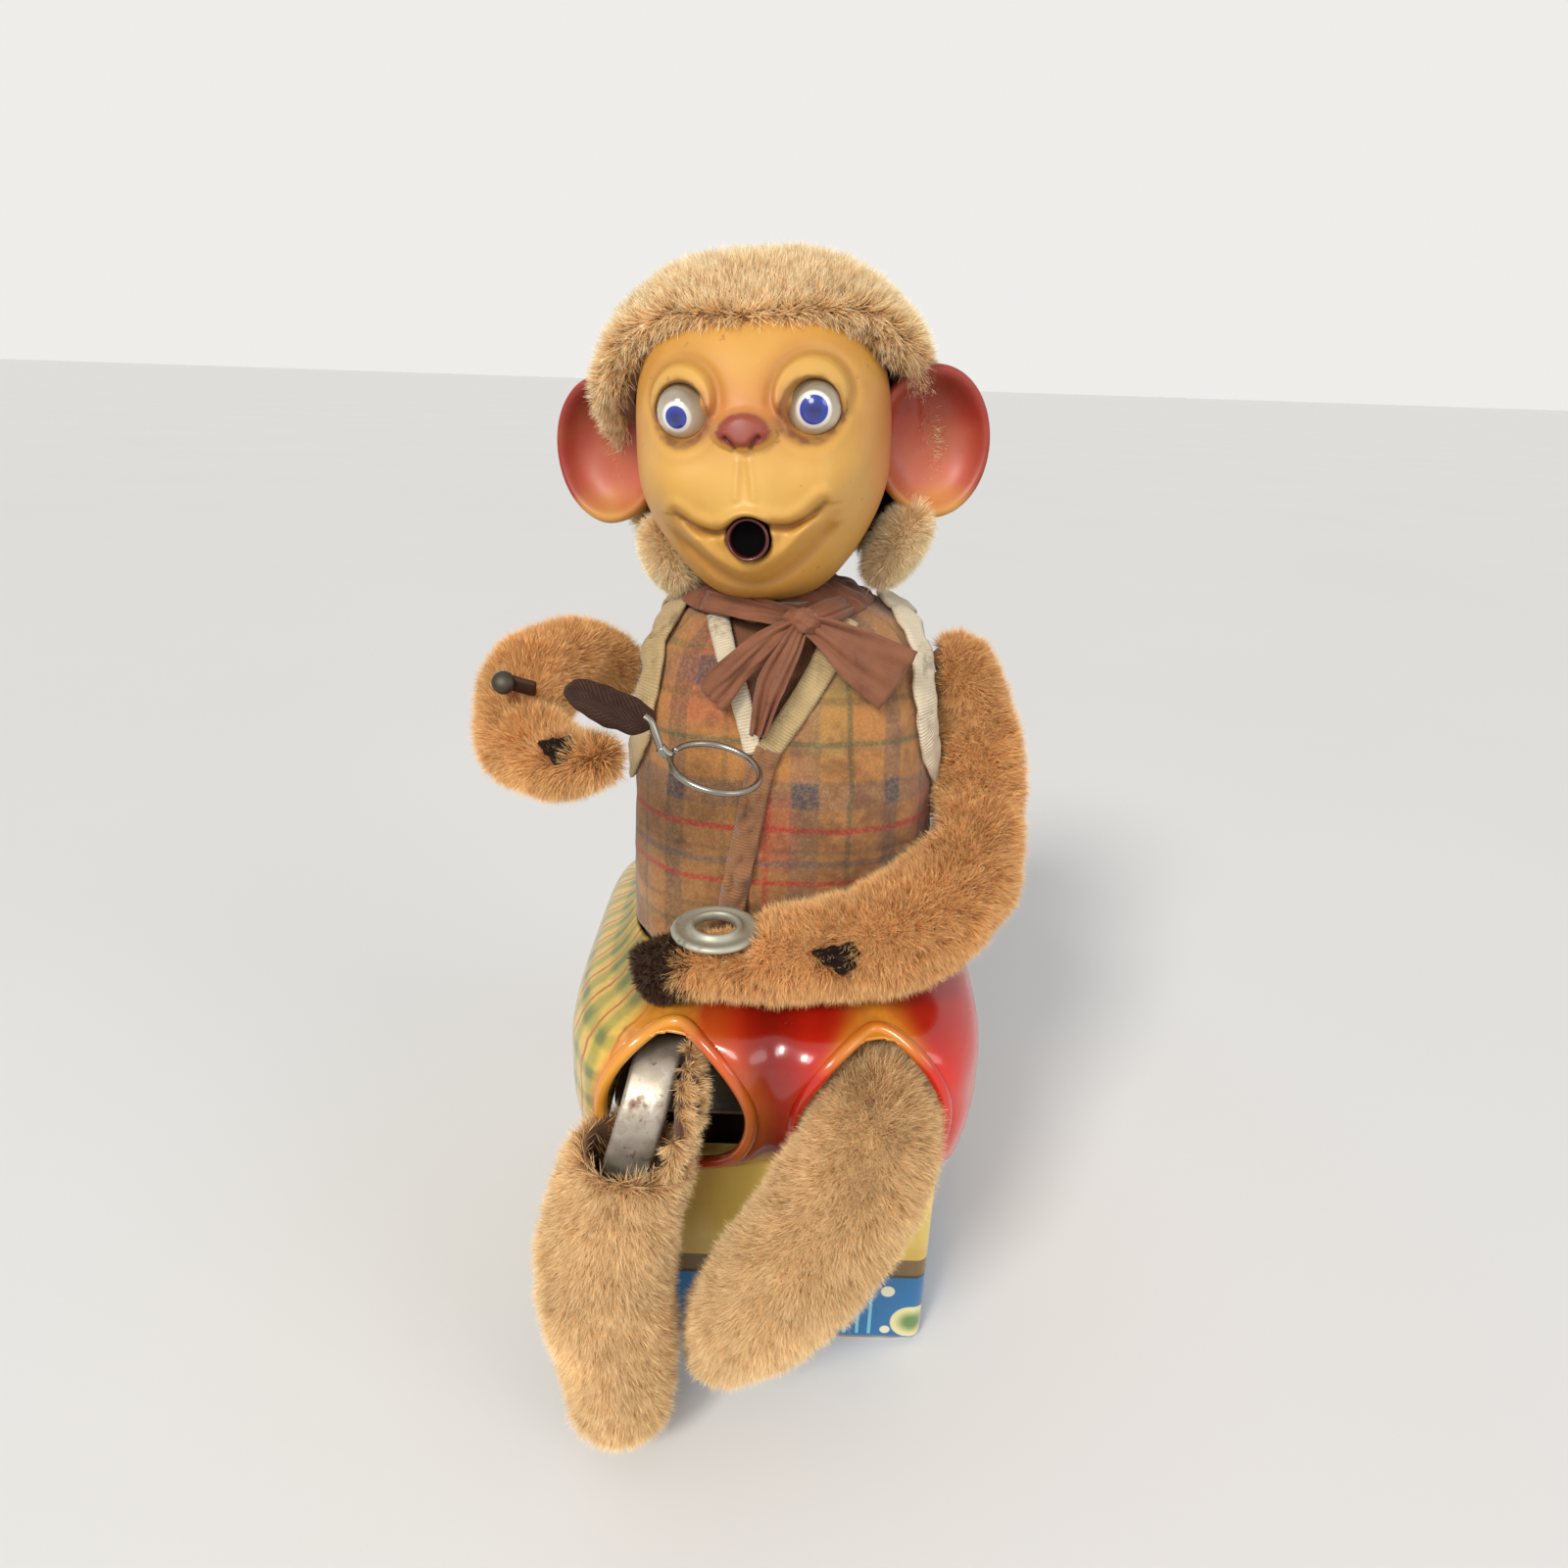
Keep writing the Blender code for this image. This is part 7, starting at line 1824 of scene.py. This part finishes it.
# The wand's ring: middle, radius and tilt
RING = (-12.1, -62.0, 165.0, 7.8)
RING_TILT = math.radians(10)


def wand():
    angles = math.radians(172) + np.linspace(0, math.radians(350), 90)
    x, y, z, radius = RING
    ring = np.stack([x + radius * np.cos(angles), y + radius * np.sin(angles) * math.cos(RING_TILT),
                     z + radius * (np.sin(angles) * math.sin(RING_TILT) - 0.2 * np.cos(angles))], 1)
    stem = spline([(-24.6, -60.9, 173.6), (-23.4, -61.2, 172.6), (-22.3, -61.8, 170.0), (-21.2, -62.0, 167.2),
                   ring[0]], 8)
    path = np.vstack([stem[:-1], ring])
    thickness = np.concatenate([np.linspace(0.85, 0.62, len(stem) - 1), np.full(len(ring), 0.6)])
    wire = tube("wire_ring_wand", path, thickness, NICKEL, 14, (0, 0, 1))
    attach(wire, "right_arm")
    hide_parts("wand")
    path = spline([(-21.8, -61.9, 168.4), (-20.9, -61.7, 167.3), (-20.1, -61.4, 166.7)], 6)
    crimp = tube("wand_crimp", path, 1.0, NICKEL, 14, (0, 0, 1))
    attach(crimp, "right_arm")


def hand_pad():
    """The worn dark cloth of the right hand, folded over its strip."""
    place = Matrix.Translation((-31.0, -58.5, 174.4)) @ spin(-18, "Z") @ spin(18, "Y")
    angles = circle(48)
    rings = []
    for t in np.linspace(-1, 1, 33)[1:-1]:
        size = (1 - abs(t) ** 2.6) ** (1 / 2.2)
        y = 5.2 * size * np.cos(angles)
        z = 2.3 * size ** 0.7 * np.sign(np.sin(angles)) * np.abs(np.sin(angles)) ** 0.8
        z = z + 1.3 * (y / 5.2) ** 2 + 0.9 * t ** 2 - 0.8
        local = np.column_stack([np.full(len(angles), t * 8.6), y, z])
        local[:, 2] += lumps(local, 2.4, 0.55, 61)
        rings.append(moved(local, place))
    ends = [moved((t * 8.7, 0, 0.2), place) for t in (-1, 1)]
    pad = loft("right_hand_cloth", rings, DARK_CLOTH, poles=ends, uv=lambda k, i: (i * 0.06, k * 0.055))
    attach(pad, "right_arm")
    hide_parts("right_hand_pad")


def cup_ring():
    """A dished washer with a raised inner rim and a rolled edge."""
    profile = [(4.4, 0.1), (4.4, 1.7), (4.7, 2.0), (5.1, 2.0), (5.45, 1.6), (5.7, 0.9), (6.3, 0.75),
               (7.2, 0.8), (7.7, 1.15), (8.2, 1.3), (8.7, 1.15), (9.1, 0.7), (9.2, 0.35), (9.0, 0.05),
               (8.6, 0.0), (7.0, 0.0), (5.0, 0.0), (4.4, 0.1)]
    ring = turned("cup_ring", profile, DULL_TIN, metric(Matrix.Translation(CUP)), 96)
    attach(ring, "root")
    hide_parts("cup_holder")


def elbow_tab():
    """The riveted leather tab at the right elbow."""
    turn = spin(14, "Y") @ spin(35, "X")
    tab = rounded_bar("elbow_tab", (-51.0, -43.6, 173.4), (3.6, 0.6, 2.0), DARK_CLOTH, 0.5, turn)
    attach(tab, "right_arm")
    place = metric(Matrix.Translation((-53.2, -45.2, 174.2)) @ spin(58, "X"))
    profile = [(0.0, 1.3), (0.9, 1.2), (1.8, 0.8), (2.2, 0.2), (2.2, -0.6), (0.0, -0.7)]
    rivet = turned("elbow_rivet", profile, DARK_METAL, place, 40)
    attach(rivet, "right_arm")


def node_finishes():
    """Finishes of the CAD nodes that stay in sight or inside."""
    groups = {
        PLAIN_TIN: ("base_plate", "battery_door", "deck_plate", "torso_front", "torso_rear", "frame_right",
                    "frame_left", "motor_can", "skull_plate", "neck_collar", "head_stem", "arm_lever",
                    "crank_link", "switch_lever", "left_leg_strip", "left_arm_strip", "right_arm_strip"),
        STEEL: ("hinge_pin", "spacer_lower", "spacer_upper", "motor_shaft", "stud_first", "stud_second",
                "stud_crank", "arm_shaft"),
        BRASS: ("bridge_contact", "motor_pinion"),
        NYLON: ("blower_housing", "impeller", "first_gear", "second_gear", "crank_wheel"),
        FIBRE: ("battery_well", "contact_board", "switch_plate"),
        RUBBER: ("air_tube", "mouth_tube"),
        CELL: ("cell_left", "cell_right"),
    }
    for material, names in groups.items():
        for name in names:
            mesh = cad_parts[name].data
            mesh.materials.clear()
            mesh.materials.append(material)


# The least side of a sheet laid flat, in metres
LEAST_FLAT = 0.0101


def declare(piece, body, replaced=()):
    """Attach a sheet to its body and hide the nodes it replaces; its flat size, at least a little over a
    centimetre each way, is worked out but not kept.
    """
    width, length, area = piece["flat"]
    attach(piece, body)
    if replaced:
        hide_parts(*replaced)
    width, length = max(width, LEAST_FLAT), max(length, LEAST_FLAT)
    if area > width * length:
        width = area / length


def clothes():
    cloth, area = vest()
    bindings = trims()
    for band in bindings:
        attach(band, "root")
    declare(v_lining(), "root")
    tails, knot, collar, leads = bow()
    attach(knot, "root")
    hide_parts("neck_bow")
    for tail in tails:
        declare(tail, "root")
    declare(collar, "root", ["neck_ribbon"])
    for lead in leads:
        declare(lead, "root")


# Stage: floor, light and camera

def light(name, kind, place, power, **settings):
    """A lamp turned towards the middle of the toy."""
    lamp = bpy.data.lights.new(name, kind)
    lamp.energy = power
    for key, value in settings.items():
        setattr(lamp, key, value)
    thing = bpy.data.objects.new(name, lamp)
    thing.location = place
    thing.rotation_euler = (Vector((0, -0.02, 0.13)) - Vector(place)).to_track_quat("-Z", "Y").to_euler()
    scene.collection.objects.link(thing)


def stage():
    pale = finish("pale_floor", lambda nodes: {
        "Base Color": nodes.mix(nodes.noise(3.0), srgb(228, 227, 224), srgb(233, 232, 229))}, Roughness=0.9)
    floor = start_shape("plane", "floor", pale, size=60.0)
    world = bpy.data.worlds.new("studio")
    scene.world = world
    world.use_nodes = True
    nodes = Nodes(world.node_tree)
    background = world.node_tree.nodes["Background"]
    path = nodes.add("ShaderNodeLightPath").outputs
    mirrored = nodes.most(path["Is Glossy Ray"], path["Is Transmission Ray"])
    seen = nodes.most(path["Is Camera Ray"], mirrored)
    nodes.feed(background.inputs["Color"], nodes.mix(seen, (0.96, 0.97, 1.0), (0.86, 0.85, 0.83)))
    strength = nodes.add("ShaderNodeMapRange", {"Value": seen, "To Min": 0.5, "To Max": 1.0}).outputs[0]
    nodes.feed(background.inputs["Strength"], strength)
    light("key_sun", "SUN", (-0.45, -0.8, 0.85), 1.75, angle=math.radians(14), color=(1.0, 0.965, 0.91))
    light("fill_sun", "SUN", (0.7, -0.55, 0.5), 0.55, angle=math.radians(30), color=(0.97, 0.98, 1.0))
    light("soft_box", "AREA", (-0.12, -0.6, 0.5), 1.1, shape="DISK", size=0.22)
    pitch, roll = math.radians(22), math.radians(1.9)
    ahead = Vector((0, math.cos(pitch), -math.sin(pitch)))
    level = Vector((1, 0, 0))
    above = level.cross(ahead)
    right = math.cos(roll) * level + math.sin(roll) * above
    up = math.cos(roll) * above - math.sin(roll) * level
    camera = bpy.data.objects.new("camera", bpy.data.cameras.new("camera"))
    camera.data.lens = SENSOR * PHOTO_FOCAL / PHOTO_WIDTH
    camera.data.sensor_width = SENSOR
    camera.data.clip_start = 0.01
    turn = Matrix((right, up, -ahead)).transposed().to_4x4()
    camera.matrix_world = Matrix.Translation(Vector(CAMERA) * MM) @ turn
    scene.collection.objects.link(camera)
    scene.camera = camera
    scene.view_settings.view_transform = "Standard"


stage()
node_finishes()
tin_box()
pants()
clothes()
limbs()
mask()
eyes()
eyelet()
hood()
leg_strip()
thigh_cloth()
wand()
hand_pad()
cup_ring()
elbow_tab()
